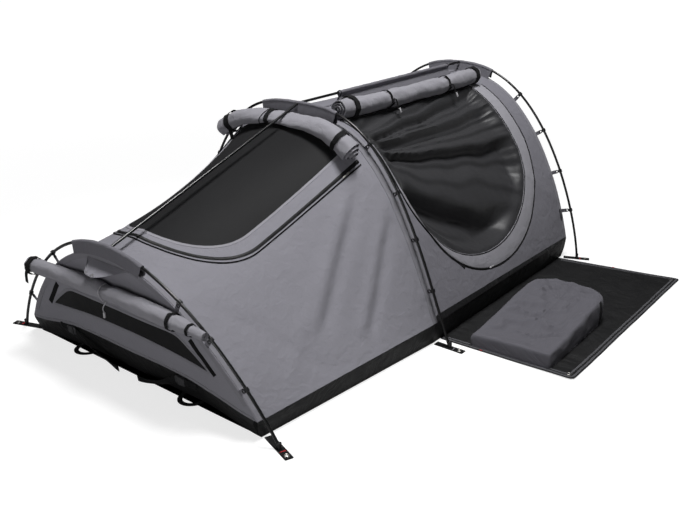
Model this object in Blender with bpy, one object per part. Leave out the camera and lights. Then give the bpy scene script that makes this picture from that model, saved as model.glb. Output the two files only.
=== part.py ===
"""
Swag bedroll: a low three-arch camping shelter with a bucket floor, a foam mattress, rolled-up
flaps, a mesh door and window, a ground mat at the door and a gear bag lying on it.

Units are metres. +X runs from the foot end to the head end, -Y is the side with the door, +Z is
up, and the origin is the middle of the floor, on the ground.
"""
import math
from dataclasses import dataclass

import bpy
import bmesh
from mathutils import Vector
from mathutils.bvhtree import BVHTree
from mathutils.geometry import delaunay_2d_cdt

# Clearances between pieces that touch on the real object
TOUCH_GAP = 0.0003
SEAM_GAP = 0.0005
RIM_GAP = 0.0008
CLOTH_SEAT_GAP = 0.0012
POINT_MERGE = 0.00001
SEAT_STEP = 0.003
TURN_STEP_SHARE = 0.002
EDGE_STEP_SHARE = 0.004
EDGE_SLACK_SHARE = 0.001
RIM_TURN_SHARES = (0.3, 0.99)
GRID_INSET_SHARE = 0.4
DOOR_FOLD_STEPS = 100.0
BUCKLE_TAIL_SHARE = 0.8
STRAP_LIE_SHARE = 0.52
SEAT_PARTS = 12
SEAT_SEARCH = 0.020

# Poles
POLE_RADIUS = 0.0055
POLE_SIDES = 8
POLE_STEPS = 17
POLE_FOOT_RISE = 0.012

# Foot arch: where it stands, how far its crown leans back, its pole and the canvas inside it
FOOT_ARCH_X = -1.105
FOOT_CROWN_SETBACK = 0.078
FOOT_HALF_SPAN = 0.715
FOOT_HEIGHT = 0.536
FOOT_SIDE_SHARE = 2.01
FOOT_TOP_SHARE = 1.141
FOOT_CROWN_STANDOFF = 0.040
FOOT_SHOULDER_STANDOFF = 0.040
FOOT_RIM_STANDOFF = 0.044
FOOT_RIM_HEIGHT = 0.070
FOOT_RIDGE_SIDE = 0.030

# Middle arch
MID_ARCH_X = -0.170
MID_CROWN_SETBACK = 0.036
MID_HALF_SPAN = 0.752
MID_HEIGHT = 0.879
MID_SIDE_SHARE = 2.957
MID_TOP_SHARE = 0.874
MID_CROWN_STANDOFF = 0.050
MID_SHOULDER_STANDOFF = 0.028
MID_RIM_STANDOFF = 0.028
MID_RIM_HEIGHT = 0.090

# Head arch
HEAD_ARCH_X = 1.088
HEAD_CROWN_SETBACK = 0.060
HEAD_HALF_SPAN = 0.712
HEAD_HEIGHT = 0.919
HEAD_SIDE_SHARE = 2.403
HEAD_TOP_SHARE = 1.362
HEAD_CROWN_STANDOFF = 0.042
HEAD_SHOULDER_STANDOFF = 0.048
HEAD_RIM_STANDOFF = 0.052
HEAD_RIM_HEIGHT = 0.092

# Cloth
CANVAS_THICKNESS = 0.0020
MESH_THICKNESS = 0.0014
FOOT_CANVAS_SAG = 0.070
HEAD_CANVAS_SAG = 0.020
CANVAS_GRID = 0.110
CANVAS_EDGE_STEP = 0.062
WALL_GRID = 0.130

# Bucket floor
TUB_THICKNESS = 0.0025
TUB_SIDE_FLARE = 0.012
TUB_FOOT_TOE_X = -1.060
TUB_CORNER_PULL = 0.032
TUB_HEAD_FLARE = 0.020
FOOT_WALL_SEAM_HEIGHT = 0.122
FOOT_WALL_SEAM_FLAT_SHARE = 0.47

# Mattress
MATTRESS_THICKNESS = 0.060
MATTRESS_MARGIN = 0.020
MATTRESS_EDGE_ROUND = 0.018

# Top window: a U over the ridge, in shares of the foot section's length and of each half-girth
WINDOW_END_SHARE = 0.163
WINDOW_KNEE_SHARE = 0.420
WINDOW_TOP_SHARE = 0.950
WINDOW_HALF_WIDTH_SHARE = 0.343
WINDOW_GRID = 0.090

# Door: a D on the near side of the head section, in shares of length and half-girth
DOOR_CENTRE_SHARE = 0.440
DOOR_HALF_WIDTH_SHARE = 0.395
DOOR_TOP_SHARE = 0.200
DOOR_KNEE_SHARE = 0.550
DOOR_BOTTOM_SHARE = 0.860
DOOR_FOLD_DEPTH = 0.026
DOOR_SLACK_DEPTH = 0.022
DOOR_FOLD_PITCH = 0.155
DOOR_FOLD_EASE = 0.110
DOOR_FOLD_SLOPE = 0.62
DOOR_FOLD_SWAY_SHARE = 0.35
DOOR_FOLD_SWAY_TURNS = 0.27
DOOR_GRID = 0.075

# Foot window
FOOT_WINDOW_TOP_HALF = 0.300
FOOT_WINDOW_BOTTOM_HALF = 0.450
FOOT_WINDOW_TOP_HEIGHT = 0.290
FOOT_WINDOW_BOTTOM_HEIGHT = 0.182
FOOT_WINDOW_CORNER = 0.030

# Pole sleeves over the crowns and along the ridge
SLEEVE_SEGMENTS = 3
SLEEVE_WALL = 0.0022
SLEEVE_BASE_HALF = 0.017
SLEEVE_BORE_GAP = 0.0004
RIDGE_SLEEVE_START_SHARE = 0.205
RIDGE_SLEEVE_END_SHARE = 0.905
RIDGE_SLEEVE_BASE_HALF = 0.016
RIDGE_STEPS = 4

# Clips that hang the canvas from the poles
CLIP_WIDTH = 0.014
CLIP_TAB_HALF = 0.0012
CLIP_BODY_HALF = 0.0040
CLIP_BODY_LENGTH = 0.011
CLIP_HOOK_WALL = 0.0028
CLIP_HOOK_STEPS = 8
CLIP_MOUTH_DEGREES = 110.0
CLIP_SHOULDER_SHARE = 0.8
FOOT_CLIP_SHARES = (0.325, 0.460, 0.640)
MID_CLIP_SHARES = (0.320, 0.458, 0.567, 0.692)
HEAD_CLIP_SHARES = (0.326, 0.477, 0.619, 0.752)

# Rolled-up flaps
ROLL_CLOTH = 0.0042
ROLL_TURNS = 2.25
ROLL_STEPS_PER_TURN = 11
DOOR_ROLL_RADIUS = 0.041
DOOR_ROLL_START_SHARE = 0.030
DOOR_ROLL_END_SHARE = 0.885
DOOR_ROLL_SIDE_SHARE = 0.180
DOOR_ROLL_STEPS = 5
WINDOW_ROLL_RADIUS = 0.045
WINDOW_ROLL_WAIST_SHARE = 0.50
WINDOW_ROLL_ALONG_SHARE = 0.932
WINDOW_ROLL_NEAR_SHARE = 0.418
WINDOW_ROLL_FAR_SHARE = 0.390
WINDOW_ROLL_STEPS = 10
FOOT_ROLL_RADIUS = 0.034
FOOT_ROLL_HEIGHT = 0.378
FOOT_ROLL_FAR_END = 0.470
FOOT_ROLL_NEAR_END = 0.475
FOOT_ROLL_DROOP = 0.016
FOOT_ROLL_TAIL_SHARE = 0.50
FOOT_ROLL_TAIL_START = 0.340
FOOT_ROLL_TAIL_DROOP = 0.014
FOOT_ROLL_STEPS = 5

# Vent hood under the foot crown
HOOD_HALF_WIDTH = 0.120
HOOD_TOP_HEIGHT = 0.470
HOOD_DROP = 0.030
HOOD_STAND_OUT = 0.050
HOOD_APEX_SIDE = 0.042
HOOD_APEX_ROUND = 0.036
HOOD_END_ROUND = 0.006
HOOD_THICKNESS = 0.0016
HOOD_STEPS = 6
HOOD_FALL_TURN_SHARE = 0.42
HOOD_OUT_SHARE = 1.2
HOOD_CROWN_SHARE = 0.25

# Anchor tabs under the pole feet
TAB_WIDTH = 0.030
TAB_THICKNESS = 0.0030
TAB_TAIL = 0.062
TAB_EYELET_RADIUS = 0.0065
TAB_EYELET_INSET = 0.020
TAB_EYELET_SIDES = 8
FOOT_TAB_DEGREES = 20.0
HEAD_TAB_DEGREES = 24.0

# Strap buckles on the foot end
BUCKLE_Y_FAR = 0.335
BUCKLE_Y_NEAR = -0.265
BUCKLE_HEIGHT = 0.100
BUCKLE_LENGTH = 0.034
BUCKLE_WIDTH = 0.036
BUCKLE_DEPTH = 0.011
BUCKLE_WALL = 0.0022
BUCKLE_SLIDE_GAP = 0.0004
BUCKLE_WINDOW_LENGTH = 0.012
PLUG_BASE = 0.014
PLUG_PRONG = 0.0055
PLUG_TONGUE = 0.0060
STRAP_WIDTH = 0.025
STRAP_THICKNESS = 0.0022
STRAP_RUN = 0.245
STRAP_STEPS = 6

# Carry handles on the foot end
HANDLE_HALF_SPAN = 0.055
HANDLE_REACH = 0.062
HANDLE_STRAP = 0.018
HANDLE_THICKNESS = 0.0035
HANDLE_STEPS = 10

# Zip sliders
SLIDER_LENGTH = 0.012
SLIDER_WIDTH = 0.009
SLIDER_HEIGHT = 0.0040
PULL_LENGTH = 0.026
PULL_THICKNESS = 0.0016
WINDOW_SLIDER_SHARE = 0.890
WINDOW_SLIDER_SIDE_SHARE = 0.430
DOOR_SLIDER_SHARE = 0.390
DOOR_SLIDER_SIDE_SHARE = 0.919

# Ground mat and gear bag at the door
MAT_FOOT_X = -0.125
MAT_HEAD_X = 1.034
MAT_WIDTH = 0.568
MAT_HEAD_WIDTH = 0.580
MAT_HEAD_FLARE = 0.085
MAT_THICKNESS = 0.0020
MAT_CORNER = 0.020
MAT_HINGE_GAP = 0.0004
BAG_FOOT_X = -0.096
BAG_LENGTH = 0.600
BAG_SET_OFF = 0.130
BAG_WIDTH = 0.338
BAG_SQUARE_HEIGHT = 0.078
BAG_ROUND_HEIGHT = 0.118
BAG_SQUARE_ROUND = 0.045
BAG_ROUND_END = 0.132
BAG_TOP_INSET = 0.030
BAG_BASE_INSET = 0.010
BAG_SHOULDER_INSET = 0.012
BAG_RISE_SHARES = (0.0, 0.18, 0.55, 0.86, 1.0)
BAG_INSETS = (BAG_BASE_INSET, 0.0, 0.0, BAG_SHOULDER_INSET, BAG_TOP_INSET)


@dataclass
class Arch:
    """One bent pole, standing in a plane that leans back, and the canvas edge inside it."""

    x: float
    setback: float
    half_span: float
    height: float
    side_power: float
    top_power: float
    crown_standoff: float
    shoulder_standoff: float
    rim_standoff: float
    rim_height: float
    rim_turn: float = 1.0

    def in_plane(self, y, z):
        """The point of the leaning plane at this width and height."""
        return Vector((self.x - self.setback * z / self.height, y, z))

    def plane_normal(self):
        """Unit normal of the leaning plane, towards the foot end."""
        return Vector((-1.0, 0.0, -self.setback / self.height)).normalized()

    def pole_point(self, turn):
        """Point on the pole's centre line: turn is -1 at the near foot, 0 at the crown, 1 far."""
        width = math.sin(abs(turn) * math.pi / 2.0)
        rise = max(0.0, 1.0 - width ** self.side_power) ** (1.0 / self.top_power)
        return self.in_plane(math.copysign(self.half_span * width, turn), self.height * rise)

    def pole_normal(self, turn):
        """Unit normal of the pole's curve in its plane, pointing away from the tent."""
        before = self.pole_point(max(-1.0, turn - TURN_STEP_SHARE))
        after = self.pole_point(min(1.0, turn + TURN_STEP_SHARE))
        along = (after - before).normalized()
        return along.cross(self.plane_normal()).normalized()

    def standoff(self, turn):
        """Distance from the pole in to the canvas."""
        half_share = 0.5
        side = abs(turn)
        if side < half_share:
            return blend(self.crown_standoff, self.shoulder_standoff, ease(side / half_share))
        return blend(self.shoulder_standoff, self.rim_standoff, ease(side / half_share - 1.0))

    def canvas_at_turn(self, turn):
        """Canvas point opposite the pole point at this turn."""
        return self.pole_point(turn) - self.pole_normal(turn) * self.standoff(turn)

    def find_rim(self):
        """Find the turn where the canvas comes down to the floor's rim."""
        low, high = RIM_TURN_SHARES
        for _ in range(40):
            middle = (low + high) / 2.0
            if self.canvas_at_turn(middle).z > self.rim_height:
                low = middle
            else:
                high = middle
        self.rim_turn = (low + high) / 2.0

    def canvas(self, across):
        """Canvas edge: across is -1 at the near rim, 0 at the ridge and 1 at the far rim."""
        return self.canvas_at_turn(across * self.rim_turn)

    def canvas_normal(self, across):
        """Unit normal of the canvas edge in the arch's plane, pointing out."""
        along = self.canvas(across + EDGE_STEP_SHARE) - self.canvas(across - EDGE_STEP_SHARE)
        return along.cross(self.plane_normal()).normalized()


def blend(start, end, share):
    """Straight mix of two values."""
    return start + (end - start) * share


def ease(share):
    """Smooth step from 0 to 1."""
    share = min(1.0, max(0.0, share))
    return share * share * (3.0 - 2.0 * share)


FOOT = Arch(FOOT_ARCH_X, FOOT_CROWN_SETBACK, FOOT_HALF_SPAN, FOOT_HEIGHT, FOOT_SIDE_SHARE,
            FOOT_TOP_SHARE, FOOT_CROWN_STANDOFF, FOOT_SHOULDER_STANDOFF, FOOT_RIM_STANDOFF,
            FOOT_RIM_HEIGHT)
MID = Arch(MID_ARCH_X, MID_CROWN_SETBACK, MID_HALF_SPAN, MID_HEIGHT, MID_SIDE_SHARE,
           MID_TOP_SHARE, MID_CROWN_STANDOFF, MID_SHOULDER_STANDOFF, MID_RIM_STANDOFF,
           MID_RIM_HEIGHT)
HEAD = Arch(HEAD_ARCH_X, HEAD_CROWN_SETBACK, HEAD_HALF_SPAN, HEAD_HEIGHT, HEAD_SIDE_SHARE,
            HEAD_TOP_SHARE, HEAD_CROWN_STANDOFF, HEAD_SHOULDER_STANDOFF, HEAD_RIM_STANDOFF,
            HEAD_RIM_HEIGHT)
for arch in (FOOT, MID, HEAD):
    arch.find_rim()


@dataclass
class Section:
    """The canvas stretched between two arches."""

    foot_side: Arch
    head_side: Arch
    start_gap: float
    end_gap: float
    sag: float
    ridge_start_side: float

    def point(self, along, across):
        """Point of the canvas: along is 0 at the foot-side arch and 1 at the head-side one."""
        start = self.foot_side.canvas(across)
        end = self.head_side.canvas(across)
        bow = self.sag * 4.0 * along * (1.0 - along) * math.sin(math.pi * min(1.0, abs(across)))
        return blend(start, end, along) - self.edge_normal(along, across) * bow

    def edge_normal(self, along, across):
        """The direction in which the cloth has its thickness."""
        start = self.foot_side.canvas_normal(across)
        end = self.head_side.canvas_normal(across)
        return blend(start, end, along).normalized()

    def true_normal(self, along, across):
        """Normal of the stretched surface, pointing out."""
        step = TURN_STEP_SHARE
        run = self.point(along + step, across) - self.point(along - step, across)
        climb = self.point(along, across + step) - self.point(along, across - step)
        return run.cross(climb).normalized()

    def length(self):
        """Length of the ridge."""
        return (self.head_side.canvas(0.0) - self.foot_side.canvas(0.0)).length

    def half_girth(self):
        """Mean length of cloth from the ridge down to the rim."""
        steps = 16
        total = 0.0
        for side in (self.foot_side, self.head_side):
            for index in range(steps):
                total += (side.canvas((index + 1) / steps) - side.canvas(index / steps)).length
        return total / 2.0


FOOT_SECTION = Section(FOOT, MID, 0.0, TOUCH_GAP, FOOT_CANVAS_SAG, FOOT_RIDGE_SIDE)
HEAD_SECTION = Section(MID, HEAD, TOUCH_GAP, 0.0, HEAD_CANVAS_SAG, 0.0)


# Materials

def make_material(name, colour, roughness, metallic=0.0):
    """A plain surface with its own colour."""
    material = bpy.data.materials.new(name)
    material.use_nodes = True
    shader = material.node_tree.nodes["Principled BSDF"]
    shader.inputs["Base Color"].default_value = (*colour, 1.0)
    shader.inputs["Roughness"].default_value = roughness
    shader.inputs["Metallic"].default_value = metallic
    material.diffuse_color = (*colour, 1.0)
    return material


def canvas_material(name):
    """Grey rip-resistant canvas."""
    return make_material(name, (0.165, 0.163, 0.180), 0.85)


def coated_material(name):
    """Black coated floor fabric."""
    return make_material(name, (0.014, 0.014, 0.014), 0.55)


def mesh_material(name):
    """Black insect mesh."""
    return make_material(name, (0.022, 0.022, 0.024), 0.80)


def pole_material(name):
    """Black anodised aluminium tube."""
    return make_material(name, (0.015, 0.015, 0.016), 0.35, 0.8)


def moulded_material(name):
    """Black moulded plastic."""
    return make_material(name, (0.012, 0.012, 0.012), 0.45)


def webbing_material(name):
    """Black woven webbing."""
    return make_material(name, (0.016, 0.016, 0.016), 0.80)


# Building blocks

FILL_CLEARANCE_SHARE = 0.55


def finish_object(name, mesh_data, make_finish, smooth_degrees=0.0):
    """Close a bmesh into a named object with its material."""
    bmesh.ops.remove_doubles(mesh_data, verts=mesh_data.verts, dist=POINT_MERGE)
    bmesh.ops.recalc_face_normals(mesh_data, faces=mesh_data.faces)
    mesh = bpy.data.meshes.new(name)
    mesh_data.to_mesh(mesh)
    mesh_data.free()
    if smooth_degrees > 0.0:
        mesh.shade_smooth()
        mesh.set_sharp_from_angle(angle=math.radians(smooth_degrees))
    mesh.materials.append(make_finish(name + "_finish"))
    made = bpy.data.objects.new(name, mesh)
    bpy.context.scene.collection.objects.link(made)
    return made


def skin_rings(mesh_data, rings, closed_ends=True):
    """Join rings of equally many points into a tube of quads, with flat ends."""
    rows = []
    for ring in rings:
        rows.append([mesh_data.verts.new(point) for point in ring])
    count = len(rows[0])
    for row, next_row in zip(rows, rows[1:]):
        for index in range(count):
            following = (index + 1) % count
            mesh_data.faces.new((row[index], row[following], next_row[following], next_row[index]))
    if closed_ends:
        close_ring(mesh_data, rows[0])
        close_ring(mesh_data, rows[-1])
    return rows


def close_ring(mesh_data, ring):
    """Fill a flat ring of vertices with triangles, also where its outline is hollow."""
    normal = Vector((0.0, 0.0, 0.0))
    for vertex, following in zip(ring, ring[1:] + ring[:1]):
        normal += (vertex.co - ring[0].co).cross(following.co - ring[0].co)
    normal.normalize()
    first = (ring[1].co - ring[0].co).normalized()
    second = normal.cross(first)
    flat = [Vector(((vertex.co - ring[0].co).dot(first), (vertex.co - ring[0].co).dot(second)))
            for vertex in ring]
    edges = [(index, (index + 1) % len(ring)) for index in range(len(ring))]
    points, _, triangles, sources, _, _ = delaunay_2d_cdt(flat, edges, [], 0, POINT_MERGE)
    for triangle in triangles:
        middle = sum((points[index] for index in triangle), Vector((0.0, 0.0))) / 3.0
        if inside(middle, flat):
            mesh_data.faces.new([ring[sources[index][0]] for index in triangle])


def skin_sleeve(mesh_data, outer_rings, inner_rings):
    """Join two sets of rings into a tube with a bore; the rings may differ in their counts."""
    outer_rows = skin_rings(mesh_data, outer_rings, closed_ends=False)
    inner_rows = skin_rings(mesh_data, inner_rings, closed_ends=False)
    for outer_row, inner_row in ((outer_rows[0], inner_rows[0]), (outer_rows[-1], inner_rows[-1])):
        edges = []
        for row in (outer_row, inner_row):
            for index, vertex in enumerate(row):
                following = row[(index + 1) % len(row)]
                edges.append(mesh_data.edges.get((vertex, following)))
        bmesh.ops.triangle_fill(mesh_data, edges=edges, use_beauty=True)


def inside(point, loop):
    """Whether a flat point lies inside a loop of points."""
    hit = False
    before = loop[-1]
    for corner in loop:
        if (corner[1] > point[1]) != (before[1] > point[1]):
            cross = corner[0] + (point[1] - corner[1]) * (before[0] - corner[0]) / (
                before[1] - corner[1])
            if point[0] < cross:
                hit = not hit
        before = corner
    return hit


def away_from(point, points, distance):
    """Whether a flat point keeps this distance from all the points."""
    limit = distance * distance
    for other in points:
        if (point[0] - other[0]) ** 2 + (point[1] - other[1]) ** 2 < limit:
            return False
    return True


def fill_grid(outer, holes, spacing):
    """Staggered points inside an outline and outside its holes."""
    keep_out = outer + [point for hole in holes for point in hole]
    low = [min(point[axis] for point in outer) for axis in (0, 1)]
    high = [max(point[axis] for point in outer) for axis in (0, 1)]
    row_height = spacing * math.sqrt(3.0) / 2.0
    rows = max(1, round((high[1] - low[1]) / row_height))
    columns = max(1, round((high[0] - low[0]) / spacing))
    clearance = FILL_CLEARANCE_SHARE * spacing
    found = []
    for row in range(1, rows):
        shift = 0.5 if row % 2 else 0.0
        for column in range(columns + 1):
            point = (low[0] + (column + shift) * (high[0] - low[0]) / columns,
                     low[1] + row * (high[1] - low[1]) / rows)
            if not inside(point, outer) or any(inside(point, hole) for hole in holes):
                continue
            if away_from(point, keep_out, clearance):
                found.append(point)
    return found


def make_sheet(name, outer, holes, inner, place, thickness, make_finish):
    """
    Cut a flat pattern and lay it on a surface as cloth of even thickness.

    inner holds the flat points inside the border. place turns a flat point into a point of the
    surface and the direction of the thickness.
    """
    loops = [outer] + holes
    flat = []
    edges = []
    for loop in loops:
        start = len(flat)
        flat.extend(loop)
        edges.extend((start + index, start + (index + 1) % len(loop))
                     for index in range(len(loop)))
    flat.extend(inner)
    points, _, triangles, _, _, _ = delaunay_2d_cdt(
        [Vector(point) for point in flat], edges, [], 0, POINT_MERGE)
    kept = []
    for triangle in triangles:
        middle = sum((points[index] for index in triangle), Vector((0.0, 0.0))) / 3.0
        if inside(middle, outer) and not any(inside(middle, hole) for hole in holes):
            kept.append(triangle)
    mesh_data = bmesh.new()
    upper = {}
    lower = {}
    for index in sorted({index for triangle in kept for index in triangle}):
        point, direction = place(points[index].x, points[index].y)
        upper[index] = mesh_data.verts.new(point + direction * thickness / 2.0)
        lower[index] = mesh_data.verts.new(point - direction * thickness / 2.0)
    border = {}
    for one, two, three in kept:
        mesh_data.faces.new((upper[one], upper[two], upper[three]))
        mesh_data.faces.new((lower[three], lower[two], lower[one]))
        for edge in ((one, two), (two, three), (three, one)):
            border[edge] = True
    for start, end in border:
        if (end, start) not in border:
            mesh_data.faces.new((upper[end], upper[start], lower[start], lower[end]))
    return finish_object(name, mesh_data, make_finish, 30.0)


def surface_tree(*names):
    """Search tree of the surfaces of finished pieces."""
    corners = []
    faces = []
    for name in names:
        made = bpy.data.objects[name]
        first = len(corners)
        corners.extend(vertex.co + made.location for vertex in made.data.vertices)
        faces.extend([first + index for index in face.vertices] for face in made.data.polygons)
    return BVHTree.FromPolygons(corners, faces)


def fall_to(tree, point, down):
    """How far a point can move before it meets a surface; nothing where it misses."""
    hit, _, _, reach = tree.ray_cast(point - down * SEAT_SEARCH, down)
    if hit is None:
        return None
    return reach - SEAT_SEARCH


def settle(rows, ups, tree):
    """
    How far each row of points may be lowered so that the strip they make rests on a surface.

    The strip between two rows is tested as well, so that no ridge of the surface enters it.
    """
    found = [[] for _ in rows]
    for index in range(len(rows) - 1):
        reach = max((two - one).length for one, two in zip(rows[index], rows[index + 1]))
        for share in spread(0.0, 1.0, math.ceil(reach / SEAT_STEP)):
            down = ups[index].lerp(ups[index + 1], share).normalized() * -1.0
            line = [one.lerp(two, share) for one, two in zip(rows[index], rows[index + 1])]
            between = [one.lerp(two, part) for part in spread(0.0, 1.0, SEAT_PARTS)[1:-1]
                       for one, two in zip(line, line[1:])]
            for point in line + between:
                fall = fall_to(tree, point, down)
                if fall is not None:
                    found[index].append(fall)
                    found[index + 1].append(fall)
    return [min(falls) - TOUCH_GAP if falls else 0.0 for falls in found]


def spread(start, end, count):
    """Evenly spaced values from start to end, both included."""
    return [blend(start, end, index / count) for index in range(count + 1)]


def inset_loop(loop, distance):
    """Move each corner of a flat loop inwards."""
    area = sum(one[0] * two[1] - two[0] * one[1] for one, two in zip(loop, loop[1:] + loop[:1]))
    turn = 1.0 if area > 0.0 else -1.0
    moved = []
    count = len(loop)
    for index, point in enumerate(loop):
        before = loop[index - 1]
        after = loop[(index + 1) % count]
        along = Vector((after[0] - before[0], after[1] - before[1])).normalized()
        moved.append((point[0] - along.y * distance * turn, point[1] + along.x * distance * turn))
    return moved


def rounded_u(start, knee, end, half_width, side_steps, end_steps):
    """
    Outline of a U: two straight sides from start to the knee, then a half ellipse to the end.

    The first number of each point runs along the U and the second across it.
    """
    outline = [(along, -half_width) for along in spread(start, knee, side_steps)]
    for step in range(1, end_steps):
        angle = math.pi * step / end_steps
        outline.append((knee + (end - knee) * math.sin(angle), -half_width * math.cos(angle)))
    outline.extend((along, half_width) for along in spread(knee, start, side_steps))
    return outline


# Canvas panels

def edge_steps(section):
    """How many steps the border of a canvas section has along and across."""
    along = max(4, round(section.length() / CANVAS_EDGE_STEP / 2.0))
    across = max(8, round(2.0 * section.half_girth() / CANVAS_EDGE_STEP))
    return along, across


def section_across(section):
    """The places across the arches where the canvas edges have their corners."""
    half = max(edge_steps(FOOT_SECTION)[1], edge_steps(HEAD_SECTION)[1]) // 2
    return spread(-1.0, 0.0, half) + spread(0.0, 1.0, half)[1:]


def section_placer(section, push=None):
    """Place flat cloth on a section; the flat sizes are real lengths at mid section."""
    length = section.length()
    girth = section.half_girth()

    def place(run, climb):
        along = run / length
        across = climb / girth
        direction = section.edge_normal(along, across)
        point = section.point(along, across)
        if push is not None:
            point = point - direction * push(run, climb)
        return point, direction
    return place


def section_outline(section):
    """Border of a whole canvas section, as flat cloth."""
    length = section.length()
    girth = section.half_girth()
    start = section.start_gap
    end = length - section.end_gap
    steps = edge_steps(section)[0]
    across = section_across(section)
    outline = [(start, share * girth) for share in across]
    outline.extend((run, girth) for run in spread(start, end, steps)[1:-1])
    outline.extend((end, share * girth) for share in reversed(across))
    outline.extend((run, -girth) for run in spread(end, start, steps)[1:-1])
    return outline


def window_outline(inset=0.0):
    """Edge of the top window, as flat cloth of the foot section."""
    length = FOOT_SECTION.length()
    outline = rounded_u(WINDOW_TOP_SHARE * length, WINDOW_KNEE_SHARE * length,
                        WINDOW_END_SHARE * length,
                        WINDOW_HALF_WIDTH_SHARE * FOOT_SECTION.half_girth(), 4, 14)
    return inset_loop(outline, inset)


def door_outline(inset=0.0):
    """Edge of the door, as flat cloth of the head section."""
    length = HEAD_SECTION.length()
    girth = HEAD_SECTION.half_girth()
    upright = rounded_u(-DOOR_TOP_SHARE * girth, -DOOR_KNEE_SHARE * girth,
                        -DOOR_BOTTOM_SHARE * girth, DOOR_HALF_WIDTH_SHARE * length, 4, 16)
    outline = [(DOOR_CENTRE_SHARE * length - across, climb) for climb, across in upright]
    return inset_loop(outline, inset)


def make_canopies():
    """The canvas over the foot section, with its window, and over the head section, with its door."""
    for name, section, hole in (("foot_canopy", FOOT_SECTION, window_outline()),
                                ("head_canopy", HEAD_SECTION, door_outline())):
        outline = section_outline(section)
        make_sheet(name, outline, [hole], fill_grid(outline, [hole], CANVAS_GRID),
                   section_placer(section), CANVAS_THICKNESS, canvas_material)


def make_top_window_mesh():
    """Insect mesh that fills the top window."""
    outline = window_outline(SEAM_GAP)
    make_sheet("top_window_mesh", outline, [], fill_grid(outline, [], WINDOW_GRID),
               section_placer(FOOT_SECTION), MESH_THICKNESS, mesh_material)


def fold_turns(run, climb):
    """Which fold of the slack door cloth a flat point lies on; whole numbers are crests."""
    left = (DOOR_CENTRE_SHARE - DOOR_HALF_WIDTH_SHARE) * HEAD_SECTION.length()
    turns = (climb + DOOR_FOLD_SLOPE * (run - left)) / DOOR_FOLD_PITCH
    return turns + DOOR_FOLD_SWAY_SHARE * math.sin(2.0 * math.pi * DOOR_FOLD_SWAY_TURNS * turns)


def door_slack(outline):
    """How far the slack door cloth hangs in, with its diagonal folds."""
    def push(run, climb):
        nearest = min(math.hypot(run - x, climb - y) for x, y in outline)
        share = ease(nearest / DOOR_FOLD_EASE)
        fold = 0.5 + 0.5 * math.cos(2.0 * math.pi * fold_turns(run, climb))
        return share * (DOOR_SLACK_DEPTH + DOOR_FOLD_DEPTH * fold)
    return push


def fill_folds(outline, spacing):
    """Points inside the door's outline, in rows along the crests, flanks and valleys."""
    length = math.hypot(1.0, DOOR_FOLD_SLOPE)
    ahead = Vector((1.0, -DOOR_FOLD_SLOPE)) / length
    aside = Vector((DOOR_FOLD_SLOPE, 1.0)) / length
    centre = Vector(outline[0]).lerp(Vector(outline[-1]), 0.5)
    reach = max((Vector(point) - centre).length for point in outline)
    step = DOOR_FOLD_PITCH / DOOR_FOLD_STEPS
    found = []
    rows = 0
    before = None
    for index in range(-round(reach / step), round(reach / step) + 1):
        start = centre + aside * step * index
        quarter = math.floor(4.0 * fold_turns(start.x, start.y))
        if before is not None and quarter != before:
            rows += 1
            shift = 0.5 if rows % 2 else 0.0
            for column in range(-round(reach / spacing), round(reach / spacing) + 1):
                point = start + ahead * spacing * (column + shift)
                if inside(point, outline) and away_from(point, outline, spacing * GRID_INSET_SHARE):
                    found.append((point.x, point.y))
        before = quarter
    return found


def make_door_mesh():
    """The slack dark cloth and mesh of the door, hanging in soft diagonal folds."""
    outline = door_outline(SEAM_GAP)
    make_sheet("door_mesh", outline, [], fill_folds(outline, DOOR_GRID),
               section_placer(HEAD_SECTION, door_slack(outline)), MESH_THICKNESS, mesh_material)


# End walls

def foot_seam_height(y):
    """Height of the seam between the foot wall's canvas and the floor's black wall."""
    rim = FOOT.canvas(1.0)
    flat = FOOT_WALL_SEAM_FLAT_SHARE * rim.y
    share = ease((abs(y) - flat) / (rim.y - flat))
    return blend(FOOT_WALL_SEAM_HEIGHT, rim.z, share)


def seam_widths(arch):
    """Places across an end wall where its lower seam has corners."""
    rim = arch.canvas(1.0)
    return spread(-rim.y, rim.y, 16)


def wall_outline(arch, seam_height):
    """Border of an end wall in width and height: over the arch, then back along the seam."""
    outline = []
    for share in section_across(FOOT_SECTION):
        point = arch.canvas(share) + arch.canvas_normal(share) * CANVAS_THICKNESS / 2.0
        outline.append((point.y, point.z))
    widths = seam_widths(arch)
    outline.extend((y, seam_height(y)) for y in reversed(widths[1:-1]))
    return outline


def wall_placer(arch, side):
    """Place flat cloth on an arch's leaning plane, just outside the canvas edge."""
    normal = arch.plane_normal() * side
    offset = normal * (TOUCH_GAP + CANVAS_THICKNESS / 2.0)

    def place(y, z):
        return arch.in_plane(y, z) + offset, normal
    return place


def foot_window_outline(inset=0.0):
    """Edge of the long foot window, with rounded corners."""
    corners = [(-FOOT_WINDOW_BOTTOM_HALF, FOOT_WINDOW_BOTTOM_HEIGHT),
               (FOOT_WINDOW_BOTTOM_HALF, FOOT_WINDOW_BOTTOM_HEIGHT),
               (FOOT_WINDOW_TOP_HALF, FOOT_WINDOW_TOP_HEIGHT),
               (-FOOT_WINDOW_TOP_HALF, FOOT_WINDOW_TOP_HEIGHT)]
    outline = round_corners(corners, [FOOT_WINDOW_CORNER] * 4, 3)
    return inset_loop(outline, inset)


def round_corners(corners, radii, steps):
    """Replace each corner of a flat loop by a short curve."""
    outline = []
    count = len(corners)
    for index, corner in enumerate(corners):
        here = Vector(corner)
        before = (Vector(corners[index - 1]) - here).normalized() * radii[index]
        after = (Vector(corners[(index + 1) % count]) - here).normalized() * radii[index]
        for step in range(steps + 1):
            share = step / steps
            point = here + before * (1.0 - share) ** 2 + after * share ** 2
            outline.append((point.x, point.y))
    return outline


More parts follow.
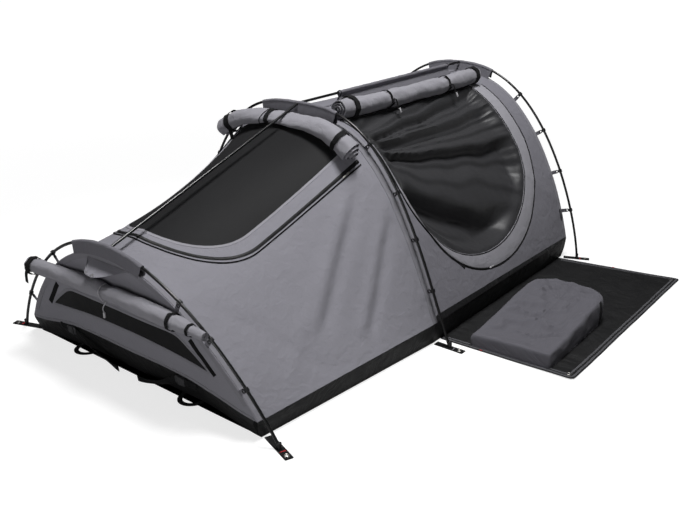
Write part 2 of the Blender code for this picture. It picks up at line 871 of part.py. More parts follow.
def make_end_walls():
    """The canvas walls at the foot and the head, and the mesh of the foot window."""
    hole = foot_window_outline()
    outline = wall_outline(FOOT, foot_seam_height)
    make_sheet("foot_end_wall", outline, [hole], fill_grid(outline, [hole], WALL_GRID),
               wall_placer(FOOT, 1.0), CANVAS_THICKNESS, canvas_material)
    outline = wall_outline(HEAD, lambda y: HEAD.rim_height)
    make_sheet("head_end_wall", outline, [], fill_grid(outline, [], WALL_GRID),
               wall_placer(HEAD, -1.0), CANVAS_THICKNESS, canvas_material)
    make_sheet("foot_window_mesh", foot_window_outline(SEAM_GAP), [], [],
               wall_placer(FOOT, 1.0), MESH_THICKNESS, mesh_material)


# Bucket floor and mattress

def tub_side(section, side):
    """Rim and toe points along one side of the floor."""
    points = []
    steps = edge_steps(section)[0]
    for run in spread(section.start_gap, section.length() - section.end_gap, steps):
        rim = section.point(run / section.length(), side)
        toe = Vector((rim.x, rim.y - side * TUB_SIDE_FLARE, 0.0))
        points.append((rim, toe))
    return points


def tub_foot_toe(y):
    """Foot-end ground line of the floor: straight, with its corners pulled to the pole feet."""
    rim = FOOT.canvas(1.0)
    share = ease((abs(y) / rim.y - FOOT_WALL_SEAM_FLAT_SHARE) / (1.0 - FOOT_WALL_SEAM_FLAT_SHARE))
    return Vector((TUB_FOOT_TOE_X - TUB_CORNER_PULL * share, y, 0.0))


def tub_loop():
    """Rim and toe points once round the floor, anticlockwise seen from above."""
    near = tub_side(FOOT_SECTION, -1.0) + tub_side(HEAD_SECTION, -1.0)[1:]
    far = tub_side(FOOT_SECTION, 1.0) + tub_side(HEAD_SECTION, 1.0)[1:]
    out_of_wall = TOUCH_GAP + CANVAS_THICKNESS / 2.0
    head = []
    for y in seam_widths(HEAD)[1:-1]:
        rim = HEAD.in_plane(y, HEAD.rim_height) - HEAD.plane_normal() * out_of_wall
        head.append((rim, Vector((HEAD_ARCH_X - TUB_HEAD_FLARE, y, 0.0))))
    foot = []
    for y in reversed(seam_widths(FOOT)[1:-1]):
        rim = FOOT.in_plane(y, foot_seam_height(y)) + FOOT.plane_normal() * out_of_wall
        foot.append((rim, tub_foot_toe(y)))
    near[0] = (near[0][0], tub_foot_toe(near[0][1].y))
    far[0] = (far[0][0], tub_foot_toe(far[0][1].y))
    near[-1] = (near[-1][0], Vector((HEAD_ARCH_X - TUB_HEAD_FLARE, near[-1][1].y, 0.0)))
    far[-1] = (far[-1][0], Vector((HEAD_ARCH_X - TUB_HEAD_FLARE, far[-1][1].y, 0.0)))
    return near + head + list(reversed(far)) + foot


def make_tub_floor():
    """The black bucket floor: a shallow open tray whose walls carry the canvas."""
    pairs = tub_loop()
    rims = [pair[0] for pair in pairs]
    toes = [pair[1] for pair in pairs]
    rim_out = inset_loop([(point.x, point.y) for point in rims], -TUB_THICKNESS / 2.0)
    rim_in = inset_loop([(point.x, point.y) for point in rims], TUB_THICKNESS / 2.0)
    toe_in = inset_loop([(point.x, point.y) for point in toes], TUB_THICKNESS)
    mesh_data = bmesh.new()
    rings = [
        [mesh_data.verts.new((toe.x, toe.y, 0.0)) for toe in toes],
        [mesh_data.verts.new((flat[0], flat[1], rim.z - RIM_GAP))
         for flat, rim in zip(rim_out, rims)],
        [mesh_data.verts.new((flat[0], flat[1], rim.z - RIM_GAP))
         for flat, rim in zip(rim_in, rims)],
        [mesh_data.verts.new((flat[0], flat[1], TUB_THICKNESS)) for flat in toe_in],
    ]
    count = len(pairs)
    for ring, next_ring in zip(rings, rings[1:]):
        for index in range(count):
            following = (index + 1) % count
            mesh_data.faces.new((ring[index], ring[following], next_ring[following],
                                 next_ring[index]))
    floors = [mesh_data.faces.new(rings[0]), mesh_data.faces.new(list(reversed(rings[-1])))]
    bmesh.ops.triangulate(mesh_data, faces=floors)
    finish_object("tub_floor", mesh_data, coated_material, 30.0)


def make_mattress():
    """The foam mattress lying in the floor."""
    half_width = min(arch.canvas(1.0).y for arch in (FOOT, MID, HEAD))
    half_width -= TUB_SIDE_FLARE + TUB_THICKNESS + MATTRESS_MARGIN
    foot_x = TUB_FOOT_TOE_X + TUB_THICKNESS + MATTRESS_MARGIN
    head_x = HEAD_ARCH_X - TUB_HEAD_FLARE - TUB_THICKNESS - MATTRESS_MARGIN
    low = TUB_THICKNESS + TOUCH_GAP
    edge = MATTRESS_EDGE_ROUND
    profile = [(edge, low), (0.0, low + edge / 2.0), (0.0, low + MATTRESS_THICKNESS - edge),
               (edge / 3.0, low + MATTRESS_THICKNESS - edge / 3.0),
               (edge, low + MATTRESS_THICKNESS)]
    rings = []
    for inset, height in profile:
        corners = [(foot_x + inset, -half_width + inset), (head_x - inset, -half_width + inset),
                   (head_x - inset, half_width - inset), (foot_x + inset, half_width - inset)]
        flat = round_corners(corners, [2.0 * edge] * 4, 2)
        rings.append([Vector((x, y, height)) for x, y in flat])
    mesh_data = bmesh.new()
    skin_rings(mesh_data, rings)
    finish_object("mattress", mesh_data, canvas_material, 40.0)


# Poles and their sleeves

def pole_turns():
    """The places along a pole where its tube has corners."""
    return spread(-1.0, 1.0, 2 * POLE_STEPS)


def pole_path(arch):
    """Centre line of an arch pole, from its near foot to its far foot."""
    path = [arch.pole_point(turn) for turn in pole_turns()]
    lowest = TAB_THICKNESS + TOUCH_GAP
    path = [point for point in path if point.z > lowest + POLE_FOOT_RISE]
    ends = []
    for side in (-1.0, 1.0):
        foot = arch.in_plane(side * arch.half_span, lowest)
        ends.append([foot, foot + Vector((0.0, 0.0, POLE_FOOT_RISE / 2.0))])
    return ends[0] + path + list(reversed(ends[1]))


def tube_rings(path, radius, sides, sideways):
    """Rings of a round tube along a path; sideways is one fixed direction across it."""
    rings = []
    last = len(path) - 1
    for index, point in enumerate(path):
        back = path[max(0, index - 1)]
        ahead = path[min(last, index + 1)]
        along = (ahead - back).normalized()
        if 0 < index < last:
            along = ((point - back).normalized() + (ahead - point).normalized()).normalized()
        first = (sideways - along * sideways.dot(along)).normalized()
        second = along.cross(first)
        ring = []
        for side in range(sides):
            angle = 2.0 * math.pi * (side + 0.5) / sides
            ring.append(point + (first * math.cos(angle) + second * math.sin(angle)) * radius)
        rings.append(ring)
    return rings


def make_arch_pole(name, arch):
    """One bent pole."""
    mesh_data = bmesh.new()
    rings = tube_rings(pole_path(arch), POLE_RADIUS, POLE_SIDES, arch.plane_normal())
    for ring in (rings[0], rings[-1]):
        for index, point in enumerate(ring):
            ring[index] = Vector((point.x, point.y, TAB_THICKNESS + TOUCH_GAP))
    skin_rings(mesh_data, rings)
    finish_object(name, mesh_data, pole_material, 50.0)


def sleeve_rings(centre, up, aside, base_points):
    """One outer and one inner ring of a pole sleeve, round a pole and down to its base."""
    bore = (POLE_RADIUS + SLEEVE_BORE_GAP) / math.cos(math.pi / POLE_SIDES)
    outside = bore + SLEEVE_WALL
    outer = [base_points[0]]
    for degrees in (180.0, 135.0, 90.0, 45.0, 0.0):
        angle = math.radians(degrees)
        outer.append(centre + aside * math.cos(angle) * outside + up * math.sin(angle) * outside)
    outer.append(base_points[1])
    inner = []
    for side in range(POLE_SIDES):
        angle = 2.0 * math.pi * (side + 0.5) / POLE_SIDES
        inner.append(centre + aside * math.cos(angle) * bore + up * math.sin(angle) * bore)
    return outer, inner


def make_arch_sleeve(name, arch, foot_side, head_side, carriers):
    """Canvas sleeve that holds a pole's crown to the canopy, seated on its carriers."""
    turns = pole_turns()
    middle = len(turns) // 2
    kept = turns[middle - SLEEVE_SEGMENTS:middle + SLEEVE_SEGMENTS + 1]
    ups = [arch.pole_normal(turn) for turn in kept]
    asides = []
    bases = []
    for turn, up in zip(kept, ups):
        aside = Vector((1.0, 0.0, 0.0))
        aside = (aside - up * aside.dot(up)).normalized()
        across = turn / arch.rim_turn
        edge = arch.canvas(across)
        base = [edge - aside * SLEEVE_BASE_HALF, edge, edge + aside * SLEEVE_BASE_HALF]
        if foot_side is not None:
            share = 1.0 - SLEEVE_BASE_HALF / foot_side.length()
            base[0] = foot_side.point(share, across)
        if head_side is not None:
            base[2] = head_side.point(SLEEVE_BASE_HALF / head_side.length(), across)
        asides.append(aside)
        bases.append(base)
    falls = settle(bases, ups, surface_tree(*carriers))
    outer_rings = []
    inner_rings = []
    for turn, up, aside, base, fall in zip(kept, ups, asides, bases, falls):
        foot_base, middle_base, head_base = [point - up * fall for point in base]
        outer, inner = sleeve_rings(arch.pole_point(turn), up, aside, [foot_base, head_base])
        outer.append(middle_base)
        outer_rings.append(outer)
        inner_rings.append(inner)
    mesh_data = bmesh.new()
    skin_sleeve(mesh_data, outer_rings, inner_rings)
    finish_object(name, mesh_data, canvas_material, 40.0)


def ridge_line(section):
    """Centre line of the ridge pole over a section, as its two ends and its directions."""
    lean = math.asin(section.ridge_start_side / section.foot_side.half_span) / (math.pi / 2.0)
    start = section.foot_side.pole_point(-lean)
    end = section.head_side.pole_point(0.0)
    along = (end - start).normalized()
    up = Vector((0.0, 1.0, 0.0)).cross(along).normalized() * -1.0
    return start, end, along, up


def make_ridge_pole(name, section, foot_sleeve, head_sleeve):
    """A straight pole from one crown sleeve to the next."""
    start, end, along, _ = ridge_line(section)
    aside = Vector((0.0, 1.0, 0.0))
    middle = (start + end) / 2.0
    ends = []
    for sleeve, direction in ((foot_sleeve, along * -1.0), (head_sleeve, along)):
        tree = surface_tree(sleeve)
        corners = tube_rings([middle, middle + direction], POLE_RADIUS, POLE_SIDES, aside)[0]
        reach = min(fall_to(tree, corner, direction) for corner in corners)
        ends.append(middle + direction * (reach - TOUCH_GAP))
    mesh_data = bmesh.new()
    skin_rings(mesh_data, tube_rings(ends, POLE_RADIUS, POLE_SIDES, aside))
    finish_object(name, mesh_data, pole_material, 50.0)


def make_ridge_sleeve():
    """Long canvas sleeve round the head ridge pole, sewn along the canopy's ridge."""
    start, end, along, up = ridge_line(HEAD_SECTION)
    reach = (end - start).length
    across = RIDGE_SLEEVE_BASE_HALF / HEAD_SECTION.half_girth()
    shares = spread(RIDGE_SLEEVE_START_SHARE, RIDGE_SLEEVE_END_SHARE, RIDGE_STEPS)
    bases = [[HEAD_SECTION.point(share, side) for side in (-across, 0.0, across)]
             for share in shares]
    falls = settle(bases, [up] * len(bases), surface_tree("head_canopy"))
    outer_rings = []
    inner_rings = []
    for share, base, fall in zip(shares, bases, falls):
        near, middle, far = [point - up * fall for point in base]
        centre = start + along * reach * share
        outer, inner = sleeve_rings(centre, up, Vector((0.0, 1.0, 0.0)), [near, far])
        outer.append(middle)
        outer_rings.append(outer)
        inner_rings.append(inner)
    mesh_data = bmesh.new()
    skin_sleeve(mesh_data, outer_rings, inner_rings)
    finish_object("ridge_sleeve", mesh_data, canvas_material, 40.0)


# Clips between the canvas and the poles

def canvas_border(arch):
    """The canvas edge inside an arch, as the straight pieces that the cloth is cut to."""
    return [arch.canvas(share) for share in section_across(FOOT_SECTION)]


def meet_border(arch, start, direction):
    """Distance from a point, along a direction in the arch's plane, to the canvas edge."""
    border = canvas_border(arch)
    found = None
    for one, two in zip(border, border[1:]):
        edge_y = two.y - one.y
        edge_z = two.z - one.z
        across = direction.y * edge_z - direction.z * edge_y
        if abs(across) < POINT_MERGE * POINT_MERGE:
            continue
        reach = ((one.y - start.y) * edge_z - (one.z - start.z) * edge_y) / across
        share_y = one.y - start.y - direction.y * reach
        share_z = one.z - start.z - direction.z * reach
        share = -(share_y * edge_y + share_z * edge_z) / (edge_y ** 2 + edge_z ** 2)
        on_edge = -EDGE_SLACK_SHARE <= share <= 1.0 + EDGE_SLACK_SHARE
        if on_edge and reach > 0.0 and (found is None or reach < found):
            found = reach
    return found


def clip_outline(base):
    """Outline of a clip in height above the pole's axis and half thickness, from base to hook."""
    stop = math.radians(CLIP_MOUTH_DEGREES) - math.pi
    facet = (math.pi - stop) / CLIP_HOOK_STEPS
    bore = (POLE_RADIUS + SLEEVE_BORE_GAP) / math.cos(facet / 2.0)
    outside = bore + CLIP_HOOK_WALL
    neck = math.sqrt(outside ** 2 - CLIP_BODY_HALF ** 2)
    body = min(CLIP_BODY_LENGTH, (base - neck) / 2.0)
    right = [(-base, CLIP_TAB_HALF), (-neck - body, CLIP_TAB_HALF),
             (-neck - body * CLIP_SHOULDER_SHARE, CLIP_BODY_HALF), (-neck, CLIP_BODY_HALF)]
    left = [(height, -thick) for height, thick in reversed(right)]
    hook = []
    for angle in spread(math.atan2(CLIP_BODY_HALF, -neck), stop, CLIP_HOOK_STEPS)[1:]:
        hook.append((outside * math.cos(angle), outside * math.sin(angle)))
    for angle in spread(stop, math.pi, CLIP_HOOK_STEPS):
        hook.append((bore * math.cos(angle), bore * math.sin(angle)))
    return right + hook + left


def make_clip(name, arch, turn):
    """One clip: webbing tab, body and a hook that snaps round a straight piece of the pole."""
    turns = pole_turns()
    index = sum(1 for place in turns[1:-1] if place < turn)
    one = arch.pole_point(turns[index])
    two = arch.pole_point(turns[index + 1])
    room = (CLIP_WIDTH / 2.0 + POLE_RADIUS) / (two - one).length
    share = (turn - turns[index]) / (turns[index + 1] - turns[index])
    centre = one.lerp(two, min(1.0 - room, max(room, share)))
    along = (two - one).normalized()
    aside = arch.plane_normal()
    up = along.cross(aside).normalized()
    rings = []
    for side in (-0.5, 0.5):
        middle = centre + along * CLIP_WIDTH * side
        reach = meet_border(arch, middle, up * -1.0) - CANVAS_THICKNESS / 2.0 - SEAM_GAP
        rings.append([middle + up * height + aside * thick
                      for height, thick in clip_outline(reach)])
    mesh_data = bmesh.new()
    skin_rings(mesh_data, rings)
    finish_object(name, mesh_data, moulded_material, 40.0)


def make_clips():
    """All clips, mirrored about the ridge."""
    for title, arch, shares in (("foot", FOOT, FOOT_CLIP_SHARES), ("mid", MID, MID_CLIP_SHARES),
                                ("head", HEAD, HEAD_CLIP_SHARES)):
        for side_name, side in (("near", -1.0), ("far", 1.0)):
            for number, share in enumerate(shares, start=1):
                make_clip(f"{title}_clip_{side_name}_{number}", arch, side * share)


# Rolled-up flaps

@dataclass
class RollStation:
    """One cross-section of a rolled flap: its place, directions and sizes."""

    centre: Vector
    across: Vector
    up: Vector
    share: float
    squash: float


def spiral_outline(radius, turn_side):
    """
    Section of a rolled cloth, as flat points about the roll's middle.

    The cloth runs inwards from the outside of the roll and back along its inner face.
    """
    steps = round(ROLL_TURNS * ROLL_STEPS_PER_TURN)
    pitch = (radius - ROLL_CLOTH) / (ROLL_TURNS + 0.75)
    outer = []
    inner = []
    for step in range(steps + 1):
        turns = step / ROLL_STEPS_PER_TURN
        angle = turn_side * 2.0 * math.pi * turns
        far = radius - pitch * turns
        near = far - ROLL_CLOTH
        outer.append((far * math.cos(angle), far * math.sin(angle)))
        inner.append((near * math.cos(angle), near * math.sin(angle)))
    return outer + list(reversed(inner))


def roll_clearance(radius):
    """Least gap between the turns of a roll, measured between its corners and faces."""
    shape = spiral_outline(radius, 1.0)
    count = len(shape)
    least = radius
    for index, point in enumerate(shape):
        for other in range(count):
            following = (other + 1) % count
            if min(abs(index - other), abs(index - following)) <= 1 or index + other == 0:
                continue
            if {index, other, following} & {0, count - 1} and abs(index - other) > count - 3:
                continue
            start = Vector(shape[other])
            edge = Vector(shape[following]) - start
            share = min(1.0, max(0.0, (Vector(point) - start).dot(edge) / edge.length_squared))
            gap = (Vector(point) - start - edge * share).length
            same_wall = abs((count - 1 - index) - other) <= 2
            if not same_wall:
                least = min(least, gap)
    return least


def make_roll(name, stations, radius, turn_side, carriers):
    """A rolled flap that rests on its carriers, along its stations."""
    shape = spiral_outline(radius, turn_side)
    rings = []
    for station in stations:
        rings.append([station.centre + station.across * flat_across * station.share
                      + station.up * flat_up * station.squash
                      for flat_across, flat_up in shape])
    outside = range(ROLL_STEPS_PER_TURN + 1)
    rows = [[ring[index] for index in outside] for ring in rings]
    ups = [station.up for station in stations]
    falls = settle(rows, ups, surface_tree(*carriers))
    mesh_data = bmesh.new()
    skin_rings(mesh_data, [[point - up * fall for point in ring]
                           for ring, up, fall in zip(rings, ups, falls)])
    finish_object(name, mesh_data, canvas_material, 50.0)
    least = roll_clearance(radius) * min(station.squash for station in stations)
    print(f"{name}: least gap between its turns {least * 1000.0:.2f} mm")


def make_top_window_roll():
    """The top window's cover, rolled up and tied against the middle arch."""
    seat = CANVAS_THICKNESS / 2.0 + CLOTH_SEAT_GAP
    room = MID.standoff(0.0) - POLE_RADIUS - seat - CLOTH_SEAT_GAP
    waist = min(WINDOW_ROLL_WAIST_SHARE, room / (2.0 * WINDOW_ROLL_RADIUS))
    along = WINDOW_ROLL_ALONG_SHARE
    stations = []
    for across in spread(-WINDOW_ROLL_NEAR_SHARE, WINDOW_ROLL_FAR_SHARE, WINDOW_ROLL_STEPS):
        up = FOOT_SECTION.true_normal(along, across)
        run = FOOT_SECTION.point(1.0, across) - FOOT_SECTION.point(along, across)
        run = (run - up * run.dot(up)).normalized()
        squash = blend(waist, 1.0, ease(abs(across) / WINDOW_ROLL_NEAR_SHARE))
        height = seat + WINDOW_ROLL_RADIUS * squash
        centre = FOOT_SECTION.point(along, across) + up * height
        stations.append(RollStation(centre, run, up, 1.0, squash))
    make_roll("top_window_roll", stations, WINDOW_ROLL_RADIUS, -1.0,
              ["foot_canopy", "top_window_mesh"])


def make_door_roll():
    """The door's canvas cover, rolled up and tied beside the ridge."""
    seat = CANVAS_THICKNESS / 2.0 + CLOTH_SEAT_GAP
    across = -DOOR_ROLL_SIDE_SHARE
    stations = []
    for along in spread(DOOR_ROLL_START_SHARE, DOOR_ROLL_END_SHARE, DOOR_ROLL_STEPS):
        up = HEAD_SECTION.true_normal(along, across)
        down_slope = HEAD_SECTION.point(along, -1.0) - HEAD_SECTION.point(along, across)
        down_slope = (down_slope - up * down_slope.dot(up)).normalized()
        centre = HEAD_SECTION.point(along, across) + up * (seat + DOOR_ROLL_RADIUS)
        stations.append(RollStation(centre, down_slope, up, 1.0, 1.0))
    make_roll("door_roll", stations, DOOR_ROLL_RADIUS, 1.0, ["head_canopy"])


def make_foot_window_roll():
    """The foot window's cover, rolled up, with its near end drooping in front of the pole."""
    normal = FOOT.plane_normal()
    up = Vector((0.0, 1.0, 0.0)).cross(normal).normalized()
    wall_face = TOUCH_GAP + CANVAS_THICKNESS
    stations = []
    for y in spread(FOOT_ROLL_FAR_END, -FOOT_ROLL_NEAR_END, FOOT_ROLL_STEPS):
        tail = ease((-y - FOOT_ROLL_TAIL_START) / (FOOT_ROLL_NEAR_END - FOOT_ROLL_TAIL_START))
        share = blend(1.0, FOOT_ROLL_TAIL_SHARE, tail)
        seat = blend(wall_face, POLE_RADIUS, tail) + CLOTH_SEAT_GAP
        droop = FOOT_ROLL_DROOP * (abs(y) / FOOT_ROLL_NEAR_END) ** 2 + FOOT_ROLL_TAIL_DROOP * tail
        centre = FOOT.in_plane(y, FOOT_ROLL_HEIGHT - droop)
        centre += normal * (seat + FOOT_ROLL_RADIUS * share)
        stations.append(RollStation(centre, up, normal, share, share))
    make_roll("foot_window_roll", stations, FOOT_ROLL_RADIUS, 1.0,
              ["foot_end_wall", "foot_arch_pole"])


# Vent hood

def make_vent_hood():
    """Three-cornered canvas hood that keeps the rain off the vent under the foot crown."""
    normal = FOOT.plane_normal()
    offset = normal * (TOUCH_GAP * 2.0 + CANVAS_THICKNESS + HOOD_THICKNESS / 2.0)
    outline = [(-HOOD_HALF_WIDTH, 0.0), (HOOD_HALF_WIDTH, 0.0), (HOOD_APEX_SIDE, -HOOD_DROP)]
    outline = round_corners(outline, [HOOD_END_ROUND, HOOD_END_ROUND, HOOD_APEX_ROUND], 3)

    def place(y, drop):
        share = -drop / HOOD_DROP
        fall = HOOD_DROP * math.sin(share * math.pi * HOOD_FALL_TURN_SHARE)
        bulge = HOOD_CROWN_SHARE * HOOD_STAND_OUT * (1.0 - (y / HOOD_HALF_WIDTH) ** 2) * share
        out = HOOD_STAND_OUT * ease(share * HOOD_OUT_SHARE) + bulge
        return FOOT.in_plane(y, HOOD_TOP_HEIGHT - fall) + offset + normal * out, normal
    inner = fill_grid(outline, [], HOOD_HALF_WIDTH / HOOD_STEPS)
    made = make_sheet("vent_hood", outline, [], inner, place, HOOD_THICKNESS, canvas_material)
    move_origin(made, FOOT.in_plane(0.0, HOOD_TOP_HEIGHT) + offset)


# Anchor tabs

def make_anchor_tab(name, arch, side, degrees):
    """Webbing tab that holds a pole's foot and ends in a peg eyelet."""
    angle = math.radians(degrees)
    out = Vector((math.sin(angle), side * math.cos(angle), 0.0))
    across = Vector((out.y, -out.x, 0.0))
    foot = arch.in_plane(side * arch.half_span, 0.0)
    toe_y = arch.canvas(1.0).y
    inner = -(arch.half_span - toe_y - TOUCH_GAP) / math.cos(angle)
    inner += TAB_WIDTH / 2.0 * abs(math.tan(angle))
    centre = TAB_TAIL - TAB_EYELET_INSET
    hole = []
    for step in range(TAB_EYELET_SIDES):
        turn = 2.0 * math.pi * (step + 0.5) / TAB_EYELET_SIDES
        hole.append((centre + TAB_EYELET_RADIUS * math.cos(turn),
                     TAB_EYELET_RADIUS * math.sin(turn)))
    outline = [(inner, -TAB_WIDTH / 2.0), (TAB_TAIL, -TAB_WIDTH / 2.0),
               (TAB_TAIL, TAB_WIDTH / 2.0), (inner, TAB_WIDTH / 2.0)]

    def place(run, climb):
        point = foot + out * run + across * climb
        return Vector((point.x, point.y, TAB_THICKNESS / 2.0)), Vector((0.0, 0.0, 1.0))
    make_sheet(name, outline, [hole], [], place, TAB_THICKNESS, webbing_material)


def make_anchor_tabs():
    """Six anchor tabs, one at each pole foot."""
    for title, arch, degrees in (("foot", FOOT, -FOOT_TAB_DEGREES), ("mid", MID, 0.0),
                                 ("head", HEAD, HEAD_TAB_DEGREES)):
        for side_name, side in (("near", -1.0), ("far", 1.0)):
            make_anchor_tab(f"anchor_tab_{title}_{side_name}", arch, side, degrees)


# Side-release buckles and straps on the foot end

def buckle_frame(y, inward):
    """Origin and directions of a buckle resting on the floor's wall: out of it and up it."""
    out = FOOT.plane_normal()
    up = Vector((0.0, 1.0, 0.0)).cross(out).normalized()
    base = FOOT.in_plane(0.0, BUCKLE_HEIGHT) + out * BUCKLE_DEPTH
    wall = surface_tree("tub_floor", "foot_end_wall")
    falls = []
    for along in (0.0, -inward * BUCKLE_LENGTH):
        for height in (-BUCKLE_WIDTH / 2.0, BUCKLE_WIDTH / 2.0):
            corner = frame_point(base, out, up, y + along, -BUCKLE_DEPTH / 2.0, height)
            falls.append(fall_to(wall, corner, out * -1.0))
    return base - out * (min(falls) - TOUCH_GAP), out, up


def frame_point(base, out, up, along, depth, height):
    """A point given in the buckle's own directions."""
    return base + Vector((0.0, along, 0.0)) + out * depth + up * height


def make_buckle(side_name, y, inward):
    """A socket with an open mouth, and a plug with two prongs that carries its strap."""
    base, out, up = buckle_frame(y, inward)
    half = BUCKLE_WIDTH / 2.0
    depth = BUCKLE_DEPTH / 2.0
    wall = BUCKLE_WALL
    middle = BUCKLE_LENGTH / 2.0
    mesh_data = bmesh.new()
    tail = half * BUCKLE_TAIL_SHARE
    outside = [(0.0, -tail), (middle, -half), (BUCKLE_LENGTH, -half),
               (BUCKLE_LENGTH, half), (middle, half), (0.0, tail)]
    inside_shape = [(wall, wall - tail), (middle, wall - half), (BUCKLE_LENGTH, wall - half),
                    (BUCKLE_LENGTH, half - wall), (middle, half - wall), (wall, tail - wall)]

    def corner(flat, level):
        return mesh_data.verts.new(
            frame_point(base, out, up, y + inward * (flat[0] - BUCKLE_LENGTH), level, flat[1]))
    outer_low = [corner(flat, -depth) for flat in outside]
    outer_high = [corner(flat, depth) for flat in outside]
    inner_low = [corner(flat, wall - depth) for flat in inside_shape]
    inner_high = [corner(flat, depth - wall) for flat in inside_shape]
    mesh_data.faces.new(outer_low)
    mesh_data.faces.new(outer_high)
    mesh_data.faces.new(inner_low)
    mesh_data.faces.new(inner_high)
    count = len(outside)
    mouth = 2
    for index in range(count):
        following = (index + 1) % count
        if index != mouth:
            mesh_data.faces.new((outer_low[index], outer_low[following], outer_high[following],
                                 outer_high[index]))
            mesh_data.faces.new((inner_low[index], inner_low[following], inner_high[following],
                                 inner_high[index]))
    lip_out = (outer_low[mouth], outer_low[mouth + 1], outer_high[mouth + 1], outer_high[mouth])
    lip_in = (inner_low[mouth], inner_low[mouth + 1], inner_high[mouth + 1], inner_high[mouth])
    for index in range(4):
        following = (index + 1) % 4
        mesh_data.faces.new((lip_out[index], lip_out[following], lip_in[following],
                             lip_in[index]))
    bmesh.ops.triangulate(mesh_data, faces=mesh_data.faces)
    finish_object(f"buckle_socket_{side_name}", mesh_data, moulded_material, 30.0)
    make_plug(side_name, y, inward, base, out, up)


def make_plug(side_name, y, inward, base, out, up):
    """The plug half of a buckle, with the slack strap sewn into it."""
    gap = BUCKLE_SLIDE_GAP
    window = BUCKLE_WINDOW_LENGTH / 2.0
    inner_half = BUCKLE_WIDTH / 2.0 - BUCKLE_WALL - gap
    thick = BUCKLE_DEPTH / 2.0 - BUCKLE_WALL - gap
    deep = BUCKLE_LENGTH / 2.0 - gap
    prong = PLUG_PRONG
    tongue = PLUG_TONGUE / 2.0
    tip = inner_half - prong
    edge = BUCKLE_WIDTH / 2.0
    outline = [(TOUCH_GAP, -edge), (TOUCH_GAP, -inner_half), (-deep, -inner_half),
               (-deep, -tip), (TOUCH_GAP, -tip), (TOUCH_GAP, -tongue), (-deep + window, -tongue),
               (-deep + window, tongue), (TOUCH_GAP, tongue), (TOUCH_GAP, tip), (-deep, tip),
               (-deep, inner_half), (TOUCH_GAP, inner_half), (TOUCH_GAP, edge),
               (PLUG_BASE, STRAP_WIDTH / 2.0), (PLUG_BASE, -STRAP_WIDTH / 2.0)]
    mesh_data = bmesh.new()
    rings = []
    for level in (-thick, thick):
        rings.append([frame_point(base, out, up, y + inward * run, level, height)
                      for run, height in outline])
    rows = skin_rings(mesh_data, rings)
    corners = (rows[0][-2], rows[1][-2], rows[1][-1], rows[0][-1])
    mesh_data.faces.remove(mesh_data.faces.get(corners))
    previous = corners
    drop = BUCKLE_HEIGHT - STRAP_WIDTH * STRAP_LIE_SHARE
    for step in range(1, STRAP_STEPS + 1):
        share = step / STRAP_STEPS
        along = PLUG_BASE + (STRAP_RUN - PLUG_BASE) * share
        fall = drop * math.sin(share * math.pi / 2.0)
        half_strap = STRAP_WIDTH / 2.0
        ring = []
        for level, height in ((-STRAP_THICKNESS / 2.0, half_strap), (STRAP_THICKNESS / 2.0,
                              half_strap), (STRAP_THICKNESS / 2.0, -half_strap),
                              (-STRAP_THICKNESS / 2.0, -half_strap)):
            point = frame_point(base, out, up, y + inward * along, level, height - fall)
            ring.append(mesh_data.verts.new(point))
        for index in range(4):
            following = (index + 1) % 4
            mesh_data.faces.new((previous[index], previous[following], ring[following],
                                 ring[index]))
        previous = ring
    mesh_data.faces.new(previous)
    finish_object(f"buckle_plug_{side_name}", mesh_data, moulded_material, 30.0)


def make_carry_handle(name, y):
    """A webbing loop sewn to the foot of the floor, lying on the ground."""
    floor = surface_tree("tub_floor")
    inwards = Vector((1.0, 0.0, 0.0))
    ends = [Vector((TUB_FOOT_TOE_X - HANDLE_REACH, y + side * HANDLE_HALF_SPAN, height))
            for side in (-1.0, 1.0) for height in (HANDLE_THICKNESS / 2.0, HANDLE_THICKNESS)]
    start = min(end.x + fall_to(floor, end, inwards) for end in ends) - TOUCH_GAP
    outline = []
    for radius_cut in (0.0, HANDLE_STRAP):
        arc = []
        for step in range(HANDLE_STEPS + 1):
            angle = math.pi * step / HANDLE_STEPS
            arc.append((start - (HANDLE_REACH - radius_cut) * math.sin(angle),
                        y - (HANDLE_HALF_SPAN - radius_cut) * math.cos(angle)))
        outline.append(arc)
    outline = outline[0] + list(reversed(outline[1]))

    def place(x, across):
        return Vector((x, across, HANDLE_THICKNESS / 2.0)), Vector((0.0, 0.0, 1.0))
    made = make_sheet(name, outline, [], [], place, HANDLE_THICKNESS, webbing_material)
    move_origin(made, Vector((start, y, HANDLE_THICKNESS)))


def move_origin(made, place):
    """Put an object's origin on its joint without moving its shape."""
    for vertex in made.data.vertices:
        vertex.co -= place
    made.location = place


# Zip sliders

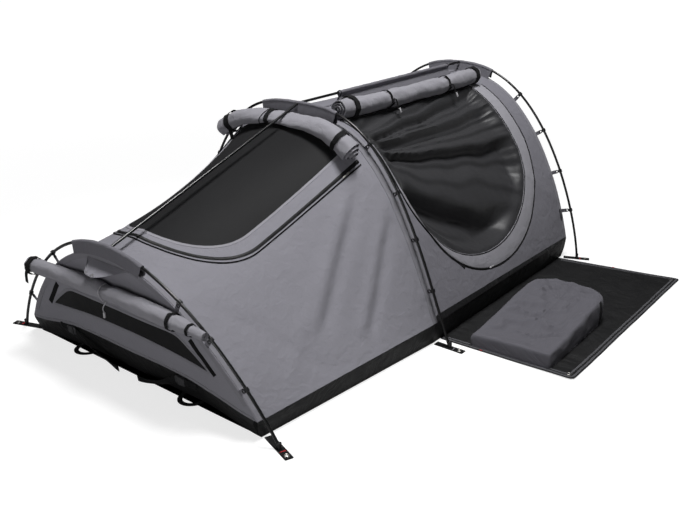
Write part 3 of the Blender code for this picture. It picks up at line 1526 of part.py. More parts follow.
def make_slider(name, section, along, across, towards, carriers):
    """A zip slider with its pull, sitting on the canvas; towards is where it points."""
    point = section.point(along, across)
    up = section.true_normal(along, across)
    run = section.point(*towards) - point
    run = (run - up * run.dot(up)).normalized()
    side = up.cross(run)
    half = SLIDER_WIDTH / 2.0
    start = point - run * SLIDER_LENGTH / 2.0
    end = point + run * (SLIDER_LENGTH / 2.0 + PULL_LENGTH)
    rows = [[middle - side * half, middle, middle + side * half] for middle in (start, end)]
    low = -min(settle(rows, [up, up], surface_tree(*carriers)))
    mesh_data = bmesh.new()
    rings = []
    for share, width_share, height_share in ((-0.5, 0.6, 0.55), (-0.2, 1.0, 1.0), (0.2, 1.0, 1.0),
                                             (0.5, 0.7, 0.55)):
        half = SLIDER_WIDTH / 2.0 * width_share
        high = low + SLIDER_HEIGHT * height_share
        centre = point + run * SLIDER_LENGTH * share
        rings.append([centre + side * half + up * low, centre + side * half + up * high,
                      centre - side * half + up * high, centre - side * half + up * low])
    tail = SLIDER_LENGTH / 2.0
    for reach, width_share in ((0.0, 0.45), (0.7, 0.6), (1.0, 0.35)):
        half = SLIDER_WIDTH / 2.0 * width_share
        centre = point + run * (tail + PULL_LENGTH * reach)
        high = low + PULL_THICKNESS
        rings.append([centre + side * half + up * low, centre + side * half + up * high,
                      centre - side * half + up * high, centre - side * half + up * low])
    skin_rings(mesh_data, rings)
    made = finish_object(name, mesh_data, moulded_material, 30.0)
    move_origin(made, point + up * low)


def make_sliders():
    """The sliders of the top window's and the door's outer zips."""
    make_slider("top_zip_slider", FOOT_SECTION, WINDOW_SLIDER_SHARE, -WINDOW_SLIDER_SIDE_SHARE,
                (WINDOW_KNEE_SHARE, -WINDOW_SLIDER_SIDE_SHARE), ["foot_canopy"])
    make_slider("door_zip_slider", HEAD_SECTION, DOOR_SLIDER_SHARE, -DOOR_SLIDER_SIDE_SHARE,
                (DOOR_CENTRE_SHARE, -DOOR_SLIDER_SIDE_SHARE), ["head_canopy"])


# Ground mat and gear bag

def mat_frame():
    """The mat's hinge line on the floor's near edge: its start, its direction and outwards."""
    one = tub_side(HEAD_SECTION, -1.0)[0][1]
    two = tub_side(HEAD_SECTION, -1.0)[-1][1]
    along = (two - one).normalized()
    out = Vector((along.y, -along.x, 0.0))
    start = one + along * (MAT_FOOT_X - one.x) / along.x + out * MAT_HINGE_GAP
    return start, along, out


def make_ground_mat():
    """The coated mat on the ground in front of the door."""
    start, along, out = mat_frame()
    length = (MAT_HEAD_X - MAT_FOOT_X) / along.x
    corners = [(0.0, 0.0), (0.0, MAT_WIDTH), (length + MAT_HEAD_FLARE, MAT_HEAD_WIDTH),
               (length, 0.0)]
    tight = MAT_CORNER / 5.0
    outline = round_corners(corners, [tight, MAT_CORNER, MAT_CORNER, tight], 3)

    def place(run, reach):
        point = start + along * run + out * reach
        return Vector((point.x, point.y, MAT_THICKNESS / 2.0)), Vector((0.0, 0.0, 1.0))
    made = make_sheet("ground_mat", outline, [], [], place, MAT_THICKNESS, coated_material)
    move_origin(made, start + Vector((0.0, 0.0, MAT_THICKNESS)))


def make_gear_bag():
    """The canvas gear bag lying on the mat: square at one end and rounded at the other."""
    start, along, out = mat_frame()
    low = MAT_THICKNESS + TOUCH_GAP
    first = BAG_FOOT_X - start.x
    radii = [BAG_SQUARE_ROUND, BAG_ROUND_END, BAG_ROUND_END, BAG_SQUARE_ROUND]
    rings = []
    for rise, inset in zip(BAG_RISE_SHARES, BAG_INSETS):
        corners = [(first + inset, BAG_SET_OFF + inset),
                   (first + BAG_LENGTH - inset, BAG_SET_OFF + inset),
                   (first + BAG_LENGTH - inset, BAG_SET_OFF + BAG_WIDTH - inset),
                   (first + inset, BAG_SET_OFF + BAG_WIDTH - inset)]
        ring = []
        for run, reach in round_corners(corners, radii, 4):
            point = start + along * run + out * reach
            height = blend(BAG_SQUARE_HEIGHT, BAG_ROUND_HEIGHT, (run - first) / BAG_LENGTH)
            ring.append(Vector((point.x, point.y, low + height * rise)))
        rings.append(ring)
    mesh_data = bmesh.new()
    skin_rings(mesh_data, rings)
    finish_object("gear_bag", mesh_data, canvas_material, 40.0)


def clear_scene():
    """Start from an empty scene."""
    for item in list(bpy.data.objects):
        bpy.data.objects.remove(item, do_unlink=True)


def main():
    """Build every piece of the bedroll."""
    clear_scene()
    make_tub_floor()
    make_mattress()
    make_canopies()
    make_end_walls()
    make_top_window_mesh()
    make_door_mesh()
    for title, arch in (("foot", FOOT), ("mid", MID), ("head", HEAD)):
        make_arch_pole(f"{title}_arch_pole", arch)
    make_arch_sleeve("foot_arch_sleeve", FOOT, None, FOOT_SECTION,
                     ["foot_canopy", "foot_end_wall"])
    make_arch_sleeve("mid_arch_sleeve", MID, FOOT_SECTION, HEAD_SECTION,
                     ["foot_canopy", "head_canopy"])
    make_arch_sleeve("head_arch_sleeve", HEAD, HEAD_SECTION, None,
                     ["head_canopy", "head_end_wall"])
    make_ridge_pole("ridge_pole_foot", FOOT_SECTION, "foot_arch_sleeve", "mid_arch_sleeve")
    make_ridge_pole("ridge_pole_head", HEAD_SECTION, "mid_arch_sleeve", "head_arch_sleeve")
    make_ridge_sleeve()
    make_clips()
    make_top_window_roll()
    make_door_roll()
    make_foot_window_roll()
    make_vent_hood()
    make_anchor_tabs()
    make_buckle("far", BUCKLE_Y_FAR, -1.0)
    make_buckle("near", BUCKLE_Y_NEAR, 1.0)
    make_carry_handle("carry_handle_far", BUCKLE_Y_FAR)
    make_carry_handle("carry_handle_near", BUCKLE_Y_NEAR)
    make_sliders()
    make_ground_mat()
    make_gear_bag()


main()
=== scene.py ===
"""Looks of the swag bedroll: cloth, poles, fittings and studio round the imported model."""

from __future__ import annotations

import logging
import math
from dataclasses import dataclass, field
from enum import Enum
from functools import cached_property
from typing import Callable, Iterable, Sequence

import bmesh
import bpy
import numpy as np
from mathutils import Matrix, Vector
from mathutils.geometry import delaunay_2d_cdt


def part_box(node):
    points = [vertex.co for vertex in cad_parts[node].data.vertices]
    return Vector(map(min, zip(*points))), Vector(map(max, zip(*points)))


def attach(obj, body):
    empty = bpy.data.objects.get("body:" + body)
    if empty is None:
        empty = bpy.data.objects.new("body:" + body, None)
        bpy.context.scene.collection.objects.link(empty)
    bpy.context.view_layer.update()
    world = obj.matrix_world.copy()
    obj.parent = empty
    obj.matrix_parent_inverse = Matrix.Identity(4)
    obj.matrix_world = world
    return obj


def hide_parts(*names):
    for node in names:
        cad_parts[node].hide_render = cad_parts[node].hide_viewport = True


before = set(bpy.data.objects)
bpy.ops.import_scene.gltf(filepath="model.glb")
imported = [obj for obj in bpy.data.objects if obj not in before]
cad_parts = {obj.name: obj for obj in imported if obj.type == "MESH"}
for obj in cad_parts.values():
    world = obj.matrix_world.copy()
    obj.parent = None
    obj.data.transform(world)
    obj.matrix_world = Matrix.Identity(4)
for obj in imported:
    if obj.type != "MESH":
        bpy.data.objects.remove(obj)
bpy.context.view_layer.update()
LOG = logging.getLogger("bedroll")

# Sizes shared by many pieces, in metres

CANVAS_THICKNESS = 0.0020
MESH_THICKNESS = 0.0012
TOUCH_GAP = 0.0003
POLE_RADIUS = 0.0055

# Steps for measuring directions: shares of an arch, and metres of cloth

POLE_STEP = 0.002
EDGE_STEP = 0.004
CLOTH_STEP = 0.0015
HALVINGS = 40
AT_A_TIME = 2000  # flat points measured at once, to spare memory


class Slot(Enum):
    """The record's material slots."""

    CANVAS = "canvas"
    COATED = "coated_fabric"
    MESH = "insect_mesh"
    LACQUER = "pole_lacquer"
    MOULDED = "moulded_black"
    WEBBING = "webbing"
    COVER = "mattress_cover"


class Body(Enum):
    """The bodies that pieces ride on."""

    SHELTER = "shelter"
    HOOD = "vent_hood"
    PLUG_FAR = "buckle_plug_far"
    PLUG_NEAR = "buckle_plug_near"
    HANDLE_FAR = "carry_handle_far"
    HANDLE_NEAR = "carry_handle_near"
    TOP_SLIDER = "top_zip_slider"
    DOOR_SLIDER = "door_zip_slider"
    MAT = "ground_mat"
    BAG = "gear_bag"


# Numbers and lines

Numbers = float | np.ndarray
GOLDEN_ANGLE = 2.399
FULL_TURN = 6.283
RIPPLE_WAVES = 6


def blend(start: Numbers, end: Numbers, share: Numbers) -> Numbers:
    """Straight mix of two values or arrays."""
    return start + (end - start) * share


def ease(share: Numbers) -> Numbers:
    """Smooth step from 0 to 1, for numbers and arrays."""
    share = np.clip(share, 0.0, 1.0)
    return share * share * (3.0 - 2.0 * share)


def unit(rows: np.ndarray) -> np.ndarray:
    """Rows of vectors brought to length one."""
    return rows / np.maximum(np.linalg.norm(rows, axis=-1, keepdims=True), 1e-12)


def reach_along(line: np.ndarray) -> np.ndarray:
    """Distance of each point of a line from its start."""
    return np.concatenate([[0.0], np.cumsum(np.linalg.norm(np.diff(line, axis=0), axis=1))])


def flat_grid(run: np.ndarray, aside: np.ndarray) -> np.ndarray:
    """Flat points of a grid, from places along the cloth and places across it."""
    return np.stack(np.broadcast_arrays(run[:, None], aside[None, :]), axis=-1)


def ripple(one: Numbers, two: Numbers, seed: float) -> np.ndarray:
    """
    A smooth, lively relief between about -1 and 1, the same at every run.

    Args:
        one: First coordinate, about one unit for one wrinkle.
        two: Second coordinate.
        seed: Shifts the relief, so that no two cloths are alike.

    Returns:
        The height at each point.
    """
    total = np.zeros_like(np.asarray(one, dtype=float))
    for index in range(RIPPLE_WAVES):
        turn = seed * 1.7 + index * GOLDEN_ANGLE
        pitch = 0.55 + 0.42 * index
        place = one * math.cos(turn) + two * math.sin(turn)
        total = total + np.sin(pitch * place * FULL_TURN + seed * (index + 1.3)) / (1.0 + index)
    return total / 1.9


# The arches and the canvas between them

@dataclass(frozen=True)
class Arch:
    """One bent pole, standing in a plane that leans back, and the canvas edge inside it."""

    x: float
    setback: float
    half_span: float
    height: float
    side_power: float
    top_power: float
    crown_standoff: float
    shoulder_standoff: float
    rim_standoff: float
    rim_height: float

    def in_plane(self, y: Numbers, z: Numbers) -> np.ndarray:
        """Points of the leaning plane at these widths and heights."""
        y, z = np.broadcast_arrays(np.asarray(y, float), np.asarray(z, float))
        return np.stack([self.x - self.setback * z / self.height, y, z], axis=-1)

    @cached_property
    def plane_normal(self) -> np.ndarray:
        """Unit normal of the leaning plane, towards the foot end."""
        return unit(np.array([-1.0, 0.0, -self.setback / self.height]))

    def pole_point(self, turn: Numbers) -> np.ndarray:
        """
        Points on the pole's centre line.

        Args:
            turn: Place on the pole, -1 at the near foot and 1 at the far one.

        Returns:
            The points.
        """
        turn = np.asarray(turn, float)
        width = np.sin(np.minimum(np.abs(turn), 1.0) * math.pi / 2.0)
        rise = np.maximum(0.0, 1.0 - width ** self.side_power) ** (1.0 / self.top_power)
        return self.in_plane(np.sign(turn) * self.half_span * width, self.height * rise)

    def pole_normal(self, turn: Numbers) -> np.ndarray:
        """
        Unit normals of the pole's curve, pointing away from the tent.

        Args:
            turn: Place on the pole.

        Returns:
            The directions.
        """
        turn = np.asarray(turn, float)
        along = (self.pole_point(np.minimum(1.0, turn + POLE_STEP))
                 - self.pole_point(np.maximum(-1.0, turn - POLE_STEP)))
        return unit(np.cross(along, self.plane_normal))

    def standoff(self, turn: Numbers) -> np.ndarray:
        """
        Distances from the pole in to the canvas.

        Args:
            turn: Place on the pole.

        Returns:
            The distances, eased from the crown by way of the shoulder to the rim.
        """
        side = np.abs(np.asarray(turn, float))
        upper = blend(self.crown_standoff, self.shoulder_standoff, ease(side * 2.0))
        lower = blend(self.shoulder_standoff, self.rim_standoff, ease(side * 2.0 - 1.0))
        return np.where(side < 0.5, upper, lower)

    def canvas_at_turn(self, turn: Numbers) -> np.ndarray:
        """Canvas points opposite the pole points."""
        turn = np.asarray(turn, float)
        return self.pole_point(turn) - self.pole_normal(turn) * self.standoff(turn)[..., None]

    @cached_property
    def rim_turn(self) -> float:
        """
        The turn where the canvas comes down to the floor's rim, found by halving.

        Returns:
            The turn.
        """
        low, high = 0.3, 0.99
        for _ in range(HALVINGS):
            middle = (low + high) / 2.0
            if self.canvas_at_turn(middle)[2] > self.rim_height:
                low = middle
            else:
                high = middle
        return (low + high) / 2.0

    def canvas(self, across: Numbers) -> np.ndarray:
        """Canvas edge: across is -1 at the near rim, 0 at the ridge and 1 at the far rim."""
        return self.canvas_at_turn(np.asarray(across, float) * self.rim_turn)

    def canvas_normal(self, across: Numbers) -> np.ndarray:
        """Unit normals of the canvas edge in the arch's plane, pointing out."""
        across = np.asarray(across, float)
        along = self.canvas(across + EDGE_STEP) - self.canvas(across - EDGE_STEP)
        return unit(np.cross(along, self.plane_normal))


FOOT = Arch(-1.105, 0.078, 0.715, 0.536, 2.01, 1.141, 0.040, 0.040, 0.044, 0.070)
MID = Arch(-0.170, 0.036, 0.752, 0.879, 2.957, 0.874, 0.050, 0.028, 0.028, 0.090)
HEAD = Arch(1.088, 0.060, 0.712, 0.919, 2.403, 1.362, 0.042, 0.048, 0.052, 0.092)
FOOT_RIDGE_SIDE = 0.030


@dataclass(frozen=True)
class Section:
    """The canvas stretched between two arches."""

    foot_side: Arch
    head_side: Arch
    sag: float

    def edge_normal(self, along: Numbers, across: Numbers) -> np.ndarray:
        """Directions in which the cloth has its thickness."""
        return unit(blend(self.foot_side.canvas_normal(across),
                          self.head_side.canvas_normal(across),
                          np.asarray(along, float)[..., None]))

    def point(self, along: Numbers, across: Numbers) -> np.ndarray:
        """
        Points of the canvas.

        Args:
            along: 0 at the foot-side arch and 1 at the head-side one.
            across: -1 at the near rim, 0 at the ridge and 1 at the far rim.

        Returns:
            The points, sunk between the arches by the sag.
        """
        along, across = np.asarray(along, float), np.asarray(across, float)
        bow = (self.sag * 4.0 * along * (1.0 - along)
               * np.sin(math.pi * np.minimum(1.0, np.abs(across))))
        flat = blend(self.foot_side.canvas(across), self.head_side.canvas(across),
                     along[..., None])
        return flat - self.edge_normal(along, across) * bow[..., None]

    @cached_property
    def length(self) -> float:
        """Length of the ridge."""
        return float(np.linalg.norm(self.head_side.canvas(0.0) - self.foot_side.canvas(0.0)))

    @cached_property
    def girth(self) -> float:
        """Mean length of cloth from the ridge down to the rim."""
        shares = np.linspace(0.0, 1.0, 17)
        return sum(float(np.linalg.norm(np.diff(arch.canvas(shares), axis=0), axis=1).sum())
                   for arch in (self.foot_side, self.head_side)) / 2.0


FOOT_SECTION = Section(FOOT, MID, 0.070)
HEAD_SECTION = Section(MID, HEAD, 0.020)
HEAD_SEAM = HEAD.rim_height
SIDES = (("near", -1.0), ("far", 1.0))


# Surfaces that cloth and trimmings are laid on

class Surface:
    """A form on which a flat pattern is laid; flat points are in metres of cloth."""

    def base(self, flat: np.ndarray) -> tuple[np.ndarray, np.ndarray]:
        """Points of the bare form and the directions of the cloth's thickness."""
        raise NotImplementedError

    def relief(self, flat: np.ndarray) -> np.ndarray:
        """Height of folds and creases over the bare form."""
        return np.zeros(flat.shape[:-1])

    def at(self, flat: np.ndarray) -> np.ndarray:
        """Points of the cloth with its folds."""
        points, outwards = self.base(flat)
        return points + outwards * self.relief(flat)[..., None]

    def normal(self, flat: np.ndarray) -> np.ndarray:
        """
        True outward normals of the cloth with its folds.

        Args:
            flat: Points in metres of cloth.

        Returns:
            The directions.
        """
        step = np.array([CLOTH_STEP, 0.0])
        aside = step[::-1]
        run = self.at(flat + step) - self.at(flat - step)
        climb = self.at(flat + aside) - self.at(flat - aside)
        normals = unit(np.cross(run, climb))
        _, outwards = self.base(flat)
        return normals * np.sign(np.sum(normals * outwards, axis=-1, keepdims=True))


@dataclass(frozen=True)
class Crease:
    """A soft fold that runs from one flat point to another."""

    start: tuple[float, float]
    end: tuple[float, float]
    width: float
    height: float
    fade: float = 0.25
    left_at_end: float = 0.4

    def relief(self, flat: np.ndarray) -> np.ndarray:
        """
        Height of the fold, fading out at its ends.

        Args:
            flat: Points in metres of cloth.

        Returns:
            The heights.
        """
        start = np.array(self.start)
        line = np.array(self.end) - start
        share = (flat - start) @ line / float(line @ line)
        aside = np.linalg.norm(flat - start - share[..., None] * line, axis=-1)
        fade = (ease(share / self.fade + self.left_at_end)
                * ease((1.0 - share) / self.fade + self.left_at_end))
        return self.height * fade * np.exp(-(aside / self.width) ** 2)


def creased(creases: Sequence[Crease], flat: np.ndarray, total: np.ndarray) -> np.ndarray:
    """Heights with the creases added to them."""
    for crease in creases:
        total = total + crease.relief(flat)
    return total


@dataclass(frozen=True)
class CanopySurface(Surface):
    """Canvas over one section, with tension lines at the clips and soft folds."""

    section: Section
    creases: tuple[Crease, ...] = ()
    foot_clips: tuple[float, ...] = ()
    head_clips: tuple[float, ...] = ()
    seed: float = 1.0
    clip_pull: float = 0.0030
    clip_reach: float = 0.055
    breath: float = 0.0011
    wave: tuple[float, float] = (0.30, 0.24)
    edge_fade: float = 0.03
    pull_fade: float = 0.01
    pull_width: float = 0.010
    pull_spread: float = 0.30
    lift: float = 0.0

    def shares(self, flat: np.ndarray) -> tuple[np.ndarray, np.ndarray]:
        """Shares of the section's length and girth."""
        return flat[..., 0] / self.section.length, flat[..., 1] / self.section.girth

    def base(self, flat: np.ndarray) -> tuple[np.ndarray, np.ndarray]:
        """The stretched canvas without folds."""
        along, across = self.shares(flat)
        return self.section.point(along, across), self.section.edge_normal(along, across)

    def relief(self, flat: np.ndarray) -> np.ndarray:
        """
        Folds of the canvas.

        Args:
            flat: Points in metres of cloth, from the foot-side arch and from the ridge.

        Returns:
            Heights over the stretched form.
        """
        along, across = self.shares(flat)
        edge = (ease(along / self.edge_fade) * ease((1.0 - along) / self.edge_fade)
                * ease((1.0 - np.abs(across)) / self.edge_fade))
        total = self.breath * ripple(flat[..., 0] / self.wave[0], flat[..., 1] / self.wave[1],
                                     self.seed)
        total = creased(self.creases, flat, total)
        pull = np.zeros(flat.shape[:-1])
        for distance, clips, arch in ((flat[..., 0], self.foot_clips, self.section.foot_side),
                                      (self.section.length - flat[..., 0], self.head_clips,
                                       self.section.head_side)):
            for turn in clips:
                place = turn / arch.rim_turn * self.section.girth
                width = self.pull_width + self.pull_spread * np.abs(distance)
                aside = (np.abs(flat[..., 1]) - place) / width
                pull = pull + np.exp(-aside ** 2) * np.exp(-np.abs(distance) / self.clip_reach)
        pull = self.clip_pull * pull * ease(along / self.pull_fade)
        pull = pull * ease((1.0 - along) / self.pull_fade)
        return total * edge + pull + self.lift


@dataclass(frozen=True)
class WallSurface(Surface):
    """Canvas wall on an arch's leaning plane; flat points are widths and heights."""

    arch: Arch
    side: float
    creases: tuple[Crease, ...] = ()
    seed: float = 2.0
    breath: float = 0.0012
    wave: tuple[float, float] = (0.22, 0.13)

    def base(self, flat: np.ndarray) -> tuple[np.ndarray, np.ndarray]:
        """The plain wall, just outside the canopy's edge."""
        outwards = np.broadcast_to(self.arch.plane_normal * self.side, flat.shape[:-1] + (3,))
        offset = TOUCH_GAP + CANVAS_THICKNESS / 2.0
        return self.arch.in_plane(flat[..., 0], flat[..., 1]) + outwards * offset, outwards

    def relief(self, flat: np.ndarray) -> np.ndarray:
        """Small waves and the creases of the wall."""
        total = self.breath * ripple(flat[..., 0] / self.wave[0], flat[..., 1] / self.wave[1],
                                     self.seed)
        return creased(self.creases, flat, total)


# Meshes

def finish_mesh(name: str, points: np.ndarray, faces: Sequence[Sequence[int]],
                flat: np.ndarray | None = None, smooth_degrees: float = 50.0,
                outwards: bool = True) -> bpy.types.Object:
    """
    Make an object from points and faces.

    Args:
        name: Name of the piece.
        points: Corners, three numbers each.
        faces: Rows of corner numbers.
        flat: Position of each corner on the flat cloth in metres, kept as the UV map.
        smooth_degrees: Edges sharper than this stay sharp.
        outwards: Whether the faces are turned outwards afterwards.

    Returns:
        The object, linked to the scene.
    """
    mesh = bpy.data.meshes.new(name)
    mesh.from_pydata([tuple(point) for point in np.asarray(points)], [], faces)
    if flat is not None:
        layer = mesh.uv_layers.new(name="cloth")
        corners = np.empty(len(mesh.loops), dtype=np.int32)
        mesh.loops.foreach_get("vertex_index", corners)
        layer.data.foreach_set("uv", np.asarray(flat, dtype=np.float32)[corners].ravel())
    if outwards:
        work = bmesh.new()
        work.from_mesh(mesh)
        bmesh.ops.recalc_face_normals(work, faces=work.faces)
        work.to_mesh(mesh)
        work.free()
    mesh.shade_smooth()
    mesh.set_sharp_from_angle(angle=math.radians(smooth_degrees))
    made = bpy.data.objects.new(name, mesh)
    bpy.context.scene.collection.objects.link(made)
    return made


def skin(name: str, grid: np.ndarray, flat: np.ndarray | None = None, loop: bool = False,
         paired_caps: bool = True, smooth_degrees: float = 50.0) -> bpy.types.Object:
    """
    Skin rings of points into a closed body.

    Args:
        name: Name of the piece.
        grid: Rings of points, as rings by points by three numbers.
        flat: Cloth position of each point, as rings by points by two numbers.
        loop: Whether the last ring joins the first one.
        paired_caps: Close an end with strips between both halves of the ring, not with one face.
        smooth_degrees: Edges sharper than this stay sharp.

    Returns:
        The object.
    """
    rings, count = grid.shape[:2]
    faces = []
    for ring in range(rings if loop else rings - 1):
        ahead = (ring + 1) % rings
        for index in range(count):
            following = (index + 1) % count
            faces.append((ring * count + index, ring * count + following,
                          ahead * count + following, ahead * count + index))
    if not loop:
        for start in (0, (rings - 1) * count):
            if paired_caps:
                for index in range(count // 2 - 1):
                    faces.append((start + index, start + index + 1,
                                  start + count - 2 - index, start + count - 1 - index))
            else:
                faces.append(tuple(range(start, start + count)))
    corners = None if flat is None else flat.reshape(-1, 2)
    return finish_mesh(name, grid.reshape(-1, 3), faces, corners, smooth_degrees)


def inside(points: np.ndarray, loop: np.ndarray) -> np.ndarray:
    """
    Which flat points lie inside a closed loop.

    Args:
        points: The flat points.
        loop: Corners of the loop.

    Returns:
        True or False for each point.
    """
    hit = np.zeros(len(points), dtype=bool)
    before = np.roll(loop, 1, axis=0)
    for one, two in zip(loop, before):
        crosses = (one[1] > points[:, 1]) != (two[1] > points[:, 1])
        if not crosses.any():
            continue
        reach = one[0] + (points[:, 1] - one[1]) * (two[0] - one[0]) / (two[1] - one[1] + 1e-15)
        hit ^= crosses & (points[:, 0] < reach)
    return hit


def resample(line: np.ndarray, step: float, closed: bool = False) -> np.ndarray:
    """
    Points at an even distance along a flat or solid line.

    Args:
        line: Corners of the line.
        step: Wanted distance between points.
        closed: Whether the line returns to its start.

    Returns:
        The new points; a closed line doesn't repeat its first one.
    """
    corners = np.vstack([line, line[:1]]) if closed else np.asarray(line, float)
    reach = reach_along(corners)
    count = max(3, int(round(reach[-1] / step)))
    wanted = np.linspace(0.0, reach[-1], count + 1)[:count if closed else None]
    return columns_at(wanted, reach, corners)


def columns_at(wanted: np.ndarray, known: np.ndarray, rows: np.ndarray) -> np.ndarray:
    """Rows read off between known places, column by column."""
    return np.stack([np.interp(wanted, known, rows[:, axis]) for axis in range(rows.shape[1])],
                    axis=-1)


def fill(outline: np.ndarray, holes: Sequence[np.ndarray], step: float) -> np.ndarray:
    """
    Staggered points inside an outline, outside its holes and clear of all borders.

    Args:
        outline: The outer border.
        holes: Borders of the openings.
        step: Distance between the points.

    Returns:
        The flat points.
    """
    low, high = outline.min(axis=0), outline.max(axis=0)
    rows = np.arange(low[1], high[1], step * math.sqrt(3.0) / 2.0)
    found = []
    for number, height in enumerate(rows):
        runs = np.arange(low[0] + (step / 2.0 if number % 2 else 0.0), high[0], step)
        found.append(np.stack([runs, np.full_like(runs, height)], axis=1))
    points = np.vstack(found)
    points = points[inside(points, outline)]
    for hole in holes:
        points = points[~inside(points, hole)]
    borders = np.vstack([outline, *holes])
    kept = []
    for start in range(0, len(points), AT_A_TIME):
        part = points[start:start + AT_A_TIME]
        nearest = ((part[:, None, :] - borders[None, :, :]) ** 2).sum(axis=2).min(axis=1)
        kept.append(part[nearest > (0.55 * step) ** 2])
    return np.vstack(kept)


def lay_cloth(name: str, surface: Surface, outline: np.ndarray, holes: Sequence[np.ndarray],
              step: float, thickness: float) -> tuple[bpy.types.Object, float]:
    """
    Cut a flat pattern and lay it on a surface as one sheet of cloth.

    Args:
        name: Name of the piece.
        surface: What the cloth is laid on.
        outline: Border of the cut, in metres of cloth.
        holes: Borders of its openings.
        step: Distance between the points of the cloth.
        thickness: Thickness of the cloth.

    Returns:
        The sheet and its flat area in square metres.
    """
    loops = [resample(outline, step, closed=True)]
    loops += [resample(hole, step * 0.7, closed=True) for hole in holes]
    edges, start = [], 0
    for loop in loops:
        count = len(loop)
        edges += [(start + index, start + (index + 1) % count) for index in range(count)]
        start += count
    flat = np.vstack([*loops, fill(loops[0], loops[1:], step)])
    points, _, faces, _, _, _ = delaunay_2d_cdt([Vector(point) for point in flat], edges, [], 0,
                                                0.00001)
    flat = np.array([tuple(point) for point in points])
    faces = np.array(faces)
    middles = flat[faces].mean(axis=1)
    keep = inside(middles, loops[0])
    for loop in loops[1:]:
        keep &= ~inside(middles, loop)
    faces = faces[keep]
    used, inverse = np.unique(faces, return_inverse=True)
    flat, faces = flat[used], inverse.reshape(-1, 3)
    one, two, three = (flat[faces[:, corner]] for corner in range(3))
    area = float(np.abs(np.cross(two - one, three - one)).sum()) / 2
    middle = surface.at(flat)
    half = surface.base(flat)[1] * thickness / 2.0
    count = len(flat)
    shell = np.vstack([middle + half, middle - half])
    border = {(a, b) for face in faces.tolist() for a, b in zip(face, face[1:] + face[:1])}
    rim = [(b, a, a + count, b + count) for a, b in border if (b, a) not in border]
    sides = [tuple(face) for face in faces.tolist()]
    sides += [tuple(count + index for index in reversed(face)) for face in faces.tolist()]
    return finish_mesh(name, shell, sides + rim, np.vstack([flat, flat]), 70.0), area


def ribbon(name: str, surface: Surface, line: np.ndarray, profile: Sequence[tuple[float, float]],
           closed: bool = False, step: float = 0.008, sink: float = 0.0006,
           smooth_degrees: float = 50.0) -> bpy.types.Object:
    """
    Lay a strip with a raised profile along a line on a surface.

    Args:
        name: Name of the piece.
        surface: What it lies on, with its folds.
        line: The strip's middle, in metres of cloth.
        profile: Offsets to the side and heights over the cloth, from one edge to the other.
        closed: Whether the line returns to its start.
        step: Distance between the strip's rings.
        sink: How far its underside goes into the cloth.
        smooth_degrees: Edges sharper than this stay sharp.

    Returns:
        The strip.
    """
    path = resample(line, step, closed)
    if closed:
        ahead = np.roll(path, -1, axis=0) - np.roll(path, 1, axis=0)
    else:
        ahead = np.gradient(path, axis=0)
    ahead = unit(ahead)
    aside = np.stack([-ahead[:, 1], ahead[:, 0]], axis=1)
    full = list(profile) + [(offset, -sink) for offset, _ in reversed(profile)]
    offsets, heights = np.array(full).T
    places = path[:, None, :] + aside[:, None, :] * offsets[None, :, None]
    lifts = (heights + CANVAS_THICKNESS / 2.0)[None, :, None]
    grid = surface.at(places) + surface.normal(places) * lifts
    return skin(name, grid, flat_grid(reach_along(path), offsets), closed, True, smooth_degrees)


def tube(name: str, points: np.ndarray, radius: float, sides: int = 12, closed: bool = False,
         taper: Sequence[float] | None = None) -> bpy.types.Object:
    """
    Draw a round bar, cord or wire along a line.

    Args:
        name: Name of the piece.
        points: Points of its middle.
        radius: Its radius.
        sides: How many faces go round it.
        closed: Whether it is a ring.
        taper: Share of the radius at each point.

    Returns:
        The bar as a mesh, with a UV map of its length and girth.
    """
    points = np.asarray(points, float)
    if closed:
        ahead = unit(np.roll(points, -1, axis=0) - np.roll(points, 1, axis=0))
    else:
        ahead = unit(np.gradient(points, axis=0))
    first = np.cross(ahead[0], [0.0, 0.0, 1.0])
    if np.linalg.norm(first) < 0.1:
        first = np.cross(ahead[0], [0.0, 1.0, 0.0])
    sideways = []
    for direction in ahead:
        first = unit(first - direction * float(first @ direction))
        sideways.append(first)
    sideways = np.array(sideways)
    second = np.cross(ahead, sideways)
    angles = np.linspace(0.0, 2.0 * math.pi, sides, endpoint=False)
    shares = np.ones(len(points)) if taper is None else np.asarray(taper, float)
    round_it = (sideways[:, None, :] * np.cos(angles)[None, :, None]
                + second[:, None, :] * np.sin(angles)[None, :, None])
    grid = points[:, None, :] + round_it * (radius * shares)[:, None, None]
    return skin(name, grid, flat_grid(reach_along(points), angles * radius), closed, False, 40.0)


def bent(points: Sequence[Sequence[float]], step: float = 0.004) -> np.ndarray:
    """
    A smooth curve through some points.

    Args:
        points: Points that the curve passes.
        step: Distance between the curve's points.

    Returns:
        Points of the curve.
    """
    corners = np.asarray(points, float)
    padded = np.vstack([2 * corners[0] - corners[1], corners, 2 * corners[-1] - corners[-2]])
    found = []
    for index in range(len(corners) - 1):
        one, two, three, four = padded[index:index + 4]
        for share in np.linspace(0.0, 1.0, 12, endpoint=False):
            found.append(0.5 * (2 * two + (three - one) * share
                                + (2 * one - 5 * two + 4 * three - four) * share ** 2
                                + (3 * two - one - 3 * three + four) * share ** 3))
    found.append(corners[-1])
    return resample(np.array(found), step)


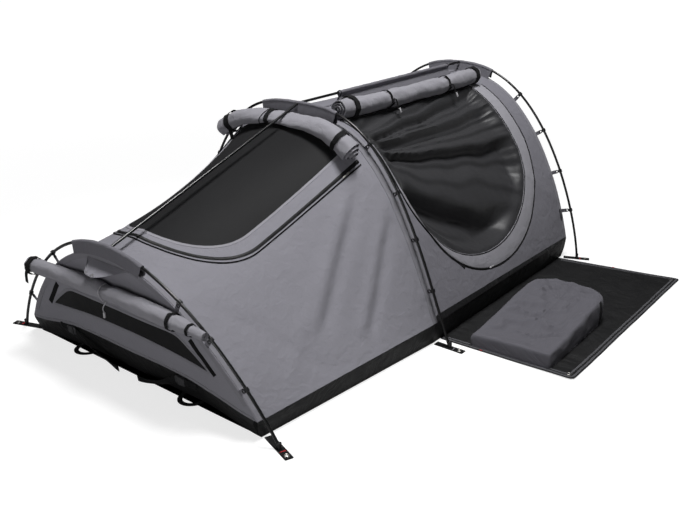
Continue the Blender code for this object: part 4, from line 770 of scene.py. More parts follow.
def strap(name: str, points: np.ndarray, across: np.ndarray, width: float, thickness: float,
          step: float = 0.004) -> bpy.types.Object:
    """
    Draw a flat strap along a line.

    Args:
        name: Name of the piece.
        points: Points of its middle line.
        across: Direction of its width, one for all points or one for each.
        width: Width of the strap.
        thickness: Thickness of the strap.
        step: Distance between its rings.

    Returns:
        The strap, with a UV map of its length and width.
    """
    raw = np.asarray(points, float)
    sides = np.broadcast_to(np.asarray(across, float), raw.shape)
    both = resample(np.hstack([raw, sides]), step) if len(raw) < 400 else np.hstack([raw, sides])
    line, sides = both[:, :3], both[:, 3:]
    ahead = unit(np.gradient(line, axis=0))
    sides = unit(sides - ahead * np.sum(sides * ahead, axis=1, keepdims=True))
    ups = np.cross(ahead, sides)
    offsets = np.linspace(-0.5, 0.5, 5) * width
    rounded = thickness / 2.0 * np.array([0.6, 1.0, 1.0, 1.0, 0.6])
    offsets = np.concatenate([offsets, offsets[::-1]])
    heights = np.concatenate([rounded, -rounded[::-1]])
    grid = np.stack([line + sides * offset + ups * high
                     for offset, high in zip(offsets, heights)], axis=1)
    return skin(name, grid, flat_grid(reach_along(line), offsets), False, True, 40.0)


# Modelling by hand

def start_alone(made: bpy.types.Object | None = None) -> None:
    """
    Leave edit mode and deselect everything, apart from one piece that becomes active.

    Args:
        made: The piece, if any.
    """
    if bpy.context.object is not None and bpy.context.object.mode != "OBJECT":
        bpy.ops.object.mode_set(mode="OBJECT")
    bpy.ops.object.select_all(action="DESELECT")
    if made is not None:
        bpy.context.view_layer.objects.active = made
        made.select_set(True)


def named(made: bpy.types.Object, name: str) -> bpy.types.Object:
    """Give a piece and its mesh a name."""
    made.name = made.data.name = name
    return made


def shape_faces(made: bpy.types.Object, test: Callable[[Vector, Vector], bool],
                *operations: tuple[Callable, dict[str, object]]) -> None:
    """
    Run operations of edit mode on the wanted faces only.

    Args:
        made: The piece.
        test: Takes a face's middle and normal and says whether it is wanted.
        *operations: Each one with its settings.
    """
    start_alone(made)
    bpy.ops.object.mode_set(mode="EDIT")
    bpy.ops.mesh.select_mode(type="FACE")
    bpy.ops.mesh.select_all(action="DESELECT")
    bpy.ops.object.mode_set(mode="OBJECT")
    for face in made.data.polygons:
        face.select = bool(test(face.center, face.normal))
    bpy.ops.object.mode_set(mode="EDIT")
    for operation, settings in operations:
        operation(**settings)
    bpy.ops.object.mode_set(mode="OBJECT")


def apply_modifier(made: bpy.types.Object, kind: str, **settings: object) -> None:
    """
    Add a modifier and apply it.

    Args:
        made: The piece.
        kind: Type of the modifier.
        **settings: Its properties.
    """
    start_alone(made)
    modifier = made.modifiers.new(kind.lower(), kind)
    for name, value in settings.items():
        setattr(modifier, name, value)
    bpy.ops.object.modifier_apply(modifier=modifier.name)


def bevel(made: bpy.types.Object, width: float, segments: int = 2, **settings: float) -> None:
    """Ease the sharp edges of a piece."""
    apply_modifier(made, "BEVEL", width=width, segments=segments, limit_method="ANGLE", **settings)


def block(name: str, size: Sequence[float], centre: Sequence[float] = (0.0, 0.0, 0.0),
          round_edge: float = 0.0) -> bpy.types.Object:
    """
    A block with eased edges, as a start for a fitting.

    Args:
        name: Name of the piece.
        size: Lengths along x, y and z.
        centre: Its middle.
        round_edge: Width of the eased edges.

    Returns:
        The block, with its size applied.
    """
    start_alone()
    bpy.ops.mesh.primitive_cube_add(size=1.0, location=centre, scale=size)
    made = named(bpy.context.object, name)
    bpy.ops.object.transform_apply(location=True, rotation=True, scale=True)
    if round_edge > 0.0:
        bevel(made, round_edge, 3)
    return made


def ring(name: str, radius: float, wire: float, squash: float = 1.0,
         sides: int = 24) -> bpy.types.Object:
    """
    A rounded ring about the z axis, as a start for an eyelet.

    Args:
        name: Name of the piece.
        radius: Radius of the wire's middle line.
        wire: Radius of the wire.
        squash: Factor on its height.
        sides: How many faces go round it.

    Returns:
        The ring.
    """
    start_alone()
    bpy.ops.mesh.primitive_torus_add(major_radius=radius, minor_radius=wire, major_segments=sides,
                                     minor_segments=10)
    made = named(bpy.context.object, name)
    made.data.transform(Matrix.Diagonal((1.0, 1.0, squash, 1.0)))
    return made


def stand_on_edge(made: bpy.types.Object, place: Sequence[float]) -> bpy.types.Object:
    """Stand a ring on its edge, facing y, and move it."""
    made.data.transform(Matrix.Rotation(math.pi / 2.0, 4, "X"))
    made.data.transform(Matrix.Translation(place))
    return made


def join(name: str, pieces: Sequence[bpy.types.Object]) -> bpy.types.Object:
    """
    Join pieces into one object.

    Args:
        name: Name of the object.
        pieces: The pieces, two or more.

    Returns:
        The object.
    """
    start_alone()
    for piece in pieces:
        piece.select_set(True)
    bpy.context.view_layer.objects.active = pieces[0]
    bpy.ops.object.join()
    return named(bpy.context.object, name)


def smooth(made: bpy.types.Object, degrees: float = 35.0) -> bpy.types.Object:
    """
    Shade a piece smooth, apart from its sharper edges.

    Args:
        made: The piece.
        degrees: Edges sharper than this stay sharp.

    Returns:
        The piece.
    """
    start_alone(made)
    bpy.ops.object.shade_smooth_by_angle(angle=math.radians(degrees))
    return made
    return made


def put(made: bpy.types.Object, origin: Sequence[float], x_axis: Sequence[float],
        y_axis: Sequence[float]) -> bpy.types.Object:
    """
    Move a piece's mesh to its place.

    Args:
        made: A piece modelled at the origin.
        origin: Where its origin goes.
        x_axis: Where its x axis points.
        y_axis: Where its y axis points.

    Returns:
        The piece.
    """
    one = Vector(x_axis).normalized()
    two = Vector(y_axis)
    two = (two - one * two.dot(one)).normalized()
    three = one.cross(two)
    matrix = Matrix((one, two, three)).transposed().to_4x4()
    matrix.translation = Vector(origin)
    made.data.transform(matrix)
    return made


def copy_of(made: bpy.types.Object, name: str) -> bpy.types.Object:
    """
    A copy with its own mesh.

    Args:
        made: The piece.
        name: Name of the copy.

    Returns:
        The copy.
    """
    twin = made.copy()
    twin.data = made.data.copy()
    bpy.context.scene.collection.objects.link(named(twin, name))
    return twin


# Finishes

def linear(colour: str, light: float = 1.0) -> tuple[float, float, float, float]:
    """
    Turn a written colour into the numbers that a shader takes.

    Args:
        colour: Six hexadecimal digits after a hash.
        light: Factor on the colour's brightness.

    Returns:
        Linear red, green and blue, and one.
    """
    parts = [int(colour[index:index + 2], 16) / 255.0 for index in (1, 3, 5)]
    levels = [part / 12.92 if part <= 0.04045 else ((part + 0.055) / 1.055) ** 2.4
              for part in parts]
    return (*[min(1.0, level * light) for level in levels], 1.0)


Tree = bpy.types.NodeTree
Socket = bpy.types.NodeSocket


def set_inputs(tree: Tree, node: bpy.types.Node, inputs: dict) -> None:
    """
    Fill in a node's inputs.

    Args:
        tree: The material's node tree.
        node: The node.
        inputs: Values or sockets, by the input's name or number.
    """
    for name, value in inputs.items():
        if isinstance(value, Socket):
            tree.links.new(value, node.inputs[name])
        else:
            node.inputs[name].default_value = value


def add_node(tree: Tree, kind: str, inputs: dict | None = None, **settings: object
             ) -> bpy.types.Node:
    """
    Add a shader node.

    Args:
        tree: The material's node tree.
        kind: Type of the node, after ShaderNode.
        inputs: Values or sockets for its inputs, by name or number.
        **settings: Its other properties.

    Returns:
        The node.
    """
    node = tree.nodes.new("ShaderNode" + kind)
    for name, value in settings.items():
        setattr(node, name, value)
    set_inputs(tree, node, inputs or {})
    return node


def coordinates(tree: Tree, kind: str = "UV") -> Socket:
    """Coordinates in metres: UV on the flat cloth, Object in the piece's own frame."""
    return add_node(tree, "TexCoord").outputs[kind]


def noise(tree: Tree, place: Socket, scale: float, detail: float, **inputs: float) -> Socket:
    """Soft random pattern; scale is in patches per metre."""
    more = {name.capitalize(): value for name, value in inputs.items()}
    return add_node(tree, "TexNoise", {"Vector": place, "Scale": scale, "Detail": detail,
                                       **more}).outputs["Fac"]


def bump(tree: Tree, height: Socket, strength: float, distance: float,
         under: Socket | None = None, invert: bool = False) -> Socket:
    """
    Normals tilted by a pattern of heights.

    Args:
        tree: The material's node tree.
        height: The pattern.
        strength: Share of the tilt that is used.
        distance: Height of the pattern's 1 in metres.
        under: Normals of an earlier bump.
        invert: Whether the pattern's 1 is a hollow.

    Returns:
        The normals.
    """
    inputs = {"Height": height, "Strength": strength, "Distance": distance}
    if under is not None:
        inputs["Normal"] = under
    return add_node(tree, "Bump", inputs, invert=invert).outputs["Normal"]


def two_tone(tree: Tree, share: Socket, first: object, second: object) -> Socket:
    """Mix of two colours by a pattern."""
    return add_node(tree, "Mix", {"Factor": share, "A": first, "B": second},
                    data_type="RGBA").outputs["Result"]


def levels(tree: Tree, source: Socket, low: float, high: float) -> Socket:
    """A pattern brought to the range from low to high."""
    return add_node(tree, "MapRange", {"Value": source, "To Min": low, "To Max": high}
                    ).outputs["Result"]


def stretched(tree: Tree, place: Socket, scale: tuple[float, float, float]) -> Socket:
    """Coordinates times a factor for each axis."""
    return add_node(tree, "Mapping", {"Vector": place, "Scale": scale}).outputs["Vector"]


def grid_lines(tree: Tree, source: Socket, pitch: float, line: float) -> Socket:
    """
    Mask of the thicker threads of a weave, in a square grid.

    Args:
        tree: The material's node tree.
        source: Coordinates in metres.
        pitch: Side of a square in metres.
        line: Width of a thread in metres.

    Returns:
        The mask.
    """
    brick = add_node(tree, "TexBrick",
                     {"Vector": source, "Scale": 1.0, "Brick Width": pitch, "Row Height": pitch,
                      "Mortar Size": line, "Mortar Smooth": 0.6},
                     offset=0.0, squash=1.0)
    return brick.outputs["Fac"]


@dataclass(frozen=True)
class Finish:
    """A surface finish; each kind adds its own detail to a common shader."""

    name: str
    colour: str
    roughness: float = 0.7
    gloss: float = 0.12

    def detail(self, tree: Tree) -> dict[str, object]:
        """Add the finish's own nodes and give the shader's inputs."""
        raise NotImplementedError

    @cached_property
    def material(self) -> bpy.types.Material:
        """
        The material, made once.

        Returns:
            The material.
        """
        made = bpy.data.materials.new(self.name)
        made.use_nodes = True
        tree = made.node_tree
        shader = next(node for node in tree.nodes if node.type == "BSDF_PRINCIPLED")
        set_inputs(tree, shader, {"Base Color": linear(self.colour), "Roughness": self.roughness,
                                  "Specular IOR Level": self.gloss})
        set_inputs(tree, shader, self.detail(tree))
        return made

    def shades(self, tree: Tree, share: Socket, dark: float, light: float) -> Socket:
        """The finish's colour from a darker to a lighter shade, by a pattern."""
        return two_tone(tree, share, linear(self.colour, dark), linear(self.colour, light))

    def mottle(self, tree: Tree, source: Socket, pitch: float, spread: float) -> Socket:
        """
        The finish's colour, a little lighter and darker in patches.

        Args:
            tree: The material's node tree.
            source: Coordinates in metres.
            pitch: Size of a patch in metres.
            spread: How far the brightness goes up and down.

        Returns:
            The colour socket.
        """
        patches = noise(tree, source, 1.0 / pitch, 5.0, roughness=0.6)
        return self.shades(tree, patches, 1.0 - spread, 1.0 + spread)


@dataclass(frozen=True)
class CanvasFinish(Finish):
    """Grey polyester-cotton canvas: rip-stop squares, fine weave and faint handling marks."""

    roughness: float = 0.88
    square: float = 0.0065
    thread: float = 0.06
    weave: float = 0.0008
    patch: float = 0.16
    spread: float = 0.055
    crumple: float = 0.0055

    def detail(self, tree: Tree) -> dict[str, object]:
        """
        Colour patches, rip-stop threads, weave bump and the soft sheen of brushed cotton.

        Args:
            tree: The material's node tree.

        Returns:
            The shader's inputs.
        """
        cloth = coordinates(tree)
        squares = grid_lines(tree, cloth, self.square, self.square * self.thread)
        part = add_node(tree, "Math", {0: squares, 1: 0.35}, operation="MULTIPLY").outputs[0]
        colour = two_tone(tree, part, self.mottle(tree, cloth, self.patch, self.spread),
                          linear(self.colour, 1.16))
        crumples = noise(tree, cloth, 26.0, 4.0, roughness=0.55, distortion=0.4)
        threads = add_node(tree, "TexChecker", {"Vector": cloth, "Scale": 1.0 / self.weave})
        soft = bump(tree, crumples, 0.8, self.crumple)
        return {"Base Color": colour, "Sheen Weight": 0.04, "Sheen Roughness": 0.6,
                "Normal": bump(tree, threads.outputs["Fac"], 0.25, 0.0001, soft)}


@dataclass(frozen=True)
class CoatedFinish(Finish):
    """Black vinyl-coated floor fabric: shallow woven emboss, uneven gloss, dust in places."""

    roughness: float = 0.46
    gloss: float = 0.30
    square: float = 0.0024
    buckle: float = 0.014

    def detail(self, tree: Tree) -> dict[str, object]:
        """
        Dust in the colour, patches in the gloss, and emboss with soft buckles.

        Args:
            tree: The material's node tree.

        Returns:
            The shader's inputs.
        """
        cloth = coordinates(tree)
        emboss = grid_lines(tree, cloth, self.square, self.square * 0.2)
        fine = bump(tree, emboss, 0.3, 0.0002, invert=True)
        return {"Base Color": self.mottle(tree, cloth, 0.11, 0.22),
                "Roughness": levels(tree, noise(tree, cloth, 14.0, 4.0), self.roughness - 0.08,
                                    self.roughness + 0.14),
                "Normal": bump(tree, noise(tree, cloth, 9.0, 3.0, distortion=0.8), 1.0,
                               self.buckle, fine)}


@dataclass(frozen=True)
class InsectMeshFinish(Finish):
    """Fine black polyester netting: a see-through square net with a faint shine."""

    roughness: float = 0.55
    gloss: float = 0.05
    hole: float = 0.0014
    cover: float = 0.90
    shine: float = 0.25

    def detail(self, tree: Tree) -> dict[str, object]:
        """
        Net threads in colour and bump; the cover is the share that threads hide.

        Args:
            tree: The material's node tree.

        Returns:
            The shader's inputs.
        """
        cloth = coordinates(tree)
        net = grid_lines(tree, cloth, self.hole, self.hole * 0.22)
        wave = noise(tree, cloth, 12.0, 3.0, distortion=0.5)
        return {"Base Color": self.shades(tree, net, 0.8, 1.3), "Alpha": self.cover,
                "Sheen Weight": self.shine,
                "Normal": bump(tree, wave, 0.35, 0.004, bump(tree, net, 0.2, 0.0001))}


@dataclass(frozen=True)
class LacquerFinish(Finish):
    """Black lacquered aluminium tube: a glossy coat with faint rub marks along it."""

    roughness: float = 0.28
    gloss: float = 0.4

    def detail(self, tree: Tree) -> dict[str, object]:
        """
        Rub marks in the gloss, under a clear coat.

        Args:
            tree: The material's node tree.

        Returns:
            The shader's inputs.
        """
        place = coordinates(tree)
        rub = noise(tree, stretched(tree, place, (30.0, 900.0, 1.0)), 1.0, 4.0)
        return {"Base Color": self.mottle(tree, place, 0.08, 0.2),
                "Roughness": levels(tree, rub, self.roughness - 0.08, self.roughness + 0.12),
                "Coat Weight": 0.2, "Coat Roughness": 0.2}


RIB_SCALE = 0.159  # of a wave texture, for one rib in each unit of its coordinates


def ribs(tree: Tree, place: Socket, pitch: float, slant: float, **inputs: float) -> Socket:
    """
    Ribs across a strip.

    Args:
        tree: The material's node tree.
        place: Coordinates in metres.
        pitch: Distance between ribs in metres.
        slant: How far a rib runs on across the strip.
        **inputs: The wave texture's other inputs.

    Returns:
        The pattern of ribs.
    """
    scaled = stretched(tree, place, (1.0 / pitch, slant / pitch, 1.0))
    more = {name.capitalize(): value for name, value in inputs.items()}
    return add_node(tree, "TexWave", {"Vector": scaled, "Scale": RIB_SCALE,
                                      **more}).outputs["Fac"]


@dataclass(frozen=True)
class WebbingFinish(Finish):
    """Woven strap or tape: ribs across, fuzzy edges, a little lighter on the ribs."""

    roughness: float = 0.8
    rib: float = 0.0018

    def detail(self, tree: Tree) -> dict[str, object]:
        """Ribs in colour and bump, in the shader's inputs."""
        weave = ribs(tree, coordinates(tree), self.rib, 0.35, distortion=0.6, detail=1.0)
        return {"Base Color": self.shades(tree, weave, 0.72, 1.3), "Sheen Weight": 0.03,
                "Normal": bump(tree, weave, 0.5, 0.0003)}


@dataclass(frozen=True)
class MouldedFinish(Finish):
    """Moulded nylon: a fine spark-eroded grain with a dull shine."""

    roughness: float = 0.42
    gloss: float = 0.4

    def detail(self, tree: Tree) -> dict[str, object]:
        """Grain bump and slight flow marks, in the shader's inputs."""
        place = coordinates(tree, "Object")
        return {"Base Color": self.mottle(tree, place, 0.02, 0.15),
                "Normal": bump(tree, noise(tree, place, 1600.0, 2.0), 0.3, 0.0001)}


@dataclass(frozen=True)
class ZipFinish(Finish):
    """Nylon coil zip: close ribs across a rounded track."""

    roughness: float = 0.4
    gloss: float = 0.25
    tooth: float = 0.0026

    def detail(self, tree: Tree) -> dict[str, object]:
        """The coil's ribs, in the shader's inputs."""
        coil = ribs(tree, coordinates(tree), self.tooth, 0.0)
        return {"Base Color": self.shades(tree, coil, 0.5, 1.5),
                "Normal": bump(tree, coil, 0.7, 0.0008)}


@dataclass(frozen=True)
class HookTapeFinish(Finish):
    """Hook-and-loop tape: a fuzzy matt pile."""

    roughness: float = 0.95
    tufts: float = 700.0

    def detail(self, tree: Tree) -> dict[str, object]:
        """Pile in colour and bump, in the shader's inputs."""
        pile = add_node(tree, "TexVoronoi", {"Vector": coordinates(tree), "Scale": self.tufts}
                        ).outputs["Distance"]
        return {"Base Color": self.shades(tree, pile, 1.4, 0.6),
                "Normal": bump(tree, pile, 0.6, 0.0006)}


@dataclass(frozen=True)
class NickelFinish(Finish):
    """Nickel-plated pressed metal with light scuffs."""

    roughness: float = 0.3

    def detail(self, tree: Tree) -> dict[str, object]:
        """Scuffs in the gloss, in the shader's inputs."""
        scuff = noise(tree, coordinates(tree, "Object"), 400.0, 3.0)
        return {"Roughness": levels(tree, scuff, 0.2, 0.45), "Metallic": 1.0}


CANVAS = CanvasFinish("ripstop_canvas_grey", "#807f86")
# Painted shade: the same canvas as CANVAS, made darker for the shade on the head section
CANVAS_HEAD_PAINTED_SHADE = CanvasFinish("ripstop_canvas_head_painted_shade", "#727178")
# Painted shade: the same canvas, darker still, for the shaded faces of the pole sleeves
CANVAS_SLEEVE_PAINTED_SHADE = CanvasFinish("ripstop_canvas_sleeve_painted_shade", "#69686e")
CANVAS_HEM = CanvasFinish("ripstop_canvas_hem_grey", "#7a797f", patch=0.03)
CANVAS_FLAP = CanvasFinish("zip_flap_canvas_pale_grey", "#8b8a90", patch=0.05)
ROLL_CANVAS = CanvasFinish("rolled_flap_canvas_grey", "#86858b", patch=0.05, spread=0.09)
BAG_CANVAS = CanvasFinish("gear_bag_canvas_grey", "#58575d", patch=0.06, spread=0.12)
COATED = CoatedFinish("coated_floor_fabric_black", "#202021")
MAT_COATED = CoatedFinish("coated_mat_fabric_black", "#171718", roughness=0.54)
NET = InsectMeshFinish("insect_mesh_black", "#202021", cover=0.97, shine=0.02)
DOOR_CLOTH = InsectMeshFinish("door_lining_black", "#2d2d2f", roughness=0.44, gloss=0.30,
                              cover=1.0, shine=0.05)
LACQUER = LacquerFinish("pole_lacquer_black", "#111112")
WEBBING = WebbingFinish("webbing_black", "#161617")
WEBBING_GREY = WebbingFinish("webbing_grey", "#6f6e74")
WEBBING_PALE = WebbingFinish("tape_pale_grey", "#a9a8ad")
BINDING = WebbingFinish("mat_binding_grey", "#4d4d50")
PIPING = WebbingFinish("piping_black", "#141415", rib=0.0012)
RED_THREAD = WebbingFinish("bar_tack_red", "#a32a2e", rib=0.0009)
MOULDED = MouldedFinish("moulded_nylon_black", "#1b1b1d")
MOULDED_GREY = MouldedFinish("moulded_nylon_grey", "#38383a")
MOULDED_PALE = MouldedFinish("moulded_nylon_pale", "#b9b8bb")
ZIP = ZipFinish("coil_zip_black", "#161617")
HOOK_TAPE = HookTapeFinish("hook_tape_black", "#151516")
NICKEL = NickelFinish("nickel_plate", "#b8b6b0")
COVER = CanvasFinish("foam_cover_charcoal", "#3c3c40", patch=0.09)


def middle_of(node: str) -> np.ndarray:
    """Middle of a CAD node's box."""
    low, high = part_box(node)
    return (np.array(low) + np.array(high)) / 2.0


def dress(made: bpy.types.Object, finish: Finish, body: Body = Body.SHELTER,
          stands_for: Iterable[str] = ()) -> bpy.types.Object:
    """
    Give a piece its finish and its body.

    Args:
        made: The piece.
        finish: Its finish.
        body: The body that it rides on.
        stands_for: CAD nodes that it replaces.

    Returns:
        The piece.
    """
    made.data.materials.clear()
    made.data.materials.append(finish.material)
    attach(made, body.value)
    nodes = list(stands_for)
    if nodes:
        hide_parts(*nodes)
    LOG.info("%s: %s faces, rides on %s", made.name, len(made.data.polygons), body.value)
    return made


def trim(name: str, surface: Surface, line: np.ndarray, profile: Sequence[tuple[float, float]],
         finish: Finish, closed: bool = False) -> bpy.types.Object:
    """
    Lay a dressed ribbon on a surface.

    Args:
        name: Name of the piece.
        surface: What it lies on.
        line: Its middle, in metres of cloth.
        profile: Offsets to the side and heights.
        finish: Its finish.
        closed: Whether the line returns to its start.

    Returns:
        The ribbon.
    """
    return dress(ribbon(name, surface, line, profile, closed), finish)


# The canopy

def rounded_u(start: float, knee: float, end: float, half_width: float) -> np.ndarray:
    """
    Outline of a U: two straight sides from start to the knee, then a half ellipse to the end.

    Args:
        start: Where the sides begin, along the U.
        knee: Where the curve begins.
        end: The curve's far point.
        half_width: Half the width of the U.

    Returns:
        Points along the U and across it, from one side to the other.
    """
    turn = np.linspace(0.0, math.pi, 61)
    curve = np.stack([knee + (end - knee) * np.sin(turn), -half_width * np.cos(turn)], axis=1)
    return np.vstack([[(start, -half_width)], curve, [(start, half_width)]])


def band_between(name: str, surface: Surface, one: np.ndarray, two: np.ndarray,
                 heights: Sequence[float], step: float = 0.010) -> bpy.types.Object:
    """
    A raised strip of cloth between two lines on a surface.

    Args:
        name: Name of the piece.
        surface: What the strip lies on.
        one: Its first edge, in metres of cloth.
        two: Its second edge.
        heights: Heights over the cloth, evenly spaced from the first edge to the second.
        step: Distance between its rings.

    Returns:
        The strip.
    """
    count = max(8, int(np.linalg.norm(np.diff(one, axis=0), axis=1).sum() / step))
    lines = []
    for line in (one, two):
        fine = resample(line, 0.002)
        lines.append(columns_at(np.linspace(0, len(fine) - 1, count), np.arange(len(fine)), fine))
    shares = np.linspace(0.0, 1.0, len(heights))
    shares = np.concatenate([shares, shares[::-1]])
    lift = np.concatenate([heights, np.full(len(heights), -0.0006)]) + CANVAS_THICKNESS / 2.0
    places = blend(lines[0][:, None, :], lines[1][:, None, :], shares[None, :, None])
    grid = surface.at(places) + surface.normal(places) * lift[None, :, None]
    return skin(name, grid, places, False, True, 50.0)


def oblong(start: float, end: float, girth: float) -> np.ndarray:
    """Flat outline of a canopy that goes down to both rims."""
    return np.array([(start, -girth), (end, -girth), (end, girth), (start, girth)])


def hems(title: str, surface: Surface, girth: float, runs: dict[str, float]
         ) -> list[bpy.types.Object]:
    """
    Hems across a canopy, beside its arches.

    Args:
        title: The canopy's name.
        surface: The canopy.
        girth: Length of cloth from the ridge to a rim.
        runs: Each hem's place along the canopy, by the arch's name.

    Returns:
        The hems.
    """
    reach = girth - 0.002
    return [trim(f"{title}_{name}_hem", surface, np.array([(run, -reach), (run, reach)]),
                 HEM_PROFILE, CANVAS_HEM) for name, run in runs.items()]


def mirrored(*half: tuple[float, float]) -> tuple[tuple[float, float], ...]:
    """A profile from its one half and its middle: offsets to the side and heights."""
    return (*half, *((-offset, height) for offset, height in reversed(half) if offset))


COIL_PROFILE = mirrored((-0.0075, 0.0004), (-0.0035, 0.0006), (-0.0022, 0.0022))
SEAM_PROFILE = ((-0.0060, 0.0002), (-0.0052, 0.0012), (-0.0022, 0.0007), (0.0, 0.0013),
                (0.0026, 0.0006), (0.0052, 0.0012), (0.0060, 0.0002))
HEM_PROFILE = mirrored((-0.0110, 0.0002), (-0.0104, 0.0014), (-0.0070, 0.0009), (0.0, 0.0014))
PIPING_PROFILE = mirrored((-0.0028, 0.0002), (-0.0024, 0.0024), (0.0, 0.0036))
TAPE_PROFILE = mirrored((-0.0100, 0.0002), (-0.0096, 0.0016))
BINDING_PROFILE = mirrored((-0.0045, 0.0), (-0.0040, 0.0018), (0.0, 0.0014))
HEM_INSET = 0.011


@dataclass
class FootCanopy:
    """The low canvas section over the legs, with its mesh window and two zip lines."""

    window_start: float = 0.950
    window_knee: float = 0.420
    window_end: float = 0.163
    window_half: float = 0.343
    zip_knee: float = 0.420
    zip_end: float = 0.126
    zip_half: float = 0.420
    outer_knee: float = 0.410
    outer_end: float = 0.111
    outer_half: float = 0.437
    cloth_step: float = 0.014
    mesh_step: float = 0.018
    seam_out: float = 0.006
    surface: CanopySurface = field(default_factory=lambda: CanopySurface(
        FOOT_SECTION,
        creases=(Crease((0.83, -0.48), (0.42, -0.74), 0.030, 0.0095),
                 Crease((0.93, -0.47), (0.47, -0.77), 0.026, -0.0095),
                 Crease((0.96, -0.57), (0.62, -0.84), 0.022, 0.0075),
                 Crease((0.99, -0.60), (0.66, -0.87), 0.020, -0.0080),
                 Crease((0.55, -0.60), (0.20, -0.86), 0.030, 0.0035),
                 Crease((0.10, -0.45), (0.40, -0.92), 0.030, -0.0030),
                 Crease((0.20, 0.50), (0.45, 0.90), 0.030, -0.0030),
                 Crease((0.72, 0.42), (0.80, 0.90), 0.022, -0.0045)),
        foot_clips=(0.325, 0.460, 0.640), head_clips=(0.320, 0.458, 0.567, 0.692), seed=1.0))

    def u_line(self, knee: float, end: float, half: float) -> np.ndarray:
        """A U on the flat cloth, from shares of its length and girth."""
        length = FOOT_SECTION.length
        return rounded_u(self.window_start * length, knee * length, end * length,
                         half * FOOT_SECTION.girth)

    def build(self) -> None:
        """Cut the canvas and the mesh, and sew on zip, piping, seam and hems."""
        length, girth = FOOT_SECTION.length, FOOT_SECTION.girth
        end = length - TOUCH_GAP
        window = self.u_line(self.window_knee, self.window_end, self.window_half)
        cloth, area = lay_cloth("foot_canopy_cloth", self.surface, oblong(0.0, end, girth),
                                [window], self.cloth_step, CANVAS_THICKNESS)
        dress(cloth, CANVAS, stands_for=["foot_canopy"])
        mesh, mesh_area = lay_cloth("top_window_netting", self.surface, window, [],
                                    self.mesh_step, MESH_THICKNESS)
        dress(mesh, NET, stands_for=["top_window_mesh"])
        trims = [trim(name, self.surface, self.u_line(knee, far, half), profile, finish)
                 for name, knee, far, half, profile, finish in (
                     ("window_inner_zip", self.zip_knee, self.zip_end, self.zip_half,
                      COIL_PROFILE, ZIP),
                     ("window_outer_piping", self.outer_knee, self.outer_end, self.outer_half,
                      PIPING_PROFILE, PIPING),
                     ("window_edge_seam", self.window_knee, self.window_end - self.seam_out,
                      self.window_half + self.seam_out, SEAM_PROFILE, CANVAS_FLAP))]
        trims += hems("foot_canopy", self.surface, girth,
                      {"foot": HEM_INSET, "mid": end - HEM_INSET})


def hanging_fold(turns: np.ndarray, steep: float = 0.24) -> np.ndarray:
    """Outward share, 0 to 1, of folds that bulge low and fall back slowly above."""
    place = turns - np.floor(turns)
    return ease(place / steep) * (1.0 - ease((place - steep) / (1.0 - steep)))


@dataclass(frozen=True)
class DoorSurface(CanopySurface):
    """The slack door lining: it hangs in and gathers in soft diagonal folds."""

    border: tuple[tuple[float, float], ...] = ()
    slack: float = 0.022
    depth: float = 0.034
    pitch: float = 0.145
    fade: float = 0.110
    fan_reach: float = 0.30
    fan_height: float = -0.44
    fan_radius: float = 0.62
    sway: float = 0.35
    sway_turns: float = 0.27
    left: float = 0.0
    bend: float = 0.13
    small_depth: float = 0.0125
    gather_depth: float = 0.0045
    low_from: float = 0.50
    low_over: float = 0.25

    def from_seam(self, flat: np.ndarray) -> np.ndarray:
        """
        Distance of flat points from the seam.

        Args:
            flat: Points in metres of cloth.

        Returns:
            The distances.
        """
        border, rows = np.array(self.border), flat.reshape(-1, 2)
        found = []
        for start in range(0, len(rows), AT_A_TIME):
            aside = rows[start:start + AT_A_TIME, None, :] - border[None]
            found.append(np.sqrt((aside ** 2).sum(2).min(1)))
        return np.concatenate(found).reshape(flat.shape[:-1])

    def relief(self, flat: np.ndarray) -> np.ndarray:
        """
        Depth of the folds, which fan out from the lining's foot end.

        Args:
            flat: Points in metres of cloth.

        Returns:
            Heights over the canopy's form, nothing at the seam.
        """
        nearest = self.from_seam(flat)
        run = flat[..., 0] - self.left
        low = ease((-flat[..., 1] - self.low_from) / self.low_over)
        share = ease(nearest / (self.fade * (1.0 - 0.45 * low)))
        depth = self.depth * (1.0 + 0.9 * low)
        turns = np.arctan2(flat[..., 1] - self.fan_height, run + self.fan_reach)
        turns = turns * self.fan_radius / self.pitch
        turns = turns + self.sway * np.sin(2.0 * math.pi * self.sway_turns * turns)
        bend = self.bend * ripple(flat[..., 0] / 0.45, flat[..., 1] / 0.45, 5.0)
        crest = hanging_fold(turns + bend)
        small = hanging_fold(2.7 * turns + 0.4 + 2.4 * bend)
        gathers = 0.5 + 0.5 * np.cos(2.0 * math.pi * (7.0 * turns + 3.0 * bend))
        near_edge = ease(nearest / 0.015) * (1.0 - ease(nearest / 0.16))
        right = ease(run / 0.8)
        fine = ease(nearest / 0.03) * (self.small_depth * small * (0.75 + 0.25 * right)
                                       + 0.0016 * ripple(flat[..., 0] / 0.16, turns / 1.6, 4.0))
        fine = fine + self.gather_depth * gathers * near_edge * right
        return -(share * (self.slack + depth * (1.0 - crest) * 0.9)) + fine * 0.9


